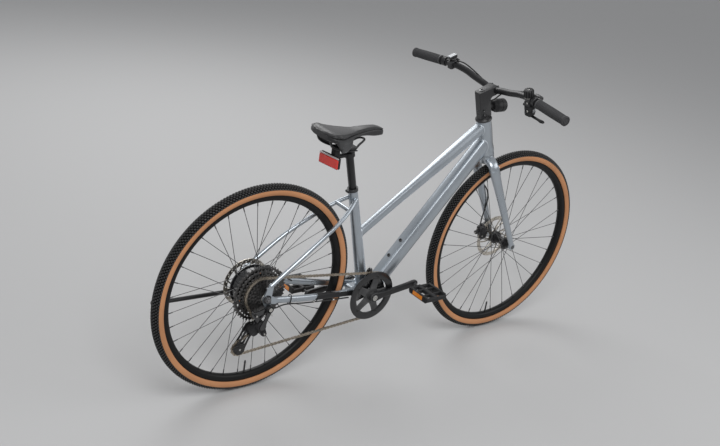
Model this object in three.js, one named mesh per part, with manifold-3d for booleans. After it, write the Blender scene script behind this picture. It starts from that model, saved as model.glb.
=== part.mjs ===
// A step-through pedal-assist bicycle, in millimetres.
// X points forward, Y to the rider's left and Z up. The origin is on the ground, midway between the axles.
import * as THREE from "three";
import { mergeVertices } from "three/addons/utils/BufferGeometryUtils.js";
import Module from "manifold-3d";

// Fits
const GAP = 0.3; // between pieces that touch
const RUNNING_GAP = 0.4; // between a turning piece and what carries it
const OVERRUN = 4; // how far a cut runs past the piece that it cuts
const MERGE_DISTANCE = 1e-4;

// Wheels
const WHEEL_RADIUS = 350;
const REAR_TYRE_CLEARANCE = 85.5; // from the rear tread to the bottom bracket's axis
const FRONT_TYRE_CLEARANCE = 281.5; // from the front tread to the bottom bracket's axis
const BB_RUN = WHEEL_RADIUS + REAR_TYRE_CLEARANCE;
const WHEELBASE = BB_RUN + FRONT_TYRE_CLEARANCE + WHEEL_RADIUS;
const TYRE_HALF_WIDTH = 21;
const TYRE_WALL = 3.4;
const TYRE_HEIGHT = 32.5; // from the rim's edge to the tread
const RIM_DEPTH = 22.5;
const RIM_EDGE_RADIUS = WHEEL_RADIUS - TYRE_HEIGHT;
const RIM_BED_RADIUS = RIM_EDGE_RADIUS - RIM_DEPTH;
const RIM_HALF_WIDTH = 13.4;
const RIM_WALL = 2.2;
const RIM_WELL_DEPTH = 6;
const BEAD_SEAT_DEPTH = 6;
const SPOKE_RADIUS = 1.1;
const SPOKE_HEAD_OFFSET = 2;
const SPOKE_RIM_OFFSET = 1.6;
const SPOKE_END_INSET = 2; // in from the rim's bed
const SPOKE_END_RADIUS = RIM_BED_RADIUS - SPOKE_END_INSET;
const FRONT_LACING = 62;
const REAR_LACING = 24;
const ROTOR_RADIUS = 80;
const ROTOR_BAND = 15;
const ROTOR_THICKNESS = 2;
const FRONT_ROTOR_Y = 39.5;
const REAR_ROTOR_Y = 52;
const ROTOR_ARM_WIDTH = 9;
const ROTOR_CARRIER_RADIUS = 23;

// Front hub
const FRONT_AXLE_RADIUS = 6;
const FRONT_HUB_HALF_WIDTH = 50;
const FRONT_FLANGE_RADIUS = 24;
const FRONT_FLANGE_HALF_SPACING = 26;
const FRONT_HUB_BARREL_RADIUS = 14;
const FRONT_HUB_END_RADIUS = 10;
const FLANGE_THICKNESS = 5;
const SPOKE_HOLE_INSET = 4;

// Hub motor
const MOTOR_RADIUS = 63;
const MOTOR_RIGHT_Y = -20;
const MOTOR_LEFT_Y = 40;
const MOTOR_EDGE = 6;
const MOTOR_FLANGE_RADIUS = 70;
const MOTOR_NECK_RADIUS = 24;
const REAR_AXLE_RADIUS = 6;
const REAR_DROPOUT_Y = 67.5;
const REAR_AXLE_NUT_RADIUS = 10.5;
const REAR_AXLE_NUT_LENGTH = 9;
const REAR_AXLE_TAIL = 5;

// Cassette and chain
const CHAIN_PITCH = 12.7;
const CHAIN_HALF_WIDTH = 2.9;
const CHAIN_GROOVE_HALF_WIDTH = 1.5;
const CHAIN_PLATE_HALF_HEIGHT = 4.2;
const CHAIN_ROLLER_HALF_HEIGHT = 1.4;
const TOOTH_HALF_WIDTH = 1;
const COG_SPACING = 4.34;
const LARGEST_COG_Y = -28.5;
const FREEHUB_RADIUS = 17;
const LOCKRING_RADIUS = 15;
const LOCKRING_Y = -65.5;

// Frame
const BB_DROP = 80;
const BB_SHELL_RADIUS = 22;
const BB_SHELL_HALF_WIDTH = 36.5;
const SEAT_TUBE_LENGTH = 384;
const SEAT_TUBE_RADIUS = 17.5;
const SEAT_TUBE_TOP_RADIUS = 15.4;
const SEAT_TUBE_FOOT_RADIUS = 21;
const SEAT_TUBE_BORE_DEPTH = 260;
const SEATPOST_RADIUS = 12.7;
const SEAT_COLLAR_HEIGHT = 11;
const SEAT_COLLAR_WALL = 5;
const SEAT_COLLAR_EAR_HALF_WIDTH = 7;
const HEAD_TUBE_LENGTH = 132;
const HEAD_TUBE_RADIUS = 25;
const HEAD_TUBE_FOOT_RADIUS = 28;
const HEAD_TUBE_FOOT_HEIGHT = 26;
const HEAD_TUBE_BORE_RADIUS = 20;
const BEARING_RACE_HEIGHT = 4;
const HEADSET_COVER_RADIUS = 28.5;
const HEADSET_COVER_HEIGHT = 11;
const HEADSET_SKIRT_LENGTH = 12;
const HEADSET_SKIRT_GAP = 0.8; // from the turning skirt to the head tube's bore
const STEERER_RADIUS = 14.3;
const TOP_TUBE_SEAT_HEIGHT = 216; // up the seat tube from the bottom bracket
const TOP_TUBE_HEAD_DROP = 22; // down the head tube from its top
const TOP_TUBE_HEAD_HALF_HEIGHT = 18.5;
const TOP_TUBE_SEAT_HALF_HEIGHT = 12;
const TOP_TUBE_WALL = 3;
const TOP_TUBE_HEAD_HALF_WIDTH = 19;
const TOP_TUBE_SEAT_HALF_WIDTH = 12.5;
const DOWN_TUBE_FOOT_ADVANCE = 30; // ahead of the bottom bracket
const DOWN_TUBE_FOOT_RISE = -10;
const DOWN_TUBE_HEAD_RISE = 49; // up the head tube from its foot
const DOWN_TUBE_HALF_HEIGHT = 25;
const DOWN_TUBE_HALF_WIDTH = 24;
const DOWN_TUBE_BORE_RADIUS = 19.5;
const BATTERY_LENGTH = 400;
const STAY_END_Y = 66;
const CHAIN_STAY_HALF_WIDTH = 7.5;
const CHAIN_STAY_END_HALF_HEIGHT = 10.5;
const CHAIN_STAY_FOOT_HALF_HEIGHT = 13;
const SEAT_STAY_RADIUS = 6.8;
const SEAT_STAY_OUTSET = 4; // beyond the chain stay's end
const STAY_BRIDGE_RADIUS = 7;
const DROPOUT_THICKNESS = 6;

// Cockpit and fork, in the steering frame whose origin is the crown on the steering axis
const HEAD_ANGLE = 70.5;
const SEAT_ANGLE = 73.8;
const CROWN_CLEARANCE = 45; // from the front tread to the crown
const FORK_LENGTH = WHEEL_RADIUS + CROWN_CLEARANCE;
const FORK_RAKE = 44;
const CROWN_HEIGHT = 30;
const BLADE_TOP_Y = 46;
const BLADE_END_Y = 57;
const BLADE_TOP_HALF_DEPTH = 20.5;
const BLADE_TOP_HALF_WIDTH = 12;
const BLADE_END_HALF_DEPTH = 10;
const BLADE_END_HALF_WIDTH = 6;
const FORK_END_RADIUS = 12;
const STEM_HEIGHT = 99;
const STEM_HALF_WIDTH = 17.5;
const STEM_NOSE_HALF_WIDTH = 20;
const STEM_HALF_DEPTH = 21;
const STEM_REACH = 47;
const STEM_ARM_HEIGHT = 30;
const STEM_CORNER = 5;
const STEM_FACE_WALL = 3;
const BAR_CLAMP_DROP = 13.5; // below the stem's top face
const BAR_RADIUS = 11.1;
const BAR_HALF_WIDTH = 366;
const BAR_RISE = 36.3;
const BAR_SWEEP = 18;
const GRIP_LENGTH = 132;
const GRIP_RADIUS = 16.5;
const GRIP_END_WALL = 3;
const CONTROL_COLLAR_RADIUS = 16;
const CONTROL_COLLAR_LENGTH = 14;
const LEVER_DROP_ANGLE = 40;
const LEVER_REACH = 46;
const LEVER_LENGTH = 92;
const LEVER_HALF_THICKNESS = 4;
const LEVER_PIN_RADIUS = 2.5;
const HEADLIGHT_RADIUS = 23;
const HEADLIGHT_LENGTH = 52;
const HEADLIGHT_ADVANCE = 65;
const HEADLIGHT_RISE = 162;
const HEADLIGHT_BEZEL = 4;
const DISPLAY_LENGTH = 38;
const DISPLAY_WIDTH = 30;
const DISPLAY_THICKNESS = 13;
const DISPLAY_INBOARD = 32; // from the left brake clamp
const DISPLAY_STAND = 5; // above its collar
const HOSE_RADIUS = 2.5;
const GROMMET_HALF_SIZE = 9;
const RESERVOIR_REACH = 27;
const RESERVOIR_LENGTH = 34;
const RESERVOIR_RADIUS = 8;
const SHIFTER_INBOARD = 32; // from the right brake clamp
const SHIFTER_BEHIND = 8;
const SHIFTER_OUTSET = 5;
const SHIFTER_DROP = 34;
const SHIFTER_RADIUS = 17;
const SHIFTER_HALF_HEIGHT = 18;
const SHIFTER_WINDOW_RISE = 35;
const SHIFT_LEVER_LENGTH = 62;
const SHIFT_LEVER_WIDTH = 12;
const SHIFT_LEVER_THICKNESS = 3;
const RELEASE_LEVER_LENGTH = 9;
const BUTTON_RADIUS = 4;
const BUTTON_DEPTH = 4;
const BUTTON_TRAVEL = 1.5;
const CALIPER_HALF_LENGTH = 28;
const CALIPER_HALF_WIDTH = 11;
const CALIPER_HALF_DEPTH = 18;
const FRONT_CALIPER_BEHIND = 50;
const FRONT_CALIPER_RISE = 48;
const FORK_SET_BACK = 6.5;

// Cranks and pedals
const CHAINRING_TEETH = 40;
const CHAIN_COG_TEETH = 28;
const PULLEY_TEETH = 11;
const CHAINLINE_Y = -47;
const CRANK_LENGTH = 170;
const CRANK_ANGLE = 7;
const CRANK_ARM_Y = 66;
const CRANK_ARM_HALF_THICKNESS = 7;
const CRANK_BOSS_RADIUS = 18;
const CRANK_EYE_RADIUS = 14;
const SPINDLE_RADIUS = 12;
const GUARD_RADIUS = 88;
const GUARD_BAND = 12;
const GUARD_HALF_THICKNESS = 1.5;
const SPIDER_HALF_THICKNESS = 2;
const SPIDER_ARM_WIDTH = 22;
const SPIDER_ARMS = 5;
const PEDAL_INNER_Y = 92;
const PEDAL_OUTER_Y = 188;
const PEDAL_HALF_LENGTH = 46;
const PEDAL_HALF_HEIGHT = 12;
const PEDAL_RAIL = 9;
const PEDAL_AXLE_RADIUS = 4.5;
const PEDAL_BARREL_RADIUS = 10;

// Derailleur
const GUIDE_PULLEY_BEHIND = 29; // behind the rear axle
const GUIDE_PULLEY_BELOW = 107;
const CAGE_RUN = 33;
const CAGE_DROP = 67;
const CAGE_PLATE_THICKNESS = 2;
const CAGE_PLATE_OFFSET = 5.4;
const CAGE_END_RADIUS = 20;
const PULLEY_BOLT_RADIUS = 2.5;
const PULLEY_HUB_RADIUS = 6;
const KNUCKLE_RADIUS = 15;

// Saddle
const SADDLE_LENGTH = 247;
const SADDLE_HALF_WIDTH = 70;
const SADDLE_THICKNESS = 42;
const SADDLE_NOSE_ADVANCE = 126; // ahead of the post's top
const SADDLE_NOSE_RISE = 46;
const SADDLE_TAIL_LIFT = 25;
const SADDLE_BASE_THICKNESS = 6;
const SADDLE_BASE_INSET = 5;
const SADDLE_WING_DROP = 20; // below the base, at its lowest
const SADDLE_WING_HALF_THICKNESS = 4;
const POST_LENGTH = 300;
const POST_INSERTION = 141;
const RAIL_RADIUS = 3.5;
const RAIL_HALF_SPACING = 22;
const TAIL_LIGHT_HALF_WIDTH = 43;
const TAIL_LIGHT_HALF_HEIGHT = 18.5;
const TAIL_LIGHT_DEPTH = 10;
const TAIL_LIGHT_BEHIND = 88;
const TAIL_LIGHT_DROP = 9;
const TAIL_LIGHT_TURN = 6.4; // about the post, in degrees
const TAIL_LENS_THICKNESS = 5;
const LAMP_COLLAR_WALL = 4;
const LAMP_COLLAR_HEIGHT = 16;
const LAMP_LUG_HEIGHT = 36; // of the bracket's lug between the saddle rails
const LAMP_LUG_LENGTH = 26;
const LAMP_LUG_HALF_WIDTH = 9;

// Kickstand
const KICKSTAND_LENGTH = 305;
const KICKSTAND_RISE_SHARE = 0.047;
const KICKSTAND_RADIUS = 7;
const KICKSTAND_SPLAY = 12;
const KICKSTAND_Y = 85;
const KICKSTAND_BELOW = 46;
const KICKSTAND_PIN_RADIUS = 5;
const KICKSTAND_EYE_RADIUS = 11;
const KICKSTAND_EYE_LENGTH = 17;

// Counts
const WHEEL_FACETS = 32;
const MOTOR_FACETS = 20;
const ROUND_FACETS = 16;
const SMALL_FACETS = 12;
const HOSE_FACETS = 6;
const TUBE_SIDES = 12;
const FRONT_SPOKES = 32;
const REAR_SPOKES = 36;
const ROTOR_ARMS = 6;
const COG_TEETH = [46, 40, 34, 28, 24, 20, 16, 13, 11];

const CHAIN_ARC_STEP = Math.PI / 10;
const DEGREE = Math.PI / 180;
const TURN = 2 * Math.PI;

const wasm = await Module();
wasm.setup();

const v3 = (x, y, z) => new THREE.Vector3(x, y, z);
const v2 = (x, y) => new THREE.Vector2(x, y);
const ACROSS = v3(0, 1, 0);
const mix = THREE.MathUtils.lerp;

// Solids

function solidOf(geometry) {
  const bare = geometry.index ? geometry.toNonIndexed() : geometry.clone();
  for (const name of Object.keys(bare.attributes)) {
    if (name !== "position") bare.deleteAttribute(name);
  }
  const merged = mergeVertices(bare, MERGE_DISTANCE);
  const corners = merged.index.array;
  const kept = [];
  for (let i = 0; i < corners.length; i += 3) {
    const [a, b, c] = corners.subarray(i, i + 3);
    if (a !== b && b !== c && c !== a) kept.push(a, b, c);
  }
  const build = (triVerts) =>
    new wasm.Manifold(
      new wasm.Mesh({
        numProp: 3,
        vertProperties: merged.attributes.position.array,
        triVerts: new Uint32Array(triVerts),
      }),
    );
  const solid = build(kept);
  return solid.volume() > 0 ? solid : build(kept.reverse());
}

function geometryOf(solid) {
  const mesh = solid.getMesh();
  const positions = new Float32Array(mesh.numVert * 3);
  for (let i = 0; i < mesh.numVert; i++) {
    positions.set(mesh.vertProperties.subarray(i * mesh.numProp, i * mesh.numProp + 3), i * 3);
  }
  const geometry = new THREE.BufferGeometry();
  geometry.setAttribute("position", new THREE.BufferAttribute(positions, 3));
  geometry.setIndex(new THREE.BufferAttribute(mesh.triVerts, 1));
  geometry.computeVertexNormals();
  return geometry;
}

const join = (...solids) => solids.reduce((a, b) => a.add(b));
const cut = (solid, ...tools) => tools.reduce((a, b) => a.subtract(b), solid);

function moved(solid, matrix) {
  return solidOf(geometryOf(solid).applyMatrix4(matrix));
}

function mirrored(solid) {
  return moved(solid, new THREE.Matrix4().makeScale(1, -1, 1));
}

// A body of revolution about the Y axis, from points of radius and y
function turned(profile, facets = ROUND_FACETS) {
  return solidOf(new THREE.LatheGeometry([...profile, profile[0]], facets));
}

// A rod between two points, which may taper
function rod(from, to, radius, facets = SMALL_FACETS, endRadius = radius) {
  const length = from.distanceTo(to);
  const geometry = new THREE.CylinderGeometry(endRadius, radius, length, facets);
  const along = to.clone().sub(from).normalize();
  geometry.applyQuaternion(new THREE.Quaternion().setFromUnitVectors(ACROSS, along));
  const middle = from.clone().add(to).multiplyScalar(1 / 2);
  return solidOf(geometry.translate(middle.x, middle.y, middle.z));
}

const rodAcross = (at, y0, y1, radius, facets = SMALL_FACETS) =>
  rod(v3(at.x, y0, at.z), v3(at.x, y1, at.z), radius, facets);

function block(low, high) {
  const size = high.clone().sub(low);
  const geometry = new THREE.BoxGeometry(size.x, size.y, size.z);
  return solidOf(geometry.translate(...low.clone().add(high).multiplyScalar(1 / 2)));
}

// A plate that lies in the side view, from y0 to y1, with an outline and holes of x and z
function plate(outline, y0, y1, holes = [], facets = SMALL_FACETS) {
  const shape = outline instanceof THREE.Shape ? outline : new THREE.Shape(outline);
  shape.holes.push(...holes);
  const depth = Math.abs(y1 - y0);
  const options = { depth, bevelEnabled: false, curveSegments: facets / 2 };
  const geometry = new THREE.ExtrudeGeometry(shape, options);
  geometry.rotateX(TURN / 4);
  return solidOf(geometry.translate(0, Math.max(y0, y1), 0));
}

// A slab that lies flat, from z0 up to z1, with an outline of x and y
function slab(outline, z0, z1) {
  const options = { depth: z1 - z0, bevelEnabled: false };
  const geometry = new THREE.ExtrudeGeometry(new THREE.Shape(outline), options);
  return solidOf(geometry.translate(0, 0, z0));
}

function circlePath(x, z, radius) {
  return new THREE.Path().absarc(x, z, radius, 0, TURN, false);
}

function ringShape(outer, inner) {
  const shape = new THREE.Shape().absarc(0, 0, outer, 0, TURN, false);
  shape.holes.push(circlePath(0, 0, inner));
  return shape;
}

// The outline round two circles in the side view
function linkOutline(a, radiusA, b, radiusB, steps = 8) {
  const heading = Math.atan2(b.z - a.z, b.x - a.x);
  const lean = Math.acos((radiusA - radiusB) / Math.hypot(b.z - a.z, b.x - a.x));
  const points = [];
  for (let i = 0; i <= steps; i++) {
    const angle = heading + lean + ((TURN - 2 * lean) * i) / steps;
    points.push(v2(a.x + radiusA * Math.cos(angle), a.z + radiusA * Math.sin(angle)));
  }
  for (let i = 0; i <= steps; i++) {
    const angle = heading - lean + (2 * lean * i) / steps;
    points.push(v2(b.x + radiusB * Math.cos(angle), b.z + radiusB * Math.sin(angle)));
  }
  return points;
}

// A closed skin through rings of points, with an end on each side or joined into a loop
function skin(rings, looped = false) {
  const count = rings[0].length;
  const points = rings.flat();
  const index = [];
  const bands = looped ? rings.length : rings.length - 1;
  for (let i = 0; i < bands; i++) {
    for (let j = 0; j < count; j++) {
      const a = i * count + j;
      const b = i * count + ((j + 1) % count);
      const c = ((i + 1) % rings.length) * count + j;
      const d = ((i + 1) % rings.length) * count + ((j + 1) % count);
      index.push(a, b, d, a, d, c);
    }
  }
  if (!looped) {
    for (const [ring, first] of [[rings[0], 0], [rings.at(-1), (rings.length - 1) * count]]) {
      const centre = ring.reduce((sum, p) => sum.add(p), v3(0, 0, 0)).multiplyScalar(1 / count);
      points.push(centre);
      const hub = points.length - 1;
      for (let j = 0; j < count; j++) {
        const edge = [first + j, first + ((j + 1) % count)];
        index.push(hub, ...(first === 0 ? edge.reverse() : edge));
      }
    }
  }
  const geometry = new THREE.BufferGeometry().setFromPoints(points);
  geometry.setIndex(index);
  return solidOf(geometry);
}

// A rounded ring of points: power 2 is an ellipse, and a higher power is squarer
function oval(centre, side, up, halfSide, halfUp, power = 2, count = TUBE_SIDES) {
  const ring = [];
  for (let i = 0; i < count; i++) {
    const angle = (TURN * (i + 1 / 2)) / count;
    const c = Math.cos(angle);
    const s = Math.sin(angle);
    const a = Math.sign(c) * Math.abs(c) ** (2 / power) * halfSide;
    const b = Math.sign(s) * Math.abs(s) ** (2 / power) * halfUp;
    ring.push(centre.clone().addScaledVector(side, a).addScaledVector(up, b));
  }
  return ring;
}

const along = (values, share) => {
  if (!Array.isArray(values)) return values;
  const place = share * (values.length - 1);
  const i = Math.min(Math.floor(place), values.length - 2);
  return mix(values[i], values[i + 1], place - i);
};

// A tube along a smooth line through points, whose half width and half height follow lists
function tube(points, halfWidths, halfHeights, { power = 2, steps = 10, sides = TUBE_SIDES } = {}) {
  const curve = new THREE.CatmullRomCurve3(points, false, "centripetal");
  const rings = [];
  for (let i = 0; i <= steps; i++) {
    const share = i / steps;
    const forward = curve.getTangent(share);
    const side = ACROSS.clone().addScaledVector(forward, -ACROSS.dot(forward)).normalize();
    const up = forward.clone().cross(side);
    const half = along(halfWidths, share);
    rings.push(oval(curve.getPoint(share), side, up, half, along(halfHeights, share), power, sides));
  }
  return skin(rings);
}

// A round hose along a smooth line
function hose(points, radius = HOSE_RADIUS, steps = 30) {
  const shape = new THREE.Shape().absarc(0, 0, radius, 0, TURN, false);
  const extrudePath = new THREE.CatmullRomCurve3(points, false, "centripetal");
  return solidOf(new THREE.ExtrudeGeometry(shape, { steps, extrudePath, curveSegments: HOSE_FACETS / 2 }));
}

// Materials

const finish = (color, roughness, metalness = 0) =>
  new THREE.MeshStandardMaterial({ color, roughness, metalness });
const PAINT = finish(0xaab4bd, 0.35, 0.5);
const BLACK_ALLOY = finish(0x1c1c1e, 0.45, 0.6);
const BLACK_PLASTIC = finish(0x1a1a1b, 0.6);
const GLOSS_BLACK = finish(0x101012, 0.2, 0.3);
const STEEL = finish(0xb9bbbd, 0.35, 1);
const CHAIN_STEEL = finish(0x8c8378, 0.45, 0.9);
const TREAD_RUBBER = finish(0x232322, 0.85);
const GRIP_RUBBER = finish(0x2b2b2b, 0.9);
const SADDLE_SKIN = finish(0x1d1d1e, 0.55);
const RED_LENS = finish(0xb32620, 0.25);
const CLEAR_LENS = finish(0xdfe4e6, 0.1);
const HOSE_BLACK = finish(0x141414, 0.5);

const bike = new THREE.Group();

function add(name, solid, material, parent = bike) {
  const mesh = new THREE.Mesh(geometryOf(solid), material);
  mesh.name = name;
  parent.add(mesh);
}

function groupAt(position, parent = bike) {
  const group = new THREE.Group();
  group.position.copy(position);
  parent.add(group);
  return group;
}

// Main points of the frame

const rearAxle = v3(-WHEELBASE / 2, 0, WHEEL_RADIUS);
const frontAxle = v3(WHEELBASE / 2, 0, WHEEL_RADIUS);
const bottomBracket = v3(rearAxle.x + BB_RUN, 0, WHEEL_RADIUS - BB_DROP);
const seatAxis = v3(-Math.cos(SEAT_ANGLE * DEGREE), 0, Math.sin(SEAT_ANGLE * DEGREE));
const steerAxis = v3(-Math.cos(HEAD_ANGLE * DEGREE), 0, Math.sin(HEAD_ANGLE * DEGREE));
const steerAhead = v3(steerAxis.z, 0, -steerAxis.x);
const crown = frontAxle.clone()
  .addScaledVector(steerAhead, -FORK_RAKE)
  .addScaledVector(steerAxis, FORK_LENGTH);
const headFootHeight = BEARING_RACE_HEIGHT + 2 * GAP;
const headTopHeight = headFootHeight + HEAD_TUBE_LENGTH;
const onSteerAxis = (height, ahead = 0) =>
  crown.clone().addScaledVector(steerAxis, height).addScaledVector(steerAhead, ahead);
const onSeatTube = (height, ahead = 0) =>
  bottomBracket.clone()
    .addScaledVector(seatAxis, height)
    .addScaledVector(v3(seatAxis.z, 0, -seatAxis.x), ahead);

// Frame blanks: each takes an extra thickness, so that a neighbour can be cut clear of it

const headTubeBlank = (grow) =>
  join(
    rod(
      onSteerAxis(headFootHeight - grow),
      onSteerAxis(headTopHeight + grow),
      HEAD_TUBE_RADIUS + grow,
      ROUND_FACETS,
    ),
    rod(
      onSteerAxis(headFootHeight - grow),
      onSteerAxis(headFootHeight + HEAD_TUBE_FOOT_HEIGHT),
      HEAD_TUBE_FOOT_RADIUS + grow,
      ROUND_FACETS,
      HEAD_TUBE_RADIUS + grow,
    ),
  );

function seatTubeBlank(grow) {
  const foot = SEAT_TUBE_FOOT_RADIUS + grow;
  const body = SEAT_TUBE_RADIUS + grow;
  const points = [0, 1, 2, 3, 4].map((i) => onSeatTube(((SEAT_TUBE_LENGTH + grow) * i) / 4));
  const shell = rodAcross(
    bottomBracket,
    -BB_SHELL_HALF_WIDTH - grow,
    BB_SHELL_HALF_WIDTH + grow,
    BB_SHELL_RADIUS + grow,
    ROUND_FACETS,
  );
  const neck = SEAT_TUBE_TOP_RADIUS + grow;
  const widths = [foot, mix(foot, body, 2 / 3), body, mix(body, neck, 1 / 2), neck];
  return join(shell, tube(points, widths, widths, { steps: 4 }));
}

function headTube() {
  const reach = HEAD_TUBE_LENGTH + OVERRUN;
  const bore = rod(
    onSteerAxis(-OVERRUN),
    onSteerAxis(reach + OVERRUN * 2),
    HEAD_TUBE_BORE_RADIUS,
    ROUND_FACETS,
  );
  return cut(headTubeBlank(0), bore);
}

function seatTube() {
  const top = onSeatTube(SEAT_TUBE_LENGTH + OVERRUN);
  const bore = rod(
    onSeatTube(SEAT_TUBE_LENGTH - SEAT_TUBE_BORE_DEPTH),
    top,
    SEATPOST_RADIUS + GAP,
    ROUND_FACETS,
  );
  const end = BB_SHELL_HALF_WIDTH + OVERRUN;
  const shellBore = rodAcross(bottomBracket, -end, end, SPINDLE_RADIUS + RUNNING_GAP, ROUND_FACETS);
  return cut(seatTubeBlank(0), bore, shellBore);
}

function topTube(grow = 0) {
  const from = onSeatTube(TOP_TUBE_SEAT_HEIGHT);
  const to = onSteerAxis(headTopHeight - TOP_TUBE_HEAD_DROP);
  const points = [from, from.clone().lerp(to, 1 / 2), to];
  const [slim, wide] = [TOP_TUBE_SEAT_HALF_WIDTH, TOP_TUBE_HEAD_HALF_WIDTH];
  const widths = [slim, slim, wide, wide];
  const heights = [TOP_TUBE_SEAT_HALF_HEIGHT];
  heights.push(mix(TOP_TUBE_SEAT_HALF_HEIGHT, TOP_TUBE_HEAD_HALF_HEIGHT, 1 / 2));
  heights.push(TOP_TUBE_HEAD_HALF_HEIGHT);
  const grown = (list) => list.map((value) => value + grow);
  return tube(points, grown(widths), grown(heights), { power: 2.6, steps: 8 });
}

const downTubeFoot = bottomBracket.clone().add(v3(DOWN_TUBE_FOOT_ADVANCE, 0, DOWN_TUBE_FOOT_RISE));
const downTubeHead = onSteerAxis(headFootHeight + DOWN_TUBE_HEAD_RISE);

function downTube() {
  const half = DOWN_TUBE_HALF_HEIGHT;
  const heights = [half, half, half];
  const blank = tube([downTubeFoot, downTubeHead], DOWN_TUBE_HALF_WIDTH, heights, { power: 2.8, steps: 4 });
  const direction = downTubeHead.clone().sub(downTubeFoot).normalize();
  const low = downTubeFoot.clone().addScaledVector(direction, -BB_SHELL_RADIUS - OVERRUN);
  const high = downTubeHead.clone().addScaledVector(direction, OVERRUN);
  const bore = rod(low, high, DOWN_TUBE_BORE_RADIUS, ROUND_FACETS);
  const crownRoom = rod(
    onSteerAxis(-CROWN_HEIGHT * 2),
    onSteerAxis(headFootHeight),
    HEAD_TUBE_FOOT_RADIUS * 2,
  );
  return cut(blank, bore, seatTubeBlank(GAP), headTubeBlank(GAP), topTube(GAP), crownRoom);
}

function batteryPack() {
  const middle = downTubeFoot.clone().lerp(downTubeHead, 1 / 2);
  const half = downTubeHead.clone().sub(downTubeFoot).normalize().multiplyScalar(BATTERY_LENGTH / 2);
  return rod(middle.clone().sub(half), middle.clone().add(half), DOWN_TUBE_BORE_RADIUS - GAP, ROUND_FACETS);
}

// Rear stays: the points are set from the rear axle and the bottom bracket

const stayStart = rearAxle.clone()
  .add(v3(CHAIN_STAY_END_HALF_HEIGHT * 3, -STAY_END_Y, -CHAIN_STAY_END_HALF_HEIGHT));
const CHAIN_STAY_SHARES = [0, 0.3, 0.56, 0.78, 1];
const CHAIN_STAY_Y_SHARES = [1, 0.93, 0.72, 0.52, 0.4];

function chainStayTube(grow = 0) {
  const end = bottomBracket.clone().add(v3(0, 0, BB_SHELL_RADIUS / 4));
  const points = CHAIN_STAY_SHARES.map((share, i) => {
    const point = stayStart.clone().lerp(end, share);
    point.y = -STAY_END_Y * CHAIN_STAY_Y_SHARES[i];
    return point;
  });
  const heights = [CHAIN_STAY_END_HALF_HEIGHT, CHAIN_STAY_END_HALF_HEIGHT, CHAIN_STAY_FOOT_HALF_HEIGHT];
  const grown = heights.map((height) => height + grow);
  return tube(points, CHAIN_STAY_HALF_WIDTH + grow, grown, { power: 2.6, steps: 12 });
}

// The plate that holds the axle, with an eyelet boss behind it
function dropoutBlank(grow) {
  const out = CHAIN_STAY_END_HALF_HEIGHT + grow;
  const start = v3(stayStart.x, 0, stayStart.z);
  const peak = rearAxle.clone().add(v3(CHAIN_STAY_END_HALF_HEIGHT, 0, CHAIN_STAY_END_HALF_HEIGHT * 4));
  const y0 = -REAR_DROPOUT_Y + grow;
  const y1 = -REAR_DROPOUT_Y - DROPOUT_THICKNESS - grow;
  const foot = plate(linkOutline(rearAxle, out * 1.4, start, out), y0, y1);
  const mast = plate(linkOutline(rearAxle, out * 1.4, peak, out * 0.9), y0, y1);
  return join(foot, mast);
}

const hangerBolt = rearAxle.clone().add(v3(KNUCKLE_RADIUS / 2, 0, -KNUCKLE_RADIUS * 2));

function rightChainStay() {
  const hole = rodAcross(rearAxle, 0, -REAR_DROPOUT_Y * 2, REAR_AXLE_RADIUS + GAP);
  const y1 = -REAR_DROPOUT_Y - DROPOUT_THICKNESS;
  const hanger = plate(
    linkOutline(rearAxle, KNUCKLE_RADIUS, hangerBolt, KNUCKLE_RADIUS * 0.6),
    -REAR_DROPOUT_Y,
    y1,
  );
  return cut(join(chainStayTube(), dropoutBlank(0), hanger), hole, seatTubeBlank(GAP), downTubeClear());
}

const kickstandPivot = rearAxle.clone().add(v3(0, 0, -KICKSTAND_BELOW));
const kickstandAxis = v3(0, Math.cos(KICKSTAND_SPLAY * DEGREE), Math.sin(KICKSTAND_SPLAY * DEGREE));

function leftChainStay() {
  const hole = rodAcross(rearAxle, 0, REAR_DROPOUT_Y * 2, REAR_AXLE_RADIUS + GAP);
  const y0 = REAR_DROPOUT_Y;
  const arm = plate(
    linkOutline(rearAxle, KNUCKLE_RADIUS, kickstandPivot, KICKSTAND_EYE_RADIUS),
    y0,
    y0 + DROPOUT_THICKNESS,
  );
  const eye = kickstandPivot.clone().setY(KICKSTAND_Y);
  const pinEnd = eye.clone().addScaledVector(kickstandAxis, KICKSTAND_EYE_LENGTH / 2 + GAP);
  const pinStart = eye.clone().addScaledVector(kickstandAxis, -KICKSTAND_EYE_LENGTH);
  const washer = eye.clone().addScaledVector(kickstandAxis, -KICKSTAND_EYE_LENGTH / 2 - GAP);
  const pin = rod(pinStart, pinEnd, KICKSTAND_PIN_RADIUS);
  const seat = rod(pinStart, washer, KICKSTAND_EYE_RADIUS);
  const stay = join(mirrored(chainStayTube()), mirrored(dropoutBlank(0)), arm, seat, pin);
  return cut(stay, hole, seatTubeBlank(GAP), downTubeClear());
}

function downTubeClear() {
  const grown = [DOWN_TUBE_HALF_HEIGHT + GAP, DOWN_TUBE_HALF_HEIGHT + GAP];
  return tube([downTubeFoot, downTubeHead], DOWN_TUBE_HALF_WIDTH + GAP, grown, { power: 2.8, steps: 1 });
}

const SEAT_STAY_X_SHARES = [0, 0.4, 0.78, 0.92, 1];
const SEAT_STAY_Z_SHARES = [0, 0.43, 0.78, 0.92, 1];
const SEAT_STAY_Y_SHARES = [1, 0.95, 0.68, 0.42, 0.2];
const seatStayFoot = rearAxle.clone().add(v3(CHAIN_STAY_END_HALF_HEIGHT, 0, CHAIN_STAY_END_HALF_HEIGHT * 4));
const seatStayHead = onSeatTube(SEAT_TUBE_LENGTH - SEAT_TUBE_RADIUS * 1.5);

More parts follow.
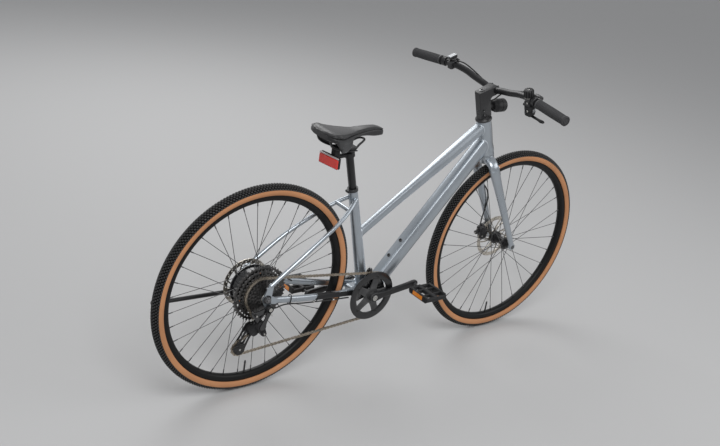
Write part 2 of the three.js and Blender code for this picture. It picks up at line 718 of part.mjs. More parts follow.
function seatStayPoints(side) {
  return SEAT_STAY_X_SHARES.map((share, i) =>
    v3(
      mix(seatStayFoot.x, seatStayHead.x, share),
      side * (STAY_END_Y + SEAT_STAY_OUTSET) * SEAT_STAY_Y_SHARES[i],
      mix(seatStayFoot.z, seatStayHead.z, SEAT_STAY_Z_SHARES[i]),
    ),
  );
}

function seatStayTube(side, grow = 0) {
  return tube(
    seatStayPoints(side),
    SEAT_STAY_RADIUS + grow,
    SEAT_STAY_RADIUS + grow,
    { steps: 9, sides: 10 },
  );
}

function rightSeatStay() {
  return cut(seatStayTube(-1), dropoutBlank(GAP), seatTubeBlank(GAP));
}

function leftSeatStay() {
  const [bend, top] = seatStayPoints(1).slice(2);
  const bridgeAt = bend.clone().lerp(top, 3 / 4);
  const bridge = rodAcross(bridgeAt, bridgeAt.y, -bridgeAt.y, STAY_BRIDGE_RADIUS);
  const half = cut(seatStayTube(1), block(v3(-WHEELBASE, -WHEEL_RADIUS, 0), v3(0, 0, WHEELBASE)));
  return cut(join(half, bridge), seatStayTube(-1, GAP), mirrored(dropoutBlank(GAP)), seatTubeBlank(GAP));
}

function seatCollar() {
  const low = SEAT_TUBE_LENGTH + GAP;
  const high = low + SEAT_COLLAR_HEIGHT;
  const outer = SEATPOST_RADIUS + SEAT_COLLAR_WALL;
  const behind = -outer - SEAT_COLLAR_HEIGHT / 4;
  const ring = rod(onSeatTube(low), onSeatTube(high), outer, ROUND_FACETS);
  const bore = rod(
    onSeatTube(low - OVERRUN),
    onSeatTube(high + OVERRUN),
    SEATPOST_RADIUS + GAP,
    ROUND_FACETS,
  );
  const middle = onSeatTube((low + high) / 2, behind);
  const ear = rodAcross(
    middle,
    -SEAT_COLLAR_EAR_HALF_WIDTH,
    SEAT_COLLAR_EAR_HALF_WIDTH,
    SEAT_COLLAR_HEIGHT / 2,
  );
  return cut(join(ring, ear), bore);
}

function addFrame() {
  add("head_tube", headTube(), PAINT);
  add("seat_tube", seatTube(), PAINT);
  add("top_tube", cut(topTube(), topTube(-TOP_TUBE_WALL), seatTubeBlank(GAP), headTubeBlank(GAP)), PAINT);
  add("down_tube", downTube(), PAINT);
  add("battery_pack", batteryPack(), BLACK_PLASTIC);
  add("right_chain_stay", rightChainStay(), PAINT);
  add("left_chain_stay", leftChainStay(), PAINT);
  add("right_seat_stay", rightSeatStay(), PAINT);
  add("left_seat_stay", leftSeatStay(), PAINT);
  add("seat_collar", seatCollar(), BLACK_ALLOY);
}

// Wheels: each is built about its own axle, with the radius first and y second in a profile

function arcProfile(centreRadius, radius, angles) {
  return angles.map((angle) => {
    const turn = angle * DEGREE;
    return v2(centreRadius + radius * Math.cos(turn), radius * Math.sin(turn));
  });
}

function tyre() {
  const middle = WHEEL_RADIUS - TYRE_HALF_WIDTH;
  const beadY = RIM_HALF_WIDTH - RIM_WALL - GAP;
  const beadRadius = RIM_EDGE_RADIUS - BEAD_SEAT_DEPTH + GAP;
  const side = (sign) => [
    v2(RIM_EDGE_RADIUS + GAP, sign * beadY),
    v2(beadRadius, sign * beadY),
    v2(beadRadius, sign * (beadY - TYRE_WALL)),
    v2(RIM_EDGE_RADIUS + TYRE_WALL, sign * (beadY - TYRE_WALL / 2)),
  ];
  return turned(
    [
      ...arcProfile(middle, TYRE_HALF_WIDTH, [-110, -72, -36, 0, 36, 72, 110]),
      ...side(1),
      ...arcProfile(middle, TYRE_HALF_WIDTH - TYRE_WALL, [100, 0, -100]),
      ...side(-1).reverse(),
    ],
    WHEEL_FACETS,
  );
}

function rim() {
  const seat = RIM_EDGE_RADIUS - BEAD_SEAT_DEPTH;
  const inside = RIM_HALF_WIDTH - RIM_WALL;
  const half = [
    v2(RIM_BED_RADIUS, RIM_HALF_WIDTH / 2),
    v2(RIM_BED_RADIUS + RIM_WELL_DEPTH, RIM_HALF_WIDTH - RIM_WALL / 2),
    v2(RIM_EDGE_RADIUS, RIM_HALF_WIDTH),
    v2(RIM_EDGE_RADIUS, inside),
    v2(seat, inside),
    v2(seat - RIM_WELL_DEPTH, inside / 2),
  ];
  return turned([...half, ...half.map((p) => v2(p.x, -p.y)).reverse()], WHEEL_FACETS);
}

// Straight spokes from two flanges to the rim, leaning forward and back in turn
function spokes(count, holeRadius, flangeYs, lacing) {
  const wires = [];
  for (let i = 0; i < count; i++) {
    const side = i % 2;
    const lean = Math.floor(i / 2) % 2 ? 1 : -1;
    const rimAngle = (TURN * (i + 1 / 2)) / count;
    const headAngle = rimAngle + lean * lacing * DEGREE;
    const head = v3(Math.sin(headAngle), 0, Math.cos(headAngle)).multiplyScalar(holeRadius);
    head.y = flangeYs[side] + lean * SPOKE_HEAD_OFFSET;
    const end = v3(Math.sin(rimAngle), 0, Math.cos(rimAngle)).multiplyScalar(SPOKE_END_RADIUS);
    end.y = Math.sign(flangeYs[side]) * SPOKE_RIM_OFFSET;
    wires.push(rod(head, end, SPOKE_RADIUS, 3));
  }
  return join(...wires);
}

function frontHub() {
  const bore = FRONT_AXLE_RADIUS + RUNNING_GAP;
  const end = FRONT_HUB_HALF_WIDTH - GAP;
  const flangeIn = FRONT_FLANGE_HALF_SPACING - FLANGE_THICKNESS / 2;
  const flangeOut = FRONT_FLANGE_HALF_SPACING + FLANGE_THICKNESS / 2;
  const rotorSeat = FRONT_ROTOR_Y - ROTOR_THICKNESS / 2 - GAP;
  const shell = turned([
    v2(bore, -end),
    v2(FRONT_HUB_END_RADIUS, -end),
    v2(FRONT_HUB_BARREL_RADIUS, -flangeOut),
    v2(FRONT_FLANGE_RADIUS, -flangeOut),
    v2(FRONT_FLANGE_RADIUS, -flangeIn),
    v2(FRONT_HUB_BARREL_RADIUS, -flangeIn),
    v2(FRONT_HUB_BARREL_RADIUS, flangeIn),
    v2(FRONT_FLANGE_RADIUS, flangeIn),
    v2(FRONT_FLANGE_RADIUS, flangeOut),
    v2(ROTOR_CARRIER_RADIUS - OVERRUN, flangeOut),
    v2(ROTOR_CARRIER_RADIUS - OVERRUN, rotorSeat),
    v2(FRONT_HUB_BARREL_RADIUS, rotorSeat),
    v2(FRONT_HUB_BARREL_RADIUS, FRONT_ROTOR_Y + ROTOR_THICKNESS),
    v2(FRONT_HUB_END_RADIUS, FRONT_ROTOR_Y + ROTOR_THICKNESS),
    v2(FRONT_HUB_END_RADIUS, end),
    v2(bore, end),
  ]);
  const flangeYs = [-FRONT_FLANGE_HALF_SPACING, FRONT_FLANGE_HALF_SPACING];
  return join(shell, spokes(FRONT_SPOKES, FRONT_FLANGE_RADIUS - SPOKE_HOLE_INSET, flangeYs, FRONT_LACING));
}

function motorHub() {
  const bore = REAR_AXLE_RADIUS + RUNNING_GAP;
  const rotorSeat = REAR_ROTOR_Y - ROTOR_THICKNESS / 2 - GAP;
  const rightEnd = LARGEST_COG_Y + TOOTH_HALF_WIDTH + RUNNING_GAP;
  const flange = (y, side) => [
    v2(MOTOR_RADIUS, y),
    v2(MOTOR_FLANGE_RADIUS, y),
    v2(MOTOR_FLANGE_RADIUS, y + side * FLANGE_THICKNESS),
    v2(MOTOR_RADIUS, y + side * FLANGE_THICKNESS),
  ];
  const shell = turned(
    [
      v2(bore, rightEnd),
      v2(MOTOR_NECK_RADIUS, rightEnd),
      v2(MOTOR_NECK_RADIUS, MOTOR_RIGHT_Y),
      v2(MOTOR_RADIUS - MOTOR_EDGE, MOTOR_RIGHT_Y),
      ...flange(MOTOR_RIGHT_Y + MOTOR_EDGE / 2, 1),
      ...flange(MOTOR_LEFT_Y - MOTOR_EDGE / 2 - FLANGE_THICKNESS, 1),
      v2(MOTOR_RADIUS - MOTOR_EDGE, MOTOR_LEFT_Y),
      v2(MOTOR_NECK_RADIUS, MOTOR_LEFT_Y),
      v2(MOTOR_NECK_RADIUS, rotorSeat),
      v2(FRONT_HUB_BARREL_RADIUS, rotorSeat),
      v2(FRONT_HUB_BARREL_RADIUS, REAR_ROTOR_Y + ROTOR_THICKNESS),
      v2(bore, REAR_ROTOR_Y + ROTOR_THICKNESS),
    ],
    MOTOR_FACETS,
  );
  const inset = (MOTOR_EDGE + FLANGE_THICKNESS) / 2;
  const flangeYs = [MOTOR_RIGHT_Y + inset, MOTOR_LEFT_Y - inset];
  return join(shell, spokes(REAR_SPOKES, MOTOR_FLANGE_RADIUS - SPOKE_HOLE_INSET, flangeYs, REAR_LACING));
}

function rotor(y) {
  const half = ROTOR_THICKNESS / 2;
  const band = plate(
    ringShape(ROTOR_RADIUS, ROTOR_RADIUS - ROTOR_BAND),
    y - half,
    y + half,
    [],
    ROUND_FACETS,
  );
  const carrier = plate(
    ringShape(ROTOR_CARRIER_RADIUS, FRONT_HUB_BARREL_RADIUS + GAP * 4),
    y - half,
    y + half,
  );
  const arms = [];
  for (let i = 0; i < ROTOR_ARMS; i++) {
    const angle = (TURN * i) / ROTOR_ARMS;
    const tip = angle + TURN / ROTOR_ARMS / 2;
    const inner = (ROTOR_CARRIER_RADIUS + FRONT_HUB_BARREL_RADIUS) / 2;
    const outer = ROTOR_RADIUS - ROTOR_BAND / 2;
    const from = v3(inner * Math.sin(angle), 0, inner * Math.cos(angle));
    const to = v3(outer * Math.sin(tip), 0, outer * Math.cos(tip));
    const width = to.clone().sub(from).cross(ACROSS).setLength(ROTOR_ARM_WIDTH / 2);
    const corners = [from, to].map((p) => p.clone().add(width));
    corners.push(...[to, from].map((p) => p.clone().sub(width)));
    arms.push(plate(corners.map((p) => v2(p.x, p.z)), y - half, y + half));
  }
  return join(band, carrier, ...arms);
}

function addWheels() {
  const front = groupAt(frontAxle);
  add("front_tyre", tyre(), TREAD_RUBBER, front);
  add("front_rim", rim(), BLACK_ALLOY, front);
  add("front_hub", frontHub(), BLACK_ALLOY, front);
  add("front_rotor", rotor(FRONT_ROTOR_Y), STEEL, front);
  const rear = groupAt(rearAxle);
  add("rear_tyre", tyre(), TREAD_RUBBER, rear);
  add("rear_rim", rim(), BLACK_ALLOY, rear);
  add("motor_hub", motorHub(), GLOSS_BLACK, rear);
  add("rear_rotor", rotor(REAR_ROTOR_Y), STEEL, rear);
}

// Drive train

const pitchRadius = (teeth) => CHAIN_PITCH / (2 * Math.sin(Math.PI / teeth));
const toothRadius = (teeth) => pitchRadius(teeth) - CHAIN_ROLLER_HALF_HEIGHT - TOOTH_HALF_WIDTH;
const cogY = (teeth) => LARGEST_COG_Y - COG_SPACING * COG_TEETH.indexOf(teeth);
const chainCogY = cogY(CHAIN_COG_TEETH);

function cassette() {
  const profile = [v2(REAR_AXLE_RADIUS + RUNNING_GAP, LARGEST_COG_Y + TOOTH_HALF_WIDTH)];
  COG_TEETH.forEach((teeth, i) => {
    const y = cogY(teeth);
    const next = COG_TEETH[i + 1];
    const root = next ? toothRadius(next) - CHAIN_PLATE_HALF_HEIGHT * 2 : LOCKRING_RADIUS;
    profile.push(v2(toothRadius(teeth), y + TOOTH_HALF_WIDTH), v2(toothRadius(teeth), y - TOOTH_HALF_WIDTH));
    if (next) {
      const neck = Math.max(root, FREEHUB_RADIUS);
      profile.push(v2(neck, y - TOOTH_HALF_WIDTH), v2(neck, cogY(next) + TOOTH_HALF_WIDTH));
    }
  });
  profile.push(v2(LOCKRING_RADIUS, cogY(COG_TEETH.at(-1)) - TOOTH_HALF_WIDTH));
  profile.push(v2(LOCKRING_RADIUS, LOCKRING_Y));
  profile.push(v2(REAR_AXLE_RADIUS + RUNNING_GAP, LOCKRING_Y));
  return turned(profile, MOTOR_FACETS);
}

function rearAxleRod() {
  const nutStart = REAR_DROPOUT_Y + DROPOUT_THICKNESS + GAP;
  const nutEnd = nutStart + REAR_AXLE_NUT_LENGTH;
  const end = nutEnd + REAR_AXLE_TAIL;
  const nut = (y0, y1) => rodAcross(rearAxle, y0, y1, REAR_AXLE_NUT_RADIUS, 6);
  const spacer = rodAcross(rearAxle, REAR_ROTOR_Y + OVERRUN, REAR_DROPOUT_Y - GAP, REAR_AXLE_NUT_RADIUS);
  const core = rodAcross(rearAxle, -end, end, REAR_AXLE_RADIUS);
  return join(core, nut(nutStart, nutEnd), nut(-nutEnd, -nutStart), spacer);
}

// Points where a straight run leaves one wheel and meets the next. The sense is 1 where the chain turns
// anticlockwise as seen from the right, and -1 where it turns clockwise.
function tangent(a, b) {
  const dx = b.x - a.x;
  const dz = b.z - a.z;
  const distance = Math.hypot(dx, dz);
  const lift = b.sense * b.radius - a.sense * a.radius;
  const heading = Math.atan2(dz, dx) - Math.asin(lift / distance);
  const normal = heading - TURN / 4;
  const at = (w) => {
    const reach = w.sense * w.radius;
    return { x: w.x + reach * Math.cos(normal), z: w.z + reach * Math.sin(normal) };
  };
  return { from: at(a), to: at(b) };
}

const guidePulley = rearAxle.clone().add(v3(-GUIDE_PULLEY_BEHIND, chainCogY, -GUIDE_PULLEY_BELOW));
const tensionPulley = guidePulley.clone().add(v3(-CAGE_RUN, 0, -CAGE_DROP));

// The chain runs forward over the cassette, round the chainring and back by the two pulleys
function chainRoute() {
  const wheel = (at, teeth, y, sense) => ({ x: at.x, z: at.z, y, radius: pitchRadius(teeth), sense });
  const wheels = [
    wheel(rearAxle, CHAIN_COG_TEETH, chainCogY, -1),
    wheel(bottomBracket, CHAINRING_TEETH, CHAINLINE_Y, -1),
    wheel(tensionPulley, PULLEY_TEETH, chainCogY, -1),
    wheel(guidePulley, PULLEY_TEETH, chainCogY, 1),
  ];
  const route = [];
  wheels.forEach((w, i) => {
    const before = tangent(wheels.at(i - 1), w).to;
    const after = tangent(w, wheels[(i + 1) % wheels.length]).from;
    const start = Math.atan2(before.z - w.z, before.x - w.x);
    let sweep = Math.atan2(after.z - w.z, after.x - w.x) - start;
    while (w.sense * sweep < 0) sweep += w.sense * TURN;
    const steps = Math.max(2, Math.ceil(Math.abs(sweep) / CHAIN_ARC_STEP));
    for (let k = 0; k <= steps; k++) {
      const angle = start + (sweep * k) / steps;
      const out = v3(Math.cos(angle), 0, Math.sin(angle));
      const at = v3(w.x, w.y, w.z).addScaledVector(out, w.radius);
      route.push({ at, normal: out.multiplyScalar(-w.sense) });
    }
  });
  return route;
}

// Two rows of plates with the rollers between them, as one band with a groove on each side
function chain() {
  const section = [
    [-CHAIN_HALF_WIDTH, -CHAIN_PLATE_HALF_HEIGHT],
    [-CHAIN_GROOVE_HALF_WIDTH, -CHAIN_PLATE_HALF_HEIGHT],
    [-CHAIN_GROOVE_HALF_WIDTH, -CHAIN_ROLLER_HALF_HEIGHT],
    [CHAIN_GROOVE_HALF_WIDTH, -CHAIN_ROLLER_HALF_HEIGHT],
    [CHAIN_GROOVE_HALF_WIDTH, -CHAIN_PLATE_HALF_HEIGHT],
    [CHAIN_HALF_WIDTH, -CHAIN_PLATE_HALF_HEIGHT],
  ];
  const outline = [...section, ...section.map(([y, h]) => [-y, -h])];
  const place = ({ at, normal }, [y, h]) => at.clone().add(v3(0, y, 0)).addScaledVector(normal, h);
  const rings = chainRoute().map((station) => outline.map((point) => place(station, point)));
  return skin(rings, true);
}

function chainring() {
  const y = CHAINLINE_Y;
  const teeth = toothRadius(CHAINRING_TEETH);
  const inner = teeth - GUARD_BAND;
  const guardY = y - CHAIN_HALF_WIDTH - GUARD_HALF_THICKNESS * 2;
  const hub = SPINDLE_RADIUS + SPIDER_HALF_THICKNESS * 2;
  const deck = guardY - GUARD_HALF_THICKNESS;
  const ring = plate(ringShape(teeth, inner), y - TOOTH_HALF_WIDTH, y + TOOTH_HALF_WIDTH, [], ROUND_FACETS);
  const guard = plate(ringShape(GUARD_RADIUS, GUARD_RADIUS - GUARD_BAND * 2), deck, guardY, [], ROUND_FACETS);
  const middle = plate(ringShape(CRANK_BOSS_RADIUS * 1.5, hub + GAP * 4), deck, y, []);
  const arms = [];
  for (let i = 0; i < SPIDER_ARMS; i++) {
    const angle = CRANK_ANGLE * DEGREE + (TURN * i) / SPIDER_ARMS;
    const out = v3(Math.cos(angle), 0, Math.sin(angle));
    const side = v3(-out.z, 0, out.x).multiplyScalar(SPIDER_ARM_WIDTH / 2);
    const root = out.clone().multiplyScalar(CRANK_BOSS_RADIUS * 1.3);
    const tip = out.clone().multiplyScalar(teeth - GUARD_BAND / 2);
    const corners = [
      root.clone().sub(side),
      tip.clone().sub(side.clone().multiplyScalar(0.6)),
      tip.clone().add(side.clone().multiplyScalar(0.6)),
      root.clone().add(side),
    ];
    arms.push(plate(corners.map((p) => v2(p.x, p.z)), deck, y));
  }
  return join(ring, guard, middle, ...arms);
}

const crankEye = (side) => {
  const angle = CRANK_ANGLE * DEGREE + (side > 0 ? TURN / 2 : 0);
  return v3(Math.cos(angle), 0, Math.sin(angle)).multiplyScalar(CRANK_LENGTH);
};

// The arm with its pedal axle, built about the bottom bracket
function crankArm(side) {
  const y0 = side * (CRANK_ARM_Y - CRANK_ARM_HALF_THICKNESS);
  const y1 = side * (CRANK_ARM_Y + CRANK_ARM_HALF_THICKNESS);
  const eye = crankEye(side);
  const arm = plate(linkOutline(v3(0, 0, 0), CRANK_BOSS_RADIUS, eye, CRANK_EYE_RADIUS), y0, y1);
  const axle = rodAcross(eye, side * CRANK_ARM_Y, side * (PEDAL_OUTER_Y - PEDAL_RAIL / 2), PEDAL_AXLE_RADIUS);
  return join(arm, axle);
}

function rightCrank() {
  const origin = v3(0, 0, 0);
  const end = CRANK_ARM_Y + CRANK_ARM_HALF_THICKNESS;
  const spindle = rodAcross(origin, -CRANK_ARM_Y, end, SPINDLE_RADIUS, ROUND_FACETS);
  const boss = rodAcross(
    origin,
    -CRANK_ARM_Y,
    CHAINLINE_Y,
    SPINDLE_RADIUS + SPIDER_HALF_THICKNESS * 2,
    ROUND_FACETS,
  );
  return join(crankArm(-1), spindle, boss);
}

function leftCrank() {
  const end = CRANK_ARM_Y + CRANK_ARM_HALF_THICKNESS + OVERRUN;
  return cut(crankArm(1), rodAcross(v3(0, 0, 0), 0, end, SPINDLE_RADIUS + GAP, ROUND_FACETS));
}

// A platform with a rail round it, built about its axle
function pedal(side) {
  const low = side > 0 ? PEDAL_INNER_Y : -PEDAL_OUTER_Y;
  const high = side > 0 ? PEDAL_OUTER_Y : -PEDAL_INNER_Y;
  const long = PEDAL_HALF_LENGTH;
  const tall = PEDAL_HALF_HEIGHT;
  const slim = PEDAL_HALF_HEIGHT - PEDAL_RAIL / 2;
  const rails = [
    block(v3(long - PEDAL_RAIL, low, -tall), v3(long, high, tall)),
    block(v3(-long, low, -tall), v3(-long + PEDAL_RAIL, high, tall)),
    block(v3(-long, low, -slim), v3(long, low + PEDAL_RAIL, slim)),
    block(v3(-long, high - PEDAL_RAIL, -slim), v3(long, high, slim)),
  ];
  const barrel = rodAcross(v3(0, 0, 0), low, high, PEDAL_BARREL_RADIUS);
  const blind = side * (PEDAL_OUTER_Y - PEDAL_RAIL / 2 + GAP);
  const bore = rodAcross(v3(0, 0, 0), 0, blind, PEDAL_AXLE_RADIUS + RUNNING_GAP);
  return cut(join(...rails, barrel), bore);
}

function pulley() {
  const radius = toothRadius(PULLEY_TEETH);
  const bore = PULLEY_BOLT_RADIUS + RUNNING_GAP;
  const hub = CAGE_PLATE_OFFSET - RUNNING_GAP;
  return turned(
    [
      v2(bore, -hub),
      v2(PULLEY_HUB_RADIUS, -hub),
      v2(PULLEY_HUB_RADIUS, -TOOTH_HALF_WIDTH),
      v2(radius, -TOOTH_HALF_WIDTH),
      v2(radius, TOOTH_HALF_WIDTH),
      v2(PULLEY_HUB_RADIUS, TOOTH_HALF_WIDTH),
      v2(PULLEY_HUB_RADIUS, hub),
      v2(bore, hub),
    ],
    SMALL_FACETS,
  );
}

function derailleurCage() {
  const outline = linkOutline(guidePulley, CAGE_END_RADIUS, tensionPulley, CAGE_END_RADIUS);
  const near = CAGE_PLATE_OFFSET;
  const far = near + CAGE_PLATE_THICKNESS;
  const inner = plate(outline, chainCogY + near, chainCogY + far);
  const outer = plate(outline, chainCogY - near, chainCogY - far);
  const bolts = [guidePulley, tensionPulley].map((at) =>
    rodAcross(at, chainCogY - near, chainCogY + near, PULLEY_BOLT_RADIUS),
  );
  return join(inner, outer, ...bolts);
}

// The upper knuckle on the hanger, the lower one at the cage, and the links between them
function derailleurBody() {
  const hangerY = -REAR_DROPOUT_Y - DROPOUT_THICKNESS - GAP;
  const cageY = chainCogY - CAGE_PLATE_OFFSET - CAGE_PLATE_THICKNESS - GAP;
  const top = hangerBolt.clone().setY(hangerY - KNUCKLE_RADIUS / 2);
  const low = guidePulley.clone().setY(hangerY);
  const upper = rodAcross(top, hangerY - KNUCKLE_RADIUS, hangerY, KNUCKLE_RADIUS * 0.8);
  const lower = rodAcross(low, hangerY - KNUCKLE_RADIUS / 2, cageY, KNUCKLE_RADIUS);
  const links = [-1, 1].map((side) => {
    const shift = v3((side * KNUCKLE_RADIUS) / 2, 0, 0);
    return rod(top.clone().add(shift), low.clone().add(shift), KNUCKLE_RADIUS / 3);
  });
  return join(upper, lower, ...links);
}

function addDriveTrain() {
  add("rear_axle", rearAxleRod(), STEEL);
  add("cassette", cassette(), BLACK_ALLOY, groupAt(rearAxle));
  add("chain", chain(), CHAIN_STEEL);
  const cranks = groupAt(bottomBracket);
  add("chainring", chainring(), BLACK_ALLOY, cranks);
  add("right_crank", rightCrank(), BLACK_ALLOY, cranks);
  add("left_crank", leftCrank(), BLACK_ALLOY, cranks);
  add("right_pedal", pedal(-1), BLACK_PLASTIC, groupAt(crankEye(-1), cranks));
  add("left_pedal", pedal(1), BLACK_PLASTIC, groupAt(crankEye(1), cranks));
  add("guide_pulley", pulley(), BLACK_PLASTIC, groupAt(guidePulley));
  add("tension_pulley", pulley(), BLACK_PLASTIC, groupAt(tensionPulley));
  add("derailleur_cage", derailleurCage(), BLACK_ALLOY);
  add("derailleur_body", derailleurBody(), BLACK_PLASTIC);
}

// Saddle, seatpost and tail light

const postTopHeight = SEAT_TUBE_LENGTH + POST_LENGTH - POST_INSERTION;
const postTop = onSeatTube(postTopHeight);
const SADDLE_SHARES = [0, 0.04, 0.14, 0.3, 0.5, 0.66, 0.8, 0.92, 1];
const SADDLE_WIDTH_SHARES = [0.12, 0.2, 0.27, 0.35, 0.51, 0.73, 0.92, 1, 0.68];
const SADDLE_RISE_SHARES = [0, 0.28, 0.6, 0.64, 0.6, 0.68, 0.84, 1, 0.8];
const SADDLE_DEPTH_SHARES = [0.29, 0.38, 0.5, 0.5, 0.45, 1, 0.8, 0.62, 0.38];
const WING_PLACE_SHARES = [0.54, 0.59, 0.625, 0.66, 0.71, 0.75]; // of the row of stations above
const WING_DROP_SHARES = [0.05, 0.55, 1, 1, 0.5, 0.05];

function saddleStation(i) {
  const x = postTop.x + SADDLE_NOSE_ADVANCE - SADDLE_LENGTH * SADDLE_SHARES[i];
  const top = postTop.z + SADDLE_NOSE_RISE + SADDLE_TAIL_LIFT * SADDLE_RISE_SHARES[i];
  const half = SADDLE_HALF_WIDTH * SADDLE_WIDTH_SHARES[i];
  return { x, top, half, depth: SADDLE_THICKNESS * SADDLE_DEPTH_SHARES[i] };
}

function betweenSaddleStations(share) {
  const place = share * (SADDLE_SHARES.length - 1);
  const i = Math.min(Math.floor(place), SADDLE_SHARES.length - 2);
  const [a, b] = [saddleStation(i), saddleStation(i + 1)];
  return {
    x: mix(a.x, b.x, place - i),
    top: mix(a.top, b.top, place - i),
    half: mix(a.half, b.half, place - i),
    depth: mix(a.depth, b.depth, place - i),
  };
}

// The lobe of the saddle's base that hangs beside the post's clamp
function saddleWing(side, grow = 0) {
  const rings = WING_PLACE_SHARES.map((share, i) => {
    const { x, top, half, depth } = betweenSaddleStations(share);
    const drop = SADDLE_WING_DROP * WING_DROP_SHARES[i];
    const y = side * (half - SADDLE_BASE_INSET - SADDLE_WING_HALF_THICKNESS);
    const tall = (drop + SADDLE_BASE_THICKNESS) / 2 + grow;
    const middle = v3(x, y, top - depth - drop / 2);
    return oval(middle, ACROSS, v3(0, 0, 1), SADDLE_WING_HALF_THICKNESS + grow, tall, 3);
  });
  return skin(rings);
}

const saddleBaseSolid = (grow) => join(saddleBaseBlank(grow), saddleWing(-1, grow), saddleWing(1, grow));

function saddleBaseBlank(grow) {
  const rings = SADDLE_SHARES.map((share, i) => {
    const { x, top, half, depth } = saddleStation(i);
    const inset = half - SADDLE_BASE_INSET + grow;
    const shift = share === 0 ? grow - SADDLE_BASE_INSET : share === 1 ? SADDLE_BASE_INSET - grow : 0;
    const centre = v3(x + shift, 0, top - depth);
    return oval(centre, ACROSS, v3(0, 0, 1), inset, SADDLE_BASE_THICKNESS / 2 + grow, 3, TUBE_SIDES);
  });
  return skin(rings);
}

function saddleCover() {
  const rings = SADDLE_SHARES.map((_, i) => {
    const { x, top, half, depth } = saddleStation(i);
    return oval(v3(x, 0, top - depth / 2), ACROSS, v3(0, 0, 1), half, depth / 2, 2.7, 16);
  });
  return cut(skin(rings), saddleBaseSolid(GAP * 2));
}

const RAIL_LEVEL_SHARES = [-0.18, -0.08, 0.08, 0.14];

// One bent wire, whose two ends stand in the saddle's base and whose loop lies under its nose
function saddleRails() {
  const rear = saddleStation(7);
  const front = saddleStation(2);
  const level = postTop.z;
  const noseZ = front.top - front.depth - SADDLE_BASE_THICKNESS / 2 - RAIL_RADIUS - GAP;
  const half = [
    v3(rear.x, -RAIL_HALF_SPACING * 1.6, rear.top - rear.depth),
    v3(rear.x + SADDLE_BASE_INSET * 2, -RAIL_HALF_SPACING * 1.45, mix(level, rear.top - rear.depth, 1 / 2)),
    ...RAIL_LEVEL_SHARES.map((share) => v3(postTop.x + SADDLE_LENGTH * share, -RAIL_HALF_SPACING, level)),
    v3(front.x - SADDLE_LENGTH * 0.06, -RAIL_HALF_SPACING * 0.7, mix(level, noseZ, 0.7)),
    v3(front.x, -RAIL_HALF_SPACING * 0.4, noseZ),
  ];
  const points = [...half, ...half.map((p) => v3(p.x, -p.y, p.z)).reverse()];
  return cut(hose(points, RAIL_RADIUS, 34), saddleBaseBlank(GAP));
}

function seatpost() {
  const post = rod(onSeatTube(postTopHeight - POST_LENGTH), postTop, SEATPOST_RADIUS, ROUND_FACETS);
  const half = v3(SEATPOST_RADIUS + RAIL_RADIUS, RAIL_HALF_SPACING + RAIL_RADIUS * 2, RAIL_RADIUS * 2);
  const grooves = [-1, 1].map((side) =>
    rod(
      v3(postTop.x - half.x * 2, side * RAIL_HALF_SPACING, postTop.z),
      v3(postTop.x + half.x * 2, side * RAIL_HALF_SPACING, postTop.z),
      RAIL_RADIUS + GAP * 3,
    ),
  );
  const clamp = block(postTop.clone().sub(half), postTop.clone().add(half));
  return cut(join(post, clamp), ...grooves);
}

// The tail light is built about the middle of its collar, which lies on the seatpost
const lampCollar = onSeatTube(postTopHeight - LAMP_COLLAR_HEIGHT * 1.6);

function tailLightBox(front, depth) {
  const low = v3(-front, -TAIL_LIGHT_HALF_WIDTH, -TAIL_LIGHT_DROP - TAIL_LIGHT_HALF_HEIGHT);
  const high = v3(-front + depth, TAIL_LIGHT_HALF_WIDTH, -TAIL_LIGHT_DROP + TAIL_LIGHT_HALF_HEIGHT);
  return block(low, high);
}

function tailLightHousing() {
  const half = LAMP_COLLAR_HEIGHT / 2;
  const bore = SEATPOST_RADIUS + GAP * 2;
  const end = seatAxis.clone().multiplyScalar(half);
  const collar = rod(end.clone().negate(), end, bore + LAMP_COLLAR_WALL, ROUND_FACETS);
  const hole = rod(end.clone().multiplyScalar(-2), end.clone().multiplyScalar(2), bore, ROUND_FACETS);
  const boxFront = TAIL_LIGHT_BEHIND - TAIL_LENS_THICKNESS - GAP;
  const arm = block(v3(OVERRUN - boxFront, -half, -half), v3(-SEATPOST_RADIUS, half, half / 2));
  const lugRear = TAIL_LIGHT_DEPTH + GAP - boxFront;
  const lug = block(
    v3(lugRear, -LAMP_LUG_HALF_WIDTH, -half),
    v3(lugRear + LAMP_LUG_LENGTH, LAMP_LUG_HALF_WIDTH, LAMP_LUG_HEIGHT),
  );
  return cut(join(collar, arm, lug, tailLightBox(boxFront, TAIL_LIGHT_DEPTH)), hole);
}

function addSaddle() {
  add("seatpost", seatpost(), BLACK_ALLOY);
  add("saddle_rails", saddleRails(), BLACK_ALLOY);
  add("saddle_base", saddleBaseSolid(0), BLACK_PLASTIC);
  add("saddle_cover", saddleCover(), SADDLE_SKIN);
  const lamp = groupAt(lampCollar);
  lamp.rotateOnAxis(seatAxis, TAIL_LIGHT_TURN * DEGREE);
  add("tail_light_housing", tailLightHousing(), BLACK_PLASTIC, lamp);
  add("tail_light_lens", tailLightBox(TAIL_LIGHT_BEHIND, TAIL_LENS_THICKNESS), RED_LENS, lamp);
}

// Kickstand, drawn where it is stowed along the left side of the rear wheel

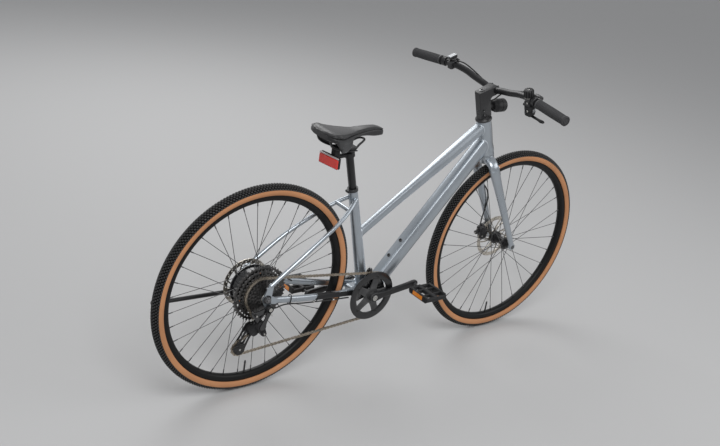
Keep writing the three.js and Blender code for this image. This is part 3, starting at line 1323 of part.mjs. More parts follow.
function kickstandLeg() {
  const eye = kickstandPivot.clone().setY(KICKSTAND_Y);
  const half = kickstandAxis.clone().multiplyScalar(KICKSTAND_EYE_LENGTH / 2);
  const back = v3(-1, 0, KICKSTAND_RISE_SHARE).projectOnPlane(kickstandAxis).normalize();
  const tip = eye.clone().addScaledVector(back, KICKSTAND_LENGTH);
  const ankle = eye.clone().addScaledVector(back, KICKSTAND_LENGTH * 0.88);
  const barrel = rod(eye.clone().sub(half), eye.clone().add(half), KICKSTAND_EYE_RADIUS);
  const bore = rod(
    eye.clone().addScaledVector(half, -2),
    eye.clone().addScaledVector(half, 2),
    KICKSTAND_PIN_RADIUS + RUNNING_GAP,
  );
  const leg = rod(eye.clone().addScaledVector(back, KICKSTAND_PIN_RADIUS * 1.6), tip, KICKSTAND_RADIUS);
  const foot = rod(ankle, tip, KICKSTAND_RADIUS, SMALL_FACETS, KICKSTAND_RADIUS * 1.4);
  return cut(join(barrel, leg, foot), bore);
}

// Rear brake and cables that the frame holds

function rearCaliper() {
  const out = ROTOR_RADIUS * 0.84;
  const centre = rearAxle.clone().add(v3(out * 0.9, REAR_ROTOR_Y, out * 0.36));
  const half = v3(CALIPER_HALF_LENGTH, CALIPER_HALF_WIDTH, CALIPER_HALF_DEPTH);
  const body = block(centre.clone().sub(half), centre.clone().add(half));
  const footLow = v3(centre.x - half.x * 0.7, REAR_ROTOR_Y + ROTOR_THICKNESS * 2, stayStart.z);
  const footHigh = v3(centre.x + half.x * 0.7, STAY_END_Y, centre.z);
  const slotHalf = ROTOR_THICKNESS / 2 + RUNNING_GAP * 2;
  const slot = rodAcross(
    rearAxle,
    REAR_ROTOR_Y - slotHalf,
    REAR_ROTOR_Y + slotHalf,
    ROTOR_RADIUS + OVERRUN / 2,
    ROUND_FACETS,
  );
  const stay = mirrored(chainStayTube(GAP));
  return cut(join(body, block(footLow, footHigh)), slot, stay, mirrored(dropoutBlank(GAP)));
}

function rearBrakeHose() {
  const x = rearAxle.x + ROTOR_RADIUS * 0.84 * 0.9 + CALIPER_HALF_LENGTH + GAP;
  const z = rearAxle.z + ROTOR_RADIUS * 0.84 * 0.36;
  const y = REAR_ROTOR_Y;
  const reach = CALIPER_HALF_LENGTH;
  const points = [
    v3(x, y, z),
    v3(x + reach / 2, y, z),
    v3(x + reach * 1.4, y - HOSE_RADIUS, z - reach * 0.45),
    v3(x + reach * 2.4, y - HOSE_RADIUS * 2, z - reach * 1.35),
    v3(x + reach * 3, y - HOSE_RADIUS * 3, stayStart.z - reach / 2),
  ];
  return cut(hose(points, HOSE_RADIUS, 14), mirrored(chainStayTube(GAP)));
}

// Along the underside of the right chain stay, from the bottom bracket to the derailleur
function derailleurCable() {
  const end = hangerBolt.clone().setY(-REAR_DROPOUT_Y - DROPOUT_THICKNESS - KNUCKLE_RADIUS / 2);
  const drop = CHAIN_STAY_FOOT_HALF_HEIGHT + HOSE_RADIUS + GAP * 2;
  const under = (share, yShare) => {
    const point = stayStart.clone().lerp(bottomBracket, share);
    return v3(point.x, -STAY_END_Y * yShare, point.z - drop);
  };
  const points = [
    under(0.8, 0.5),
    under(0.56, 0.72),
    under(0.3, 0.93),
    under(0.1, 1.03),
    end.clone().add(v3(KNUCKLE_RADIUS * 1.6, 0, 0)),
    end.clone().add(v3(KNUCKLE_RADIUS * 0.8 + GAP, 0, 0)),
  ];
  return hose(points, HOSE_RADIUS, 24);
}

function addRearFittings() {
  add("kickstand_leg", kickstandLeg(), BLACK_ALLOY);
  add("rear_caliper", rearCaliper(), BLACK_ALLOY);
  add("rear_brake_hose", rearBrakeHose(), HOSE_BLACK);
  add("derailleur_cable", derailleurCable(), HOSE_BLACK);
}

// Steering: everything here is built in the steering frame, with x ahead of the axis and z along it

const headsetTop = headTopHeight + GAP + HEADSET_COVER_HEIGHT;
const stemFoot = headsetTop + GAP;
const stemTop = stemFoot + STEM_HEIGHT;
const axleInSteering = v3(FORK_RAKE, 0, -FORK_LENGTH);
const barCentre = v3(STEM_REACH, 0, stemTop - BAR_CLAMP_DROP);
const BAR_Y_SHARES = [0, 0.06, 0.12, 0.24, 0.36, 0.5, 0.63, 1];
const BAR_RISE_SHARES = [0, 0.02, 0.15, 0.37, 0.67, 0.93, 1, 0.78];
const BAR_SWEEP_SHARES = [0, 0, 0.05, 0.05, 0, -0.45, -1, -1.67];

const barPoint = (i, side, halfWidth = BAR_HALF_WIDTH) =>
  v3(
    barCentre.x + BAR_SWEEP * BAR_SWEEP_SHARES[i],
    side * halfWidth * BAR_Y_SHARES[i],
    barCentre.z + BAR_RISE * BAR_RISE_SHARES[i],
  );

function barStations() {
  const shares = BAR_Y_SHARES.map((_, i) => i);
  return [...shares.slice(1).reverse().map((i) => [i, -1]), ...shares.map((i) => [i, 1])];
}

function handlebar(grow = 0, length = BAR_HALF_WIDTH - GRIP_END_WALL - GAP) {
  const rings = barStations().map(([i, side]) => {
    return oval(barPoint(i, side, length), v3(1, 0, 0), v3(0, 0, 1), BAR_RADIUS + grow, BAR_RADIUS + grow);
  });
  return skin(rings);
}

// The bar's centre at a distance out along Y
function onBar(y) {
  const share = Math.abs(y) / BAR_HALF_WIDTH;
  const i = BAR_Y_SHARES.findLastIndex((s) => s < share);
  const place = (share - BAR_Y_SHARES[i]) / (BAR_Y_SHARES[i + 1] - BAR_Y_SHARES[i]);
  return barPoint(i, Math.sign(y)).lerp(barPoint(i + 1, Math.sign(y)), place);
}

const barCollar = (y0, y1, radius, facets = ROUND_FACETS) => rod(onBar(y0), onBar(y1), radius, facets);

function fork() {
  const steerer = rod(
    v3(0, 0, -CROWN_HEIGHT / 2),
    v3(0, 0, stemTop - STEM_CORNER * 2),
    STEERER_RADIUS,
    ROUND_FACETS,
  );
  const base = rod(
    v3(0, 0, -CROWN_HEIGHT * 0.9),
    v3(0, 0, -GAP),
    HEAD_TUBE_FOOT_RADIUS * 0.9,
    ROUND_FACETS,
    HEAD_TUBE_FOOT_RADIUS,
  );
  const axle = rodAcross(
    axleInSteering,
    -BLADE_END_Y - BLADE_END_HALF_WIDTH,
    BLADE_END_Y + BLADE_END_HALF_WIDTH,
    FRONT_AXLE_RADIUS,
  );
  const ends = [-1, 1].map((side) =>
    rodAcross(
      axleInSteering,
      side * (FRONT_HUB_HALF_WIDTH + GAP),
      side * (BLADE_END_Y + BLADE_END_HALF_WIDTH - GAP),
      FORK_END_RADIUS,
    ),
  );
  return join(steerer, base, forkCrown(), forkBlade(-1), forkBlade(1), ...ends, axle);
}

const BLADE_SHARES = [0, 0.2, 0.6, 1];

// The two shoulders, as one arch from blade to blade
function forkCrown() {
  const arch = [
    [-1, -CROWN_HEIGHT * 1.75, 0.8],
    [-0.86, -CROWN_HEIGHT * 0.95, 1],
    [0, -CROWN_HEIGHT * 0.45, 1.25],
    [0.86, -CROWN_HEIGHT * 0.95, 1],
    [1, -CROWN_HEIGHT * 1.75, 0.8],
  ];
  const rings = arch.map(([share, z, size], i) => {
    const lean = [90, 50, 0, -50, -90][i] * DEGREE;
    const up = v3(0, -Math.sin(lean), Math.cos(lean));
    const x = -FORK_SET_BACK * Math.abs(share);
    return oval(
      v3(x, BLADE_TOP_Y * share, z),
      v3(1, 0, 0),
      up,
      BLADE_TOP_HALF_DEPTH * size,
      BLADE_TOP_HALF_WIDTH * size,
      2.4,
    );
  });
  return skin(rings);
}

function forkBlade(side, grow = 0) {
  const top = v3(-FORK_SET_BACK, 0, -CROWN_HEIGHT * 1.4);
  const low = axleInSteering.clone().add(v3(0, 0, FORK_END_RADIUS / 2));
  const points = BLADE_SHARES.map((share) => {
    const point = top.clone().lerp(low, share);
    point.y = side * mix(BLADE_TOP_Y, BLADE_END_Y, share);
    return point;
  });
  const widths = [BLADE_TOP_HALF_WIDTH + grow, BLADE_END_HALF_WIDTH + grow];
  const depths = [BLADE_TOP_HALF_DEPTH + grow, BLADE_END_HALF_DEPTH + grow];
  return tube(points, widths, depths, { power: 2.4, steps: 4 });
}

function headsetCover() {
  const low = headTopHeight + GAP;
  const cover = rod(v3(0, 0, low), v3(0, 0, headsetTop), HEADSET_COVER_RADIUS, ROUND_FACETS);
  const skirt = rod(
    v3(0, 0, low - HEADSET_SKIRT_LENGTH),
    v3(0, 0, low + GAP),
    HEAD_TUBE_BORE_RADIUS - HEADSET_SKIRT_GAP,
    ROUND_FACETS,
  );
  const bore = rod(v3(0, 0, 0), v3(0, 0, headsetTop + OVERRUN), STEERER_RADIUS + GAP, ROUND_FACETS);
  return cut(join(cover, skirt), bore);
}

function lowerBearing() {
  const race = rod(v3(0, 0, GAP), v3(0, 0, GAP + BEARING_RACE_HEIGHT), HEAD_TUBE_FOOT_RADIUS, ROUND_FACETS);
  const ring = rod(v3(0, 0, GAP), v3(0, 0, HEADSET_SKIRT_LENGTH), HEAD_TUBE_BORE_RADIUS - GAP, ROUND_FACETS);
  const bore = rod(
    v3(0, 0, -OVERRUN),
    v3(0, 0, HEADSET_SKIRT_LENGTH + OVERRUN),
    STEERER_RADIUS + GAP,
    ROUND_FACETS,
  );
  return cut(join(race, ring), bore);
}

function stem() {
  const back = -STEM_HALF_DEPTH;
  const nose = STEM_REACH + BAR_RADIUS + STEM_FACE_WALL;
  const armLow = stemTop - STEM_ARM_HEIGHT;
  const outline = [
    v2(back, stemFoot),
    v2(STEM_HALF_DEPTH, stemFoot),
    v2(STEM_HALF_DEPTH, armLow - STEM_CORNER * 3),
    v2(STEM_HALF_DEPTH + STEM_CORNER, armLow - STEM_CORNER),
    v2(STEM_HALF_DEPTH + STEM_CORNER * 3, armLow),
    v2(nose - STEM_CORNER, armLow),
    v2(nose, armLow + STEM_CORNER),
    v2(nose, stemTop - STEM_CORNER),
    v2(nose - STEM_CORNER, stemTop),
    v2(back + STEM_CORNER / 2, stemTop),
    v2(back, stemTop - STEM_CORNER / 2),
  ];
  const blank = plate(outline, -STEM_NOSE_HALF_WIDTH, STEM_NOSE_HALF_WIDTH);
  const half = [
    v2(back - OVERRUN, STEM_HALF_WIDTH * 0.6),
    v2(back * 0.6, STEM_HALF_WIDTH),
    v2(STEM_HALF_DEPTH, STEM_HALF_WIDTH),
    v2(STEM_REACH, STEM_NOSE_HALF_WIDTH),
    v2(nose + OVERRUN, STEM_NOSE_HALF_WIDTH),
  ];
  const waist = slab([...half.map((p) => v2(p.x, -p.y)), ...half.reverse()], 0, stemTop + OVERRUN);
  const body = blank.intersect(waist);
  const bore = rod(
    v3(0, 0, 0),
    v3(0, 0, stemTop - STEM_CORNER * 2 + GAP),
    STEERER_RADIUS + GAP,
    ROUND_FACETS,
  );
  return cut(body, bore, handlebar(GAP));
}

function grip(side) {
  const start = side * (BAR_HALF_WIDTH - GRIP_LENGTH);
  return cut(barCollar(start, side * BAR_HALF_WIDTH, GRIP_RADIUS), handlebar(GAP));
}

const controlY = BAR_HALF_WIDTH - GRIP_LENGTH - CONTROL_COLLAR_LENGTH;
const shifterY = controlY - SHIFTER_INBOARD;
const displayY = controlY - DISPLAY_INBOARD;
const leverOut = v3(Math.cos(LEVER_DROP_ANGLE * DEGREE), 0, -Math.sin(LEVER_DROP_ANGLE * DEGREE));
const leverUp = v3(-leverOut.z, 0, leverOut.x);
const leverPivot = (side) => onBar(side * controlY).addScaledVector(leverOut, LEVER_REACH);

const reservoirStart = (side) => onBar(side * controlY).add(v3(RESERVOIR_REACH, 0, 0));
const reservoirEnd = (side) => onBar(side * (controlY - RESERVOIR_LENGTH)).add(v3(RESERVOIR_REACH, 0, 0));

// The clamp, the fluid reservoir and the arm that carries the lever's pin
function brakePerch(side) {
  const half = CONTROL_COLLAR_LENGTH / 2;
  const collar = barCollar(side * (controlY - half), side * (controlY + half), CONTROL_COLLAR_RADIUS);
  const pivot = leverPivot(side);
  const under = pivot.clone().addScaledVector(leverUp, -LEVER_HALF_THICKNESS - GAP);
  const armEnd = under.clone().addScaledVector(leverUp, -LEVER_HALF_THICKNESS);
  const seat = rod(armEnd, under, LEVER_PIN_RADIUS * 3);
  const armStart = onBar(side * controlY).addScaledVector(leverOut, BAR_RADIUS + OVERRUN / 2);
  const arm = rod(
    armStart.addScaledVector(leverUp, -LEVER_HALF_THICKNESS * 1.5),
    armEnd,
    LEVER_HALF_THICKNESS,
  );
  const pin = rod(armEnd, pivot.clone().addScaledVector(leverUp, LEVER_HALF_THICKNESS), LEVER_PIN_RADIUS);
  const tank = reservoirStart(side);
  const reservoir = rod(tank, reservoirEnd(side), RESERVOIR_RADIUS);
  const neck = rod(tank.clone().add(v3(-RESERVOIR_REACH / 2, 0, 0)), tank, LEVER_HALF_THICKNESS);
  return cut(join(collar, seat, arm, pin, neck, reservoir), handlebar(GAP));
}

function brakeLever(side) {
  const pivot = leverPivot(side);
  const half = LEVER_HALF_THICKNESS;
  const low = pivot.clone().addScaledVector(leverUp, -half);
  const high = pivot.clone().addScaledVector(leverUp, half);
  const eye = rod(low, high, LEVER_PIN_RADIUS * 2.6);
  const bore = rod(
    pivot.clone().addScaledVector(leverUp, -half * 2),
    pivot.clone().addScaledVector(leverUp, half * 2),
    LEVER_PIN_RADIUS + RUNNING_GAP,
  );
  const at = (out, ahead) =>
    pivot.clone()
      .add(v3(0, side * LEVER_LENGTH * out, 0))
      .addScaledVector(leverOut, LEVER_HALF_THICKNESS * ahead);
  const points = [at(0.05, 0), at(0.3, 1.4), at(0.7, 0), at(1, -0.8)];
  const curve = new THREE.CatmullRomCurve3(points);
  const rings = [];
  for (let i = 0; i <= 5; i++) {
    rings.push(oval(curve.getPoint(i / 5), leverOut, leverUp, half * 1.5, half * 0.9, 2, 8));
  }
  return cut(join(eye, skin(rings)), bore);
}

const shifterPivot = onBar(-shifterY).add(v3(-SHIFTER_BEHIND, -SHIFTER_OUTSET, -SHIFTER_DROP));

function shifterPod() {
  const half = CONTROL_COLLAR_LENGTH / 2;
  const collar = barCollar(-shifterY - half, -shifterY + half, CONTROL_COLLAR_RADIUS);
  const window = onBar(-shifterY).add(v3(-OVERRUN, 0, 0));
  const dome = rod(window, window.clone().add(v3(0, 0, SHIFTER_WINDOW_RISE)), SHIFTER_RADIUS, ROUND_FACETS);
  const low = shifterPivot.clone().add(v3(0, 0, -SHIFTER_HALF_HEIGHT));
  const high = shifterPivot.clone().add(v3(0, 0, SHIFTER_HALF_HEIGHT));
  const drum = rod(low, high, SHIFTER_RADIUS, ROUND_FACETS);
  const pinEnd = low.clone().add(v3(0, 0, -SHIFT_LEVER_THICKNESS * 2 - GAP * 4));
  const pin = rod(pinEnd, low, LEVER_PIN_RADIUS);
  return cut(join(collar, dome, drum, pin), handlebar(GAP));
}

// A paddle under the shifter's drum, from its pin to a thumb pad
function shiftPaddle(level, tip, width) {
  const z = shifterPivot.z - SHIFTER_HALF_HEIGHT - GAP - level * (SHIFT_LEVER_THICKNESS + GAP);
  const eye = v3(shifterPivot.x, shifterPivot.y, z);
  const end = eye.clone().add(tip);
  const low = v3(0, 0, -SHIFT_LEVER_THICKNESS);
  const disc = rod(eye, eye.clone().add(low), LEVER_PIN_RADIUS * 2.6);
  const across = tip.clone().cross(v3(0, 0, 1)).setLength(width / 2);
  const corners = [eye, end].map((p) => p.clone().add(across));
  corners.push(...[end, eye].map((p) => p.clone().sub(across)));
  const blade = slab(corners.map((p) => v2(p.x, p.y)), z - SHIFT_LEVER_THICKNESS, z);
  const pad = rod(end, end.clone().add(low), width * 0.7);
  const bore = rod(eye.clone().sub(low), eye.clone().addScaledVector(low, 2), LEVER_PIN_RADIUS + RUNNING_GAP);
  return cut(join(disc, blade, pad), bore);
}

function displayHousing() {
  const half = CONTROL_COLLAR_LENGTH / 2;
  const collar = barCollar(displayY - half, displayY + half, CONTROL_COLLAR_RADIUS);
  const seat = onBar(displayY).add(v3(0, 0, CONTROL_COLLAR_RADIUS + DISPLAY_STAND));
  const size = v3(DISPLAY_WIDTH / 2, DISPLAY_LENGTH / 2, 0);
  const box = block(seat.clone().sub(size), seat.clone().add(size).add(v3(0, 0, DISPLAY_THICKNESS)));
  const neck = rod(onBar(displayY), seat.clone().add(v3(0, 0, OVERRUN)), CONTROL_COLLAR_LENGTH / 2);
  const button = displayButtonAt();
  const recess = rod(
    button.clone().add(v3(-OVERRUN, 0, 0)),
    button.clone().add(v3(BUTTON_DEPTH + BUTTON_TRAVEL, 0, 0)),
    BUTTON_RADIUS + RUNNING_GAP,
  );
  return cut(join(collar, neck, box), handlebar(GAP), recess);
}

const displayButtonAt = () => {
  const rise = CONTROL_COLLAR_RADIUS + DISPLAY_STAND + DISPLAY_THICKNESS / 2;
  return onBar(displayY).add(v3(-DISPLAY_WIDTH / 2, 0, rise));
};

function displayButton() {
  const at = displayButtonAt();
  return rod(
    at.clone().add(v3(-BUTTON_TRAVEL, 0, 0)),
    at.clone().add(v3(BUTTON_DEPTH - GAP, 0, 0)),
    BUTTON_RADIUS,
  );
}

const levelAhead = v3(Math.sin(HEAD_ANGLE * DEGREE), 0, -Math.cos(HEAD_ANGLE * DEGREE));
const lightCentre = v3(HEADLIGHT_ADVANCE, 0, HEADLIGHT_RISE);

function headlightHousing() {
  const half = HEADLIGHT_LENGTH / 2;
  const back = lightCentre.clone().addScaledVector(levelAhead, -half);
  const front = lightCentre.clone().addScaledVector(levelAhead, half);
  const shoulder = back.clone().addScaledVector(levelAhead, half / 2);
  const bodyBack = shoulder.clone().addScaledVector(levelAhead, -HEADLIGHT_BEZEL / 2);
  const body = rod(bodyBack, front, HEADLIGHT_RADIUS, ROUND_FACETS);
  const tail = rod(back, shoulder, HEADLIGHT_RADIUS * 0.75, ROUND_FACETS, HEADLIGHT_RADIUS);
  const recess = rod(
    front.clone().addScaledVector(levelAhead, -HEADLIGHT_BEZEL * 2),
    front.clone().addScaledVector(levelAhead, OVERRUN),
    HEADLIGHT_RADIUS - HEADLIGHT_BEZEL / 2,
    ROUND_FACETS,
  );
  const armStart = v3(STEM_HALF_DEPTH + GAP, 0, HEADLIGHT_RISE + HEADLIGHT_RADIUS / 2);
  const pad = block(
    armStart.clone().sub(v3(0, HEADLIGHT_RADIUS / 3, HEADLIGHT_RADIUS / 3)),
    armStart.clone().add(v3(HEADLIGHT_BEZEL, HEADLIGHT_RADIUS / 3, HEADLIGHT_RADIUS / 3)),
  );
  const arm = rod(armStart.clone().add(v3(HEADLIGHT_BEZEL / 2, 0, 0)), shoulder, HEADLIGHT_RADIUS / 3);
  return cut(join(body, tail, pad, arm), recess);
}

function headlightLens() {
  const front = lightCentre.clone().addScaledVector(levelAhead, HEADLIGHT_LENGTH / 2 - HEADLIGHT_BEZEL);
  const back = front.clone().addScaledVector(levelAhead, -HEADLIGHT_BEZEL + GAP);
  return rod(back, front, HEADLIGHT_RADIUS - HEADLIGHT_BEZEL / 2 - GAP, ROUND_FACETS);
}

function frontCaliper() {
  const centre = axleInSteering.clone().add(v3(-FRONT_CALIPER_BEHIND, FRONT_ROTOR_Y, FRONT_CALIPER_RISE));
  const half = v3(CALIPER_HALF_DEPTH, CALIPER_HALF_WIDTH, CALIPER_HALF_LENGTH);
  const body = block(centre.clone().sub(half), centre.clone().add(half));
  const slotHalf = ROTOR_THICKNESS / 2 + RUNNING_GAP * 2;
  const slot = rodAcross(
    axleInSteering,
    FRONT_ROTOR_Y - slotHalf,
    FRONT_ROTOR_Y + slotHalf,
    ROTOR_RADIUS + OVERRUN / 2,
    ROUND_FACETS,
  );
  const foot = block(
    v3(centre.x, FRONT_ROTOR_Y + slotHalf + GAP, centre.z - half.z * 0.8),
    v3(axleInSteering.x - BLADE_END_HALF_DEPTH, BLADE_END_Y, centre.z + half.z * 0.8),
  );
  return cut(join(body, foot), slot, forkBlade(1, GAP));
}

// Every hose and cable of the bar ends in one grommet on the stem, and the front brake's goes on to the crown
function barHoses() {
  const collar = v3(STEM_HALF_DEPTH + GAP, 0, stemTop - STEM_ARM_HEIGHT - STEM_CORNER * 3);
  const half = GROMMET_HALF_SIZE;
  const grommet = block(
    collar.clone().sub(v3(0, half, half)),
    collar.clone().add(v3(half, half, 0)),
  );
  const middle = collar.clone().add(v3(half / 2, 0, -half / 2));
  const runs = [-1, 1].map((side) => {
    const start = reservoirEnd(side).add(v3(0, -side * GAP, 0));
    return hose(
      [
        start,
        start.clone().add(v3(HOSE_RADIUS, -side * RESERVOIR_LENGTH, -HOSE_RADIUS)),
        v3(nose(1.3), side * STEM_HALF_WIDTH * 2.4, barCentre.z - BAR_RADIUS / 2),
        v3(nose(0.9), side * STEM_HALF_WIDTH * 1.3, barCentre.z - BAR_RADIUS * 1.9),
        v3(middle.x + half * 2, side * half, middle.z),
        v3(middle.x, (side * half) / 2, middle.z),
      ],
      HOSE_RADIUS,
      22,
    );
  });
  const clear = HEADSET_COVER_RADIUS + HOSE_RADIUS + GAP * 2;
  const dodge = HEADLIGHT_RADIUS / 3 + HOSE_RADIUS * 2;
  const down = hose(
    [
      v3(middle.x, half / 2, middle.z),
      v3(clear - HOSE_RADIUS, dodge, mix(middle.z, headsetTop, 0.4)),
      v3(clear, dodge / 2, headsetTop),
      v3(clear, 0, headTopHeight * 0.75),
      v3(clear, 0, headFootHeight + HEAD_TUBE_FOOT_HEIGHT),
      v3(clear + HOSE_RADIUS, 0, 0),
      v3(HEAD_TUBE_FOOT_RADIUS, 0, -CROWN_HEIGHT * 0.6),
    ],
    HOSE_RADIUS,
    26,
  );
  return cut(join(grommet, ...runs, down), forkGrown(), handlebar(GAP));
}

const nose = (share) => STEM_REACH + BAR_RADIUS * share;

function forkGrown() {
  const grown = HEAD_TUBE_FOOT_RADIUS + GAP;
  return join(rod(v3(0, 0, -CROWN_HEIGHT), v3(0, 0, GAP), grown, ROUND_FACETS), forkCrown());
}

function addSteering() {
  const steering = groupAt(crown);
  steering.rotation.y = (HEAD_ANGLE - 90) * DEGREE;
  add("fork", fork(), PAINT, steering);
  add("headset_cover", headsetCover(), BLACK_ALLOY, steering);
  add("headset_lower_bearing", lowerBearing(), BLACK_ALLOY, steering);
  add("stem", stem(), BLACK_ALLOY, steering);
  add("handlebar", handlebar(), BLACK_ALLOY, steering);
  add("right_grip", grip(-1), GRIP_RUBBER, steering);
  add("left_grip", grip(1), GRIP_RUBBER, steering);
  add("right_brake_perch", brakePerch(-1), BLACK_ALLOY, steering);
  add("left_brake_perch", brakePerch(1), BLACK_ALLOY, steering);
  add("right_brake_lever", brakeLever(-1), BLACK_ALLOY, steering);
  add("left_brake_lever", brakeLever(1), BLACK_ALLOY, steering);
  add("shifter_pod", shifterPod(), BLACK_PLASTIC, steering);
  const thumb = v3(-SHIFTER_RADIUS * 0.4, -SHIFT_LEVER_LENGTH, 0);
  const finger = v3(SHIFTER_RADIUS + RELEASE_LEVER_LENGTH, RELEASE_LEVER_LENGTH, 0);
  add("shift_lever", shiftPaddle(0, thumb, SHIFT_LEVER_WIDTH), BLACK_PLASTIC, steering);
  add("release_lever", shiftPaddle(1, finger, SHIFT_LEVER_WIDTH * 0.8), BLACK_PLASTIC, steering);
  add("display", displayHousing(), GLOSS_BLACK, steering);
  add("display_button", displayButton(), BLACK_PLASTIC, steering);
  add("headlight_housing", headlightHousing(), BLACK_PLASTIC, steering);
  add("headlight_lens", headlightLens(), CLEAR_LENS, steering);
  add("front_caliper", frontCaliper(), BLACK_ALLOY, steering);
  add("bar_hoses", barHoses(), HOSE_BLACK, steering);
}

addFrame();
addWheels();
addDriveTrain();
addSaddle();
addRearFittings();
addSteering();

export default bike;
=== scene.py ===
# A step-through pedal-assist bicycle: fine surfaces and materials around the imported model.
# Pieces are shaped in millimetres, with x ahead, y to the left and z up, and made in metres.
import math

import bmesh
import bpy
from mathutils import Matrix, Vector
from mathutils.geometry import tessellate_polygon


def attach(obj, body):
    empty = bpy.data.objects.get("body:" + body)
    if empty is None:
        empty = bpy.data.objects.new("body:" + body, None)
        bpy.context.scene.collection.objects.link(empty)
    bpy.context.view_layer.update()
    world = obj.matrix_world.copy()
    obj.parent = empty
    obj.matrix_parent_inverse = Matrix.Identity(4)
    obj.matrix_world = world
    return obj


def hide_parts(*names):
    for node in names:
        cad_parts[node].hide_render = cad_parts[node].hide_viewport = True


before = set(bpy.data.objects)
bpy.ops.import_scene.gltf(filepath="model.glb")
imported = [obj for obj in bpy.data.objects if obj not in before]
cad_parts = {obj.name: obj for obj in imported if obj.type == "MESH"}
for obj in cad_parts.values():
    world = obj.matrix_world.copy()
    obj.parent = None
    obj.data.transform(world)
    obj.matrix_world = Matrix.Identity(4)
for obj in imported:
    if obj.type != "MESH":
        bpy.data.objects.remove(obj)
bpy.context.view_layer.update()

MM = 0.001
TURN = 2 * math.pi
MERGE_DISTANCE = 0.000001
BEVEL_ANGLE = math.radians(40)
SIDES = ((-1, "right"), (1, "left"))


def v(x, y, z):
    return Vector((x, y, z))


def mix(a, b, share):
    return a + (b - a) * share


def polar(radius, angle, x=0.0, z=0.0):
    return x + radius * math.cos(angle), z + radius * math.sin(angle)


def turns(count, shift=0.0):
    """Evenly spaced angles round a circle."""
    return [TURN * (i + shift) / count for i in range(count)]


def ahead_at(angle):
    """A direction in the side view, turned from straight ahead towards the top."""
    return v(math.cos(angle), 0, math.sin(angle))


def top_at(angle):
    """A direction in the side view, turned from the top towards straight ahead."""
    return v(math.sin(angle), 0, math.cos(angle))


# Main points, the same as the model's

ORIGIN = v(0, 0, 0)
AHEAD = v(1, 0, 0)
ACROSS = v(0, 1, 0)
UP = v(0, 0, 1)
HEAD_ANGLE = math.radians(70.5)
SEAT_ANGLE = math.radians(73.8)
REAR_AXLE = v(-533.5, 0, 350)
FRONT_AXLE = v(533.5, 0, 350)
BRACKET = v(-98, 0, 270)
SEAT_AXIS = v(-math.cos(SEAT_ANGLE), 0, math.sin(SEAT_ANGLE))
STEER_AXIS = v(-math.cos(HEAD_ANGLE), 0, math.sin(HEAD_ANGLE))
STEER_AHEAD = v(STEER_AXIS.z, 0, -STEER_AXIS.x)
CROWN = FRONT_AXLE - 44 * STEER_AHEAD + 395 * STEER_AXIS
STEERING = Matrix.Translation(CROWN) @ Matrix.Rotation(HEAD_ANGLE - TURN / 4, 4, "Y")
SEAT_TUBE_TOP = 384
HEAD_FOOT = 4.6
HEAD_TOP = HEAD_FOOT + 132
CRANK_ANGLE = math.radians(7)
CRANK_LENGTH = 170
CHAIN_PITCH = 12.7
CHAINLINE_Y = -47
COG_CHAIN_Y = -41.52
GUIDE_PULLEY = REAR_AXLE + v(-29, COG_CHAIN_Y, -107)
TENSION_PULLEY = GUIDE_PULLEY + v(-33, 0, -67)


def on_steer(height):
    return CROWN + STEER_AXIS * height


def on_seat(height, ahead=0):
    return BRACKET + SEAT_AXIS * height + v(SEAT_AXIS.z, 0, -SEAT_AXIS.x) * ahead


# Camera, at the photograph's view

CAMERA_TURNS = (-40.9886, 23.210, 9.4597)
CAMERA_PLACE = (-2.2616, -2.4263, 1.8970)
CAMERA_LENS = 54.28


def add_camera():
    azimuth, elevation, roll = (math.radians(a) for a in CAMERA_TURNS)
    level = math.cos(elevation)
    back = v(math.sin(azimuth) * level, -math.cos(azimuth) * level, math.sin(elevation))
    right = UP.cross(back).normalized()
    over = back.cross(right)
    side = math.cos(roll) * right + math.sin(roll) * over
    top = -math.sin(roll) * right + math.cos(roll) * over
    data = bpy.data.cameras.new("camera")
    data.sensor_width = 36
    data.lens = CAMERA_LENS
    camera = bpy.data.objects.new("camera", data)
    turn = Matrix((side, top, back)).transposed().to_4x4()
    camera.matrix_world = Matrix.Translation(CAMERA_PLACE) @ turn
    bpy.context.collection.objects.link(camera)
    bpy.context.scene.camera = camera


add_camera()


# Shapes


def catmull(points, share):
    """A point and a heading on the smooth line through points, as the model's tubes follow it."""
    last = len(points) - 1
    place = last * share
    i = min(int(place), last - 1)
    weight = place - i
    p1, p2 = points[i], points[i + 1]
    p0 = points[i - 1] if i > 0 else points[0] * 2 - points[1]
    p3 = points[i + 2] if i + 2 <= last else points[last] * 2 - points[last - 1]
    d0, d1, d2 = ((b - a).length ** 0.5 for a, b in ((p0, p1), (p1, p2), (p2, p3)))
    t1 = ((p1 - p0) / d0 - (p2 - p0) / (d0 + d1) + (p2 - p1) / d1) * d1
    t2 = ((p2 - p1) / d1 - (p3 - p1) / (d1 + d2) + (p3 - p2) / d2) * d1
    c2 = -3 * p1 + 3 * p2 - 2 * t1 - t2
    c3 = 2 * p1 - 2 * p2 + t1 + t2
    at = p1 + t1 * weight + c2 * weight**2 + c3 * weight**3
    heading = t1 + 2 * c2 * weight + 3 * c3 * weight**2
    return at, heading.normalized()


def along(values, share):
    """A number, or the value at a share of an evenly spaced list."""
    if isinstance(values, (int, float)):
        return values
    place = share * (len(values) - 1)
    i = min(int(place), len(values) - 2)
    return mix(values[i], values[i + 1], place - i)


def squared(axis, heading):
    """The part of an axis that is square to a heading."""
    return (axis - heading * heading.dot(axis)).normalized()


def square_to(axis):
    """Two directions square to an axis and to each other."""
    other = UP if abs(axis.normalized().z) < 0.9 else AHEAD
    side = axis.cross(other).normalized()
    return side, axis.normalized().cross(side)


def oval(centre, side, up, half_side, half_up, power, count):
    """A ring of points, round at a power of 2 and squarer above it."""
    ring = []
    for angle in turns(count, 0.5):
        c, s = math.cos(angle), math.sin(angle)
        a = math.copysign(abs(c) ** (2 / power), c) * half_side
        b = math.copysign(abs(s) ** (2 / power), s) * half_up
        ring.append(centre + side * a + up * b)
    return ring


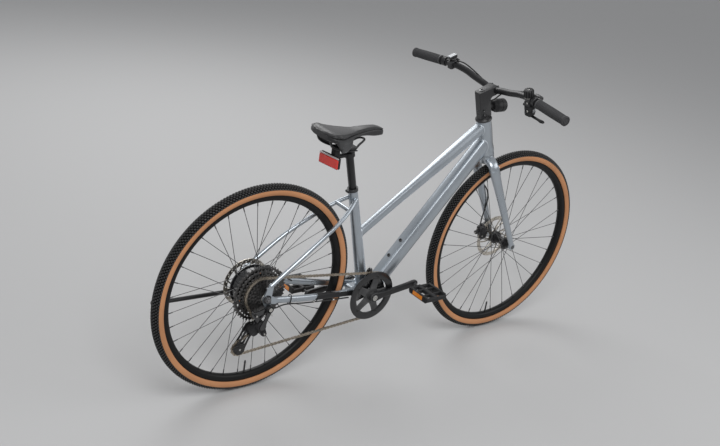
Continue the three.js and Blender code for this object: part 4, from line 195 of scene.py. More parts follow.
def circle(radius, count, x=0.0, z=0.0):
    return [polar(radius, angle, x, z) for angle in turns(count)]


def ring_section(inner, outer, low, high, inset=0.0, drop=0.0):
    """The section of a ring for the lathe; inset and drop cut its outer edges."""
    if not inset:
        return [(inner, low), (outer, low), (outer, high), (inner, high)]
    cut = outer - inset
    return [(inner, low), (cut, low), (outer, low + drop), (outer, high - drop), (cut, high), (inner, high)]


def link_outline(a, radius_a, b, radius_b, steps=14, waist=0.0):
    """The outline round two circles in the side view, drawn in at its waist."""
    heading = math.atan2(b.z - a.z, b.x - a.x)
    lean = math.acos((radius_a - radius_b) / math.hypot(b.z - a.z, b.x - a.x))
    narrow = (radius_a + radius_b) / 2 - waist
    points = []
    for at, radius, start, sweep, turn in (
        (a, radius_a, heading + lean, TURN - 2 * lean, heading - TURN / 4),
        (b, radius_b, heading - lean, 2 * lean, heading + TURN / 4),
    ):
        points += [polar(radius, start + sweep * i / steps, at.x, at.z) for i in range(steps + 1)]
        if waist:
            points.append(polar(narrow, turn, (a.x + b.x) / 2, (a.z + b.z) / 2))
    return points


class Shape:
    """Gathers faces in millimetres, in a frame of its own, until they become one piece of a body."""

    def __init__(self, body="frame", place=None):
        self.body = body
        self.place = place or Matrix()
        self.points = []
        self.faces = []

    def add(self, points, faces):
        start = len(self.points)
        self.points += [self.place @ Vector(p) for p in points]
        self.faces += [[start + i for i in face] for face in faces]
        return self

    def skin(self, rings, looped=False):
        """Joins rings of points, and caps both ends unless the last ring meets the first."""
        count = len(rings[0])
        faces = []
        for i in range(len(rings) if looped else len(rings) - 1):
            low = i * count
            high = ((i + 1) % len(rings)) * count
            for j in range(count):
                k = (j + 1) % count
                faces.append([low + j, low + k, high + k, high + j])
        if not looped:
            last = (len(rings) - 1) * count
            faces.append(list(range(count))[::-1])
            faces.append([last + j for j in range(count)])
        return self.add([p for ring in rings for p in ring], faces)

    def tube(self, points, widths, heights, power, steps, sides, level=ACROSS):
        """A tube along a smooth line; level is the direction that its width keeps to."""
        rings = []
        for i in range(steps + 1):
            share = i / steps
            at, heading = catmull(points, share)
            side = squared(level, heading)
            size = along(widths, share), along(heights, share)
            rings.append(oval(at, side, heading.cross(side), *size, power, sides))
        return self.skin(rings)

    def hose(self, points, radius, steps=40, sides=12):
        """A round wire whose section is carried along without twist."""
        side = square_to(catmull(points, 0)[1])[0]
        rings = []
        for i in range(steps + 1):
            at, heading = catmull(points, i / steps)
            side = squared(side, heading)
            rings.append(oval(at, side, heading.cross(side), radius, radius, 2, sides))
        return self.skin(rings)

    def turned(self, stations, axis, sides, looped=False):
        """Round rings square to an axis, each with its centre and radius."""
        side, up = square_to(axis)
        return self.skin([oval(at, side, up, r, r, 2, sides) for at, r in stations], looped)

    def lathe(self, profile, at=ORIGIN, axis=ACROSS, sides=48, closed=True):
        """Turns points of radius and height about an axis; a closed profile makes a ring."""
        return self.turned([(at + axis * h, r) for r, h in profile], axis, sides, closed)

    def rod(self, a, b, radius, end=None, sides=20, chamfer=0.0):
        """A round bar from a to b; end is its radius at b."""
        end = radius if end is None else end
        axis = (b - a).normalized()
        stations = [(a, radius), (b, end)]
        if chamfer:
            stations = [
                (a, radius - chamfer), (a + axis * chamfer, radius),
                (b - axis * chamfer, end), (b, end - chamfer),
            ]
        return self.turned(stations, axis, sides)

    def across(self, at, y0, y1, radius, sides=24, chamfer=0.0):
        return self.rod(v(at.x, y0, at.z), v(at.x, y1, at.z), radius, sides=sides, chamfer=chamfer)

    def plate(self, outline, y0, y1, holes=(), at=ORIGIN):
        """A flat plate in the side view, with holes."""
        loops = [outline, *holes]
        count = sum(len(loop) for loop in loops)
        points = [at + v(x, y, z) for y in (y0, y1) for loop in loops for x, z in loop]
        faces = []
        for a, b, c in tessellate_polygon([[v(x, z, 0) for x, z in loop] for loop in loops]):
            faces += [[a, b, c], [count + c, count + b, count + a]]
        start = 0
        for loop in loops:
            for i in range(len(loop)):
                j = (i + 1) % len(loop)
                faces.append([start + i, start + j, count + start + j, count + start + i])
            start += len(loop)
        return self.add(points, faces)

    def blocks(self, origin, *boxes):
        """Boxes, each from its low corner to its high corner, with edges cut by a chamfer."""
        for low, high, chamfer in boxes:
            low, high = origin + v(*low), origin + v(*high)
            middle = (low + high) / 2
            half = (high - low) / 2
            c = min(chamfer, half.x * 0.9, half.y * 0.9, half.z * 0.9)
            rings = []
            for z, inset in ((-half.z, c), (-half.z + c, 0), (half.z - c, 0), (half.z, c)):
                x, y = half.x - inset, half.y - inset
                ring = []
                for i, (sx, sy) in enumerate(((1, 1), (-1, 1), (-1, -1), (1, -1))):
                    pair = [v(sx * (x - c), sy * y, z), v(sx * x, sy * (y - c), z)]
                    ring += pair if i % 2 else pair[::-1]
                rings.append([middle + p for p in ring])
            self.skin(rings)
        return self

    def bolt(self, at, axis, radius, height, sides=16):
        """A round screw head with a socket."""
        axis = axis.normalized()
        side, up = square_to(axis)
        socket = radius * 0.5
        outer = [(radius, 0), (radius, height * 0.75), (radius * 0.88, height), (socket, height)]
        rings = [oval(at + axis * h, side, up, r, r, 2, sides) for r, h in outer]
        rings.append([p - axis * height * 0.7 for p in rings[-1]])
        return self.skin(rings)

    def bead(self, loop, radius, pitch=4.0):
        """A weld or a coil: a small rippled ridge along a closed line."""
        dense = []
        for i, point in enumerate(loop):
            following = loop[(i + 1) % len(loop)]
            steps = max(1, round((following - point).length / (pitch / 4)))
            dense += [point.lerp(following, k / steps) for k in range(steps)]
        centre = sum(loop, v(0, 0, 0)) / len(loop)
        rings = []
        for i, point in enumerate(dense):
            heading = (dense[(i + 1) % len(dense)] - dense[i - 1]).normalized()
            out = squared((point - centre).normalized(), heading)
            size = radius * (1 + 0.12 * math.sin(TURN * i / 4))
            rings.append(oval(point, out, heading.cross(out), size, size, 2, 8))
        return self.skin(rings, looped=True)

    def piece(self, name, material, node=None, slot=None, sharp=32, bevel=0.0):
        """Makes the piece, in place of a node of the model where one is named."""
        mesh = bpy.data.meshes.new(name)
        work = bmesh.new()
        corners = [work.verts.new(p * MM) for p in self.points]
        for face in self.faces:
            if len(set(face)) > 2:
                try:
                    work.faces.new([corners[i] for i in face])
                except ValueError:
                    continue
        bmesh.ops.remove_doubles(work, verts=work.verts, dist=MERGE_DISTANCE)
        bmesh.ops.dissolve_degenerate(work, edges=work.edges, dist=MERGE_DISTANCE)
        bmesh.ops.recalc_face_normals(work, faces=work.faces)
        work.to_mesh(mesh)
        work.free()
        mesh.shade_smooth()
        mesh.set_sharp_from_angle(angle=math.radians(sharp))
        mesh.materials.append(material)
        thing = bpy.data.objects.new(name, mesh)
        bpy.context.collection.objects.link(thing)
        if bevel:
            rounding = thing.modifiers.new("edges", "BEVEL")
            rounding.width = bevel * MM
            rounding.segments = 2
            rounding.limit_method = "ANGLE"
            rounding.angle_limit = BEVEL_ANGLE
            rounding.harden_normals = True
        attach(thing, self.body)
        if node:
            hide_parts(node)
        return thing


# Materials

COAT_ROUGHNESS = 0.08
BROAD_GRAIN = 9
RELIEF_DEPTH = 0.0003
PATTERN_STRENGTH = 0.8


def add_node(tree, kind, **values):
    """A shader node; each value goes to the input of its name, and a socket is linked to it."""
    node = tree.nodes.new(kind)
    for name, value in values.items():
        socket = node.inputs[name.replace("_", " ")]
        if isinstance(value, bpy.types.NodeSocket):
            tree.links.new(value, socket)
        else:
            socket.default_value = value
    return node


def add_noise(tree, place, scale, detail):
    return add_node(tree, "ShaderNodeTexNoise", Vector=place, Scale=scale, Detail=detail).outputs["Fac"]


def add_range(tree, value, low, high, start=0.3, end=0.7):
    ends = {"From_Min": start, "From_Max": end, "To_Min": low, "To_Max": high}
    return add_node(tree, "ShaderNodeMapRange", Value=value, **ends).outputs["Result"]


def add_mix(tree, share, first, second):
    node = tree.nodes.new("ShaderNodeMix")
    node.data_type = "RGBA"
    tree.links.new(share, node.inputs["Factor"])
    for socket, colour in ((node.inputs[6], first), (node.inputs[7], second)):
        if isinstance(colour, tuple):
            socket.default_value = (*colour, 1)
        else:
            tree.links.new(colour, socket)
    return node.outputs[2]


def add_pattern(tree, place, kind, scale):
    """A raised pattern: pebbled leather, crossed cords or the rings of a ground disc."""
    if kind == "pebble":
        node = add_node(tree, "ShaderNodeTexVoronoi", Vector=place, Scale=scale)
        node.feature = "SMOOTH_F1"
        return node.outputs["Distance"]
    node = add_node(tree, "ShaderNodeTexWave", Vector=place, Scale=scale)
    if kind == "rings":
        node.wave_type = "RINGS"
        node.rings_direction = "Y"
    else:
        node.bands_direction = "DIAGONAL"
    return node.outputs["Fac"]


def add_bump(tree, height, strength, depth, **values):
    values.update(Height=height, Strength=strength, Distance=depth)
    return add_node(tree, "ShaderNodeBump", **values).outputs["Normal"]


def finish(
    name, slot, colour, rough, grain, metal=0.0, coat=0.0, spread=0.15, bump=0.08, wear=0.0,
    pattern=None, sheen=0.0, transmission=0.0, centre=None, specular=0.5,
):
    """A material whose colour, roughness and relief vary over the surface."""
    material = bpy.data.materials.new(name)
    material.use_nodes = True
    tree = material.node_tree
    shader = tree.nodes["Principled BSDF"]
    for label, value in (
        ("Metallic", metal), ("Coat Weight", coat), ("Coat Roughness", COAT_ROUGHNESS),
        ("Sheen Weight", sheen), ("Transmission Weight", transmission), ("Specular IOR Level", specular),
    ):
        shader.inputs[label].default_value = value
    place = tree.nodes.new("ShaderNodeTexCoord").outputs["Object"]
    if centre is not None:
        place = add_node(tree, "ShaderNodeMapping", Vector=place, Location=-centre * MM).outputs["Vector"]
    fine = add_noise(tree, place, grain, 4)
    broad = add_noise(tree, place, BROAD_GRAIN, 2)
    dark = tuple(c * (1 - spread) for c in colour)
    light = tuple(min(1, c * (1 + spread)) for c in colour)
    tone = add_mix(tree, add_range(tree, broad, 0, 1), dark, light)
    speckle = add_mix(tree, add_range(tree, fine, 0, 0.5), tone, light)
    if wear:
        pointed = tree.nodes.new("ShaderNodeNewGeometry").outputs["Pointiness"]
        edge = add_range(tree, pointed, 0, wear, 0.52, 0.6)
        speckle = add_mix(tree, edge, speckle, tuple(min(1, c * 2 + 0.12) for c in colour))
    tree.links.new(speckle, shader.inputs["Base Color"])
    roughness = add_range(tree, broad, max(0.02, rough * 0.85), min(1, rough * 1.2))
    tree.links.new(roughness, shader.inputs["Roughness"])
    normal = add_bump(tree, fine, bump, RELIEF_DEPTH)
    if pattern:
        kind, scale, depth = pattern
        raised = add_pattern(tree, place, kind, scale)
        normal = add_bump(tree, raised, PATTERN_STRENGTH, depth, Normal=normal)
    tree.links.new(normal, shader.inputs["Normal"])
    return material


def add_disc_steel(label, centre):
    look = {"metal": 1.0, "pattern": ("rings", 190, 0.00006), "centre": centre}
    return finish(f"{label}_disc_steel", "rotor_steel", (0.52, 0.48, 0.42), 0.3, 900, **look)


PAINT = finish(
    "silver_blue_paint", "frame_paint", (0.42, 0.46, 0.50), 0.3, 2600, metal=0.9, coat=0.45, spread=0.06,
    bump=0.05,
)
# The frame paint made lighter for the weld beads: painted highlight on the beads.
LIT_WELD_PAINT = finish(
    "weld_paint_painted_highlight", "frame_paint", (0.55, 0.59, 0.63), 0.28, 900, metal=0.85, coat=0.5, spread=0.08,
)
BLACK_ALLOY = finish(
    "black_alloy", "black_alloy", (0.009, 0.009, 0.010), 0.34, 900, coat=0.12, wear=0.5, specular=0.35,
)
GLOSS_BLACK = finish(
    "gloss_black", "motor_shell", (0.006, 0.006, 0.007), 0.12, 600, coat=0.8, bump=0.03, wear=0.3,
)
PLASTIC = finish(
    "black_plastic", "black_plastic", (0.011, 0.011, 0.012), 0.45, 1500, bump=0.3, wear=0.2, specular=0.3,
)
RUBBER = finish(
    "tread_rubber", "tyre", (0.016, 0.016, 0.016), 0.55, 700, bump=0.35, spread=0.3, wear=0.2, specular=0.3,
)
# The bed between the tread knobs is the knobs' rubber made darker and duller: painted shade in the gaps.
SHADED_BED_RUBBER = finish(
    "tread_bed_painted_shade", "tyre", (0.003, 0.003, 0.003), 0.8, 700, bump=0.2, spread=0.3, specular=0.1,
)
RIM_BLACK = finish("rim_black", "black_alloy", (0.006, 0.006, 0.006), 0.42, 900, specular=0.2, coat=0.04)
GRIP = finish(
    "grip_rubber", "grip_rubber", (0.032, 0.032, 0.034), 0.7, 900, bump=0.3, pattern=("cords", 70, 0.0006),
)
HOSE = finish("hose_black", "hose_rubber", (0.01, 0.01, 0.01), 0.38, 1200, bump=0.1)
TAN_WALL = finish(
    "tan_side_wall", "tyre", (0.50, 0.235, 0.11), 0.62, 700, bump=0.25, spread=0.12,
    pattern=("cords", 420, 0.0001), specular=0.3,
)
STEEL_DARK = finish("dark_steel", "axle_steel", (0.16, 0.16, 0.165), 0.35, 800, metal=0.9, wear=0.3)
CHAIN_STEEL = finish(
    "chain_steel", "chain_steel", (0.30, 0.26, 0.21), 0.38, 1200, metal=0.9, spread=0.3, wear=0.4,
)
COG_STEEL = finish(
    "cog_steel", "cassette_steel", (0.035, 0.033, 0.032), 0.3, 900, metal=0.8, spread=0.35, wear=0.4,
)
STEEL_BLACK = finish("blackened_steel", "axle_steel", (0.03, 0.03, 0.03), 0.32, 900, metal=0.8, wear=0.3)
BOLT_STEEL = finish("bolt_steel", "axle_steel", (0.45, 0.44, 0.42), 0.28, 900, metal=1.0, wear=0.3)
COPPER = finish("copper_ring", "cassette_steel", (0.55, 0.20, 0.07), 0.34, 900, metal=0.9)
FRONT_DISC = add_disc_steel("front", FRONT_AXLE)
REAR_DISC = add_disc_steel("rear", REAR_AXLE)
LEATHER = finish(
    "saddle_skin", "saddle_skin", (0.012, 0.012, 0.013), 0.4, 500, bump=0.25, sheen=0.08,
    pattern=("pebble", 900, 0.00025),
)
STITCH = finish("stitching", "saddle_skin", (0.03, 0.03, 0.03), 0.6, 1800, bump=0.4)
RED = finish(
    "red_lens", "red_lens", (0.62, 0.03, 0.02), 0.16, 120, coat=0.6, bump=0.05,
    pattern=("pebble", 260, 0.0006),
)
SMOKE = finish("smoked_strip", "clear_lens", (0.42, 0.37, 0.37), 0.3, 300, coat=0.4)
SCREEN = finish(
    "display_screen", "clear_lens", (0.40, 0.42, 0.44), 0.3, 60, coat=0.3, spread=0.02, bump=0.01,
)
AMBER = finish(
    "amber_reflector", "clear_lens", (0.85, 0.26, 0.02), 0.2, 200, coat=0.6,
    pattern=("pebble", 420, 0.0006),
)
CLEAR = finish("lamp_glass", "clear_lens", (0.62, 0.65, 0.68), 0.12, 300, coat=0.5, transmission=0.55)
MIRROR = finish("reflector_bowl", "clear_lens", (0.72, 0.74, 0.76), 0.12, 300, metal=1.0, bump=0.02)
BUTTON = finish("button_grey", "button_plastic", (0.1, 0.1, 0.105), 0.4, 600)
GUARD = finish("chain_guard_black", "black_alloy", (0.010, 0.010, 0.011), 0.26, 700, metal=0.15, coat=0.35)


# Frame

TOP_FROM = on_seat(216)
TOP_TO = on_steer(HEAD_TOP - 22)
TOP_WIDTHS = (12.5, 12.5, 19, 19)
TOP_HEIGHTS = (12, 15.2, 18.5)
DOWN_FOOT = BRACKET + v(30, 0, -10)
DOWN_HEAD = on_steer(HEAD_FOOT + 49)
DOWN_SIZE = (24, 25)
STAY_Y = 66
STAY_START = REAR_AXLE + v(31.5, -STAY_Y, -10.5)
STAY_HEIGHTS = (10.5, 10.5, 13)
SEAT_STAY_FOOT = REAR_AXLE + v(10.5, 0, 42)
SEAT_STAY_HEAD = on_seat(SEAT_TUBE_TOP - 26.25)
HANGER = REAR_AXLE + v(7.5, 0, -30)
STAND_AXIS = v(0, math.cos(math.radians(12)), math.sin(math.radians(12)))
STAND_EYE = REAR_AXLE + v(0, 85, -46)
PRESSED_CORNERS = (
    (0.0, 1.0), (0.5, 0.99), (0.76, 0.9), (0.93, 0.62), (1.0, 0.25), (0.985, -0.15), (0.94, -0.5),
    (0.8, -0.82), (0.52, -0.98), (0.0, -1.0),
)


def line_frame(a, b):
    """The heading of a tube in the side view, and the direction of its upper face."""
    heading = (b - a).normalized()
    over = heading.cross(ACROSS).normalized()
    return heading, over if over.z > 0 else -over


def pressed_ring(centre, over, half_side, half_up):
    """The pressed section of the top and down tubes: flat above and below, with faceted sides."""
    outline = [*PRESSED_CORNERS, *((-a, b) for a, b in reversed(PRESSED_CORNERS[1:-1]))]
    return [centre + ACROSS * a * half_side - over * b * half_up for a, b in outline]


def to_cylinder(point, heading, base, axis, radius):
    """Where a line leaves a tube's surface, coming back along the heading."""
    across = point - base
    a = heading - axis * heading.dot(axis)
    b = across - axis * across.dot(axis)
    under = a.dot(b) ** 2 - a.dot(a) * (b.dot(b) - radius**2)
    if under < 0:
        return point
    return point + heading * ((-a.dot(b) - math.sqrt(under)) / a.dot(a))


def pressed_tube(a, b, widths, heights, steps=24, cope=0):
    """A pressed tube; cope is the radius around the seat axis that its foot is cut to."""
    heading, over = line_frame(a, b)
    rings = []
    for size in (0.04, 0.5, 1) if cope else ():
        foot = pressed_ring(a + heading * 60, over, widths[0] * size, heights[0] * size)
        rings.append([to_cylinder(p, -heading, BRACKET, SEAT_AXIS, cope) for p in foot])
    for i in range(2 if cope else 0, steps + 1):
        share = i / steps
        rings.append(pressed_ring(a.lerp(b, share), over, along(widths, share), along(heights, share)))
    return Shape().skin(rings)


def add_head_tube():
    profile = [(20, HEAD_FOOT), (27.2, HEAD_FOOT), (28, HEAD_FOOT + 1.2)]
    profile += [(28 - 3 * (i / 6) ** 1.5, HEAD_FOOT + 5 + 3.6 * i) for i in range(7)]
    profile += [(r, HEAD_TOP - down) for r, down in ((25, 8), (25.6, 6), (25.6, 0.6), (25, 0), (20, 0))]
    Shape().lathe(profile, CROWN, STEER_AXIS, 64).piece("head_tube_skin", PAINT, "head_tube")
    race = Shape().lathe([(15, 0.4), (27.4, 0.4), (28, 1.2), (28, 4.3), (15, 4.3)], CROWN, STEER_AXIS, 64)
    race.piece("lower_race", PAINT, "headset_lower_bearing", slot="black_alloy")


def add_seat_tube():
    radii = [21, mix(21, 17.5, 2 / 3), 17.5, mix(17.5, 15.4, 0.5), 15.4]
    profile = [(along(radii, i / 32), SEAT_TUBE_TOP * i / 32) for i in range(33)]
    profile += [(13.1, SEAT_TUBE_TOP), (13.1, 300)]
    tube = Shape().lathe(profile, BRACKET, SEAT_AXIS, 40, closed=False)
    tube.lathe(ring_section(13, 22, -36.5, 36.5, 1, 1), BRACKET, sides=56)
    tube.piece("seat_tube_skin", PAINT, "seat_tube")
    cups = Shape()
    for side, _ in SIDES:
        profile = ((12.6, 36.7), (20.5, 36.7), (20.5, 41), (19, 42.5), (12.6, 42.5))
        cups.lathe([(r, side * y) for r, y in profile], BRACKET)
        for angle in turns(16):
            cups.across(BRACKET + ahead_at(angle) * 20, side * 39 - 2, side * 39 + 2, 1.3, 8)
    cups.piece("bearing_cups", BLACK_ALLOY)


def add_main_tubes():
    top = pressed_tube(TOP_FROM, TOP_TO, TOP_WIDTHS, TOP_HEIGHTS, 32, cope=14.6)
    top.piece("top_tube_skin", PAINT, "top_tube", sharp=30)
    down = pressed_tube(DOWN_FOOT, DOWN_HEAD, *([size, size] for size in DOWN_SIZE))
    down.piece("down_tube_skin", PAINT, "down_tube", sharp=30)
    _, over = line_frame(DOWN_FOOT, DOWN_HEAD)
    fittings = Shape()
    for share in (0.205, 0.304):
        fittings.bolt(DOWN_FOOT.lerp(DOWN_HEAD, share) + over * 24.6, over, 6, 4.2, 24)
    fittings.piece("bottle_bolts", BLACK_ALLOY)
    at = DOWN_FOOT.lerp(DOWN_HEAD, 0.075) - over * 24.4
    port = Shape().lathe([(0.5, 0), (9, 0), (9, 2), (7.5, 2.8), (0.5, 2.8)], at, -over, 32)
    port.piece("charge_port_cap", PLASTIC)


def add_welds():
    shape = Shape()
    for a, b, back, size, base, axis, radius, bead in (
        (TOP_FROM, TOP_TO, 60, (19, 18.5), CROWN, STEER_AXIS, 25.3, 2.4),
        (TOP_TO, TOP_FROM, 60, (12.5, 12), BRACKET, SEAT_AXIS, 17.2, 2.2),
        (DOWN_FOOT, DOWN_HEAD, 90, DOWN_SIZE, CROWN, STEER_AXIS, 25.6, 2.6),
        (DOWN_HEAD, DOWN_FOOT, 30, DOWN_SIZE, BRACKET, ACROSS, 22.2, 2.6),
    ):
        heading, over = line_frame(a, b)
        ring = pressed_ring(b - heading * back, over, *size)
        shape.bead([to_cylinder(p, heading, base, axis, radius) for p in ring], bead)
    shape.bead(oval(on_seat(23), *square_to(SEAT_AXIS), 20.6, 20.6, 2, 28), 2.2)
    # The beads take the lighter paint: painted highlight.
    shape.piece("weld_beads", LIT_WELD_PAINT, sharp=60)


def stay_points(side):
    end = BRACKET + v(0, 0, 5.5)
    points = []
    for share, wide in ((0, 1), (0.3, 0.93), (0.56, 0.72), (0.78, 0.52), (1, 0.4)):
        at = STAY_START.lerp(end, share)
        points.append(v(at.x, side * STAY_Y * wide, at.z))
    return points


def seat_stay_points(side):
    foot, head = SEAT_STAY_FOOT, SEAT_STAY_HEAD
    shares = ((0, 0, 1), (0.4, 0.43, 0.95), (0.78, 0.78, 0.68), (0.92, 0.92, 0.42), (1, 1, 0.2))
    return [v(mix(foot.x, head.x, a), side * 70 * c, mix(foot.z, head.z, b)) for a, b, c in shares]


def add_dropout(shape, side):
    y0, y1 = side * 67.5, side * 73.5
    hole = circle(6.3, 24, REAR_AXLE.x, REAR_AXLE.z)
    shape.plate(link_outline(REAR_AXLE, 14.7, STAY_START, 10.5), y0, y1, [hole])
    upper = link_outline(REAR_AXLE, 14.7, SEAT_STAY_FOOT, 9.5)
    shape.plate(upper, y0 + side * 0.2, y1 - side * 0.2, [hole])
    shape.across(REAR_AXLE + v(-1, 0, 35), side * 66, side * 75, 4.5, chamfer=0.6)


def add_stays():
    for side, label in SIDES:
        stay = Shape().tube(stay_points(side), 7.5, STAY_HEIGHTS, 2.8, 40, 28)
        add_dropout(stay, side)
        if side < 0:
            stay.plate(link_outline(REAR_AXLE, 15, HANGER, 9), -73.5, -67.5)
        else:
            stay.plate(link_outline(REAR_AXLE, 15, STAND_EYE, 11), 67.5, 73.5)
            stay.rod(STAND_EYE - STAND_AXIS * 17, STAND_EYE - STAND_AXIS * 8.8, 11, chamfer=0.8)
            stay.rod(STAND_EYE - STAND_AXIS * 17, STAND_EYE + STAND_AXIS * 8.8, 4.9)
        stay.piece(f"{label}_chain_stay_skin", PAINT, f"{label}_chain_stay", bevel=0.5)
        slim = Shape().tube(seat_stay_points(side), 6.8, 6.8, 2, 48, 24)
        if side > 0:
            bend, head = seat_stay_points(1)[2:4]
            at = bend.lerp(head, 0.75)
            slim.across(at, at.y, -at.y, 7)
        slim.piece(f"{label}_seat_stay_skin", PAINT, f"{label}_seat_stay")


def add_stay_fittings():
    points = stay_points(-1)
    rings = []
    for i in range(25):
        share = mix(0.34, 0.86, i / 24)
        at, heading = catmull(points, share)
        side = squared(ACROSS, heading)
        up = heading.cross(side)
        tall = along(STAY_HEIGHTS, share)
        taper = 0.9 if i in (0, 24) else 1.0
        ring = oval(at, side, up, 8.1 * taper, (tall + 0.8) * taper, 2.8, 28)
        rings.append([p if (p - at).dot(up) < tall * -0.05 else at + (p - at) * 0.93 for p in ring])
    Shape().skin(rings).piece("chain_stay_guard", PLASTIC)
    Shape().blocks(ORIGIN, ((-158, -20, 262), (-112, 20, 292), 4)).piece("stay_yoke", PAINT, bevel=1.5)
    ties = Shape()
    for share in (0.12, 0.36):
        at, heading = catmull(points, share)
        side = squared(ACROSS, heading)
        ties.bead(oval(at, side, heading.cross(side), 8.6, 15.5, 2.8, 28), 1.4, 3)
    ties.piece("cable_ties", PLASTIC)


def add_seat_collar():
    shape = Shape().lathe(ring_section(13, 17.7, 384.3, 395.3, 0.5, 0.7), BRACKET, SEAT_AXIS)
    middle = on_seat(389.8, -19.5)
    shape.across(middle, -7, 7, 5, 24, 0.8)
    shape.across(middle, -8.5, 9.5, 2.6, 16)
    shape.piece("seat_clamp_ring", BLACK_ALLOY, "seat_collar", bevel=0.4)


add_head_tube()
add_seat_tube()
add_main_tubes()
add_welds()
add_stays()
add_stay_fittings()
add_seat_collar()


# Wheels

FRONT_SPOKES = 32
REAR_SPOKES = 36
TYRE_MIDDLE = 329
KNOB_PITCHES = 210
KNOB_HEIGHTS = ((18.0, 1.1), (20.3, 0.98), (20.97, 0.8))
KNOB_ROWS = (
    (-0.16, 0.11, 0.0, 0.56), (0.16, 0.11, 0.5, 0.56), (-0.49, 0.11, 0.5, 0.52), (0.49, 0.11, 0.0, 0.52),
    (-0.82, 0.11, 0.0, 0.52), (0.82, 0.11, 0.5, 0.52), (-1.15, 0.12, 0.5, 0.6), (1.15, 0.12, 0.0, 0.6),
)
SPOKE_END = 294
SPOKE_RADIUS = 1.05
NIPPLE_LENGTH = 13
RIM_HALF = (
    (296, 0), (296.5, 5), (299, 9), (303, 12.2), (308, 13.2), (316.6, 13.4), (317.3, 13), (317.4, 11.4),
    (311.5, 11.2), (306, 6), (305.5, 0),
)


def wheel_point(centre, turn, lean, size):
    """A point on the tyre: turn goes round the wheel, and lean round the tyre's own section."""
    out = top_at(turn) * (TYRE_MIDDLE + size * math.cos(lean))
    return centre + out + v(0, size * math.sin(lean), 0)


def tyre_arc(size, degrees, side=1):
    leans = [math.radians(a) for a in degrees]
    return [(TYRE_MIDDLE + size * math.cos(a), side * size * math.sin(a)) for a in leans]


def add_tyre(label, centre):
    body = f"{label}_wheel"
    crown = range(-76, 77, 8)
    # The bed under the knobs takes the darker rubber: painted shade between the knobs.
    bed = Shape(body).lathe(tyre_arc(18.4, crown) + tyre_arc(16.4, crown[::-1]), centre, sides=144)
    bed.piece(f"{label}_tread_bed", SHADED_BED_RUBBER)
    tread = Shape(body)
    for i in range(KNOB_PITCHES):
        for lean, half, shift, long in KNOB_ROWS:
            middle = TURN * (i + shift) / KNOB_PITCHES
            reach = TURN * long / KNOB_PITCHES / 2
            skew = 0.25 * math.copysign(reach, lean)
            rings = []
            for size, shrink in KNOB_HEIGHTS:
                ring = []
                for a, b in ((-1, -1), (1, -1), (1, 1), (-1, 1)):
                    turn = middle + a * reach * shrink + b * skew
                    ring.append(wheel_point(centre, turn, lean + b * half * shrink, size))
                rings.append(ring)
            tread.skin(rings)
    tread.piece(f"{label}_tread", RUBBER, f"{label}_tyre", sharp=30)
    walls = Shape(body)
    leans = range(72, 127, 6)
    for side, _ in SIDES:
        foot = [(317.8, side * 13.0), (317.8, side * 11.0)]
        walls.lathe(tyre_arc(19.5, leans, side) + foot + tyre_arc(17, leans[::-1], side), centre, sides=144)
    walls.piece(f"{label}_side_walls", TAN_WALL, sharp=60)


def add_rim(label, centre, count):
    body = f"{label}_wheel"
    shape = Shape(body)
    shape.lathe([*RIM_HALF, *((r, -y) for r, y in reversed(RIM_HALF[1:-1]))], centre, sides=144)
    for angle in turns(count, 0.5):
        out = top_at(angle)
        shape.rod(centre + out * 295.2, centre + out * 297, 3.4, sides=10)
    shape.piece(f"{label}_rim_hoop", RIM_BLACK, f"{label}_rim")
    valve = Shape(body)
    for start, end, radius, tip, sides in (
        (296, 292, 4, 4, 6), (297, 262, 2.9, 2.9, 14), (264, 256, 3.6, 2.4, 14),
    ):
        valve.rod(centre - UP * start, centre - UP * end, radius, tip, sides)
    valve.piece(f"{label}_valve", PLASTIC)


def add_spokes(label, centre, count, hole_radius, flanges, lacing):
    """Crossed spokes with their heads and nipples; lacing is the turn from nipple to head in degrees."""
    shape = Shape(f"{label}_wheel")
    for i, angle in enumerate(turns(count, 0.5)):
        flange = flanges[i % 2]
        lean = 1 if (i // 2) % 2 else -1
        head = centre + top_at(angle + lean * math.radians(lacing)) * hole_radius
        head.y += flange + lean * 2
        end = centre + top_at(angle) * SPOKE_END
        end.y += math.copysign(1.6, flange)
        shape.rod(head, end, SPOKE_RADIUS, sides=8)
        heading = (end - head).normalized()
        shape.rod(end - heading * NIPPLE_LENGTH, end, 1.9, sides=8, chamfer=0.4)
        shape.rod(head - v(0, lean * 3.2, 0), head + v(0, lean * 0.6, 0), 1.7, sides=10)
    shape.piece(f"{label}_spokes", BLACK_ALLOY)


def add_front_hub():
    shell = Shape("front_wheel").lathe(
        [
            (6.5, -49.6), (9.4, -49.6), (10, -49), (11, -40), (14, -31), (15, -28.6), (23.2, -28.5),
            (24, -27.8), (24, -24.2), (23.2, -23.5), (17, -23), (14.4, -17), (13.6, 0), (14.4, 17),
            (17, 23), (23.2, 23.5), (24, 24.2), (24, 27.8), (23.2, 28.5), (19, 28.8), (19, 38.1),
            (14, 38.3), (14, 41.4), (10.5, 41.6), (10, 49.5), (6.5, 49.6),
        ],
        FRONT_AXLE,
    )
    shell.piece("front_hub_shell", BLACK_ALLOY, "front_hub")
    add_spokes("front", FRONT_AXLE, FRONT_SPOKES, 20, (-26, 26), 62)


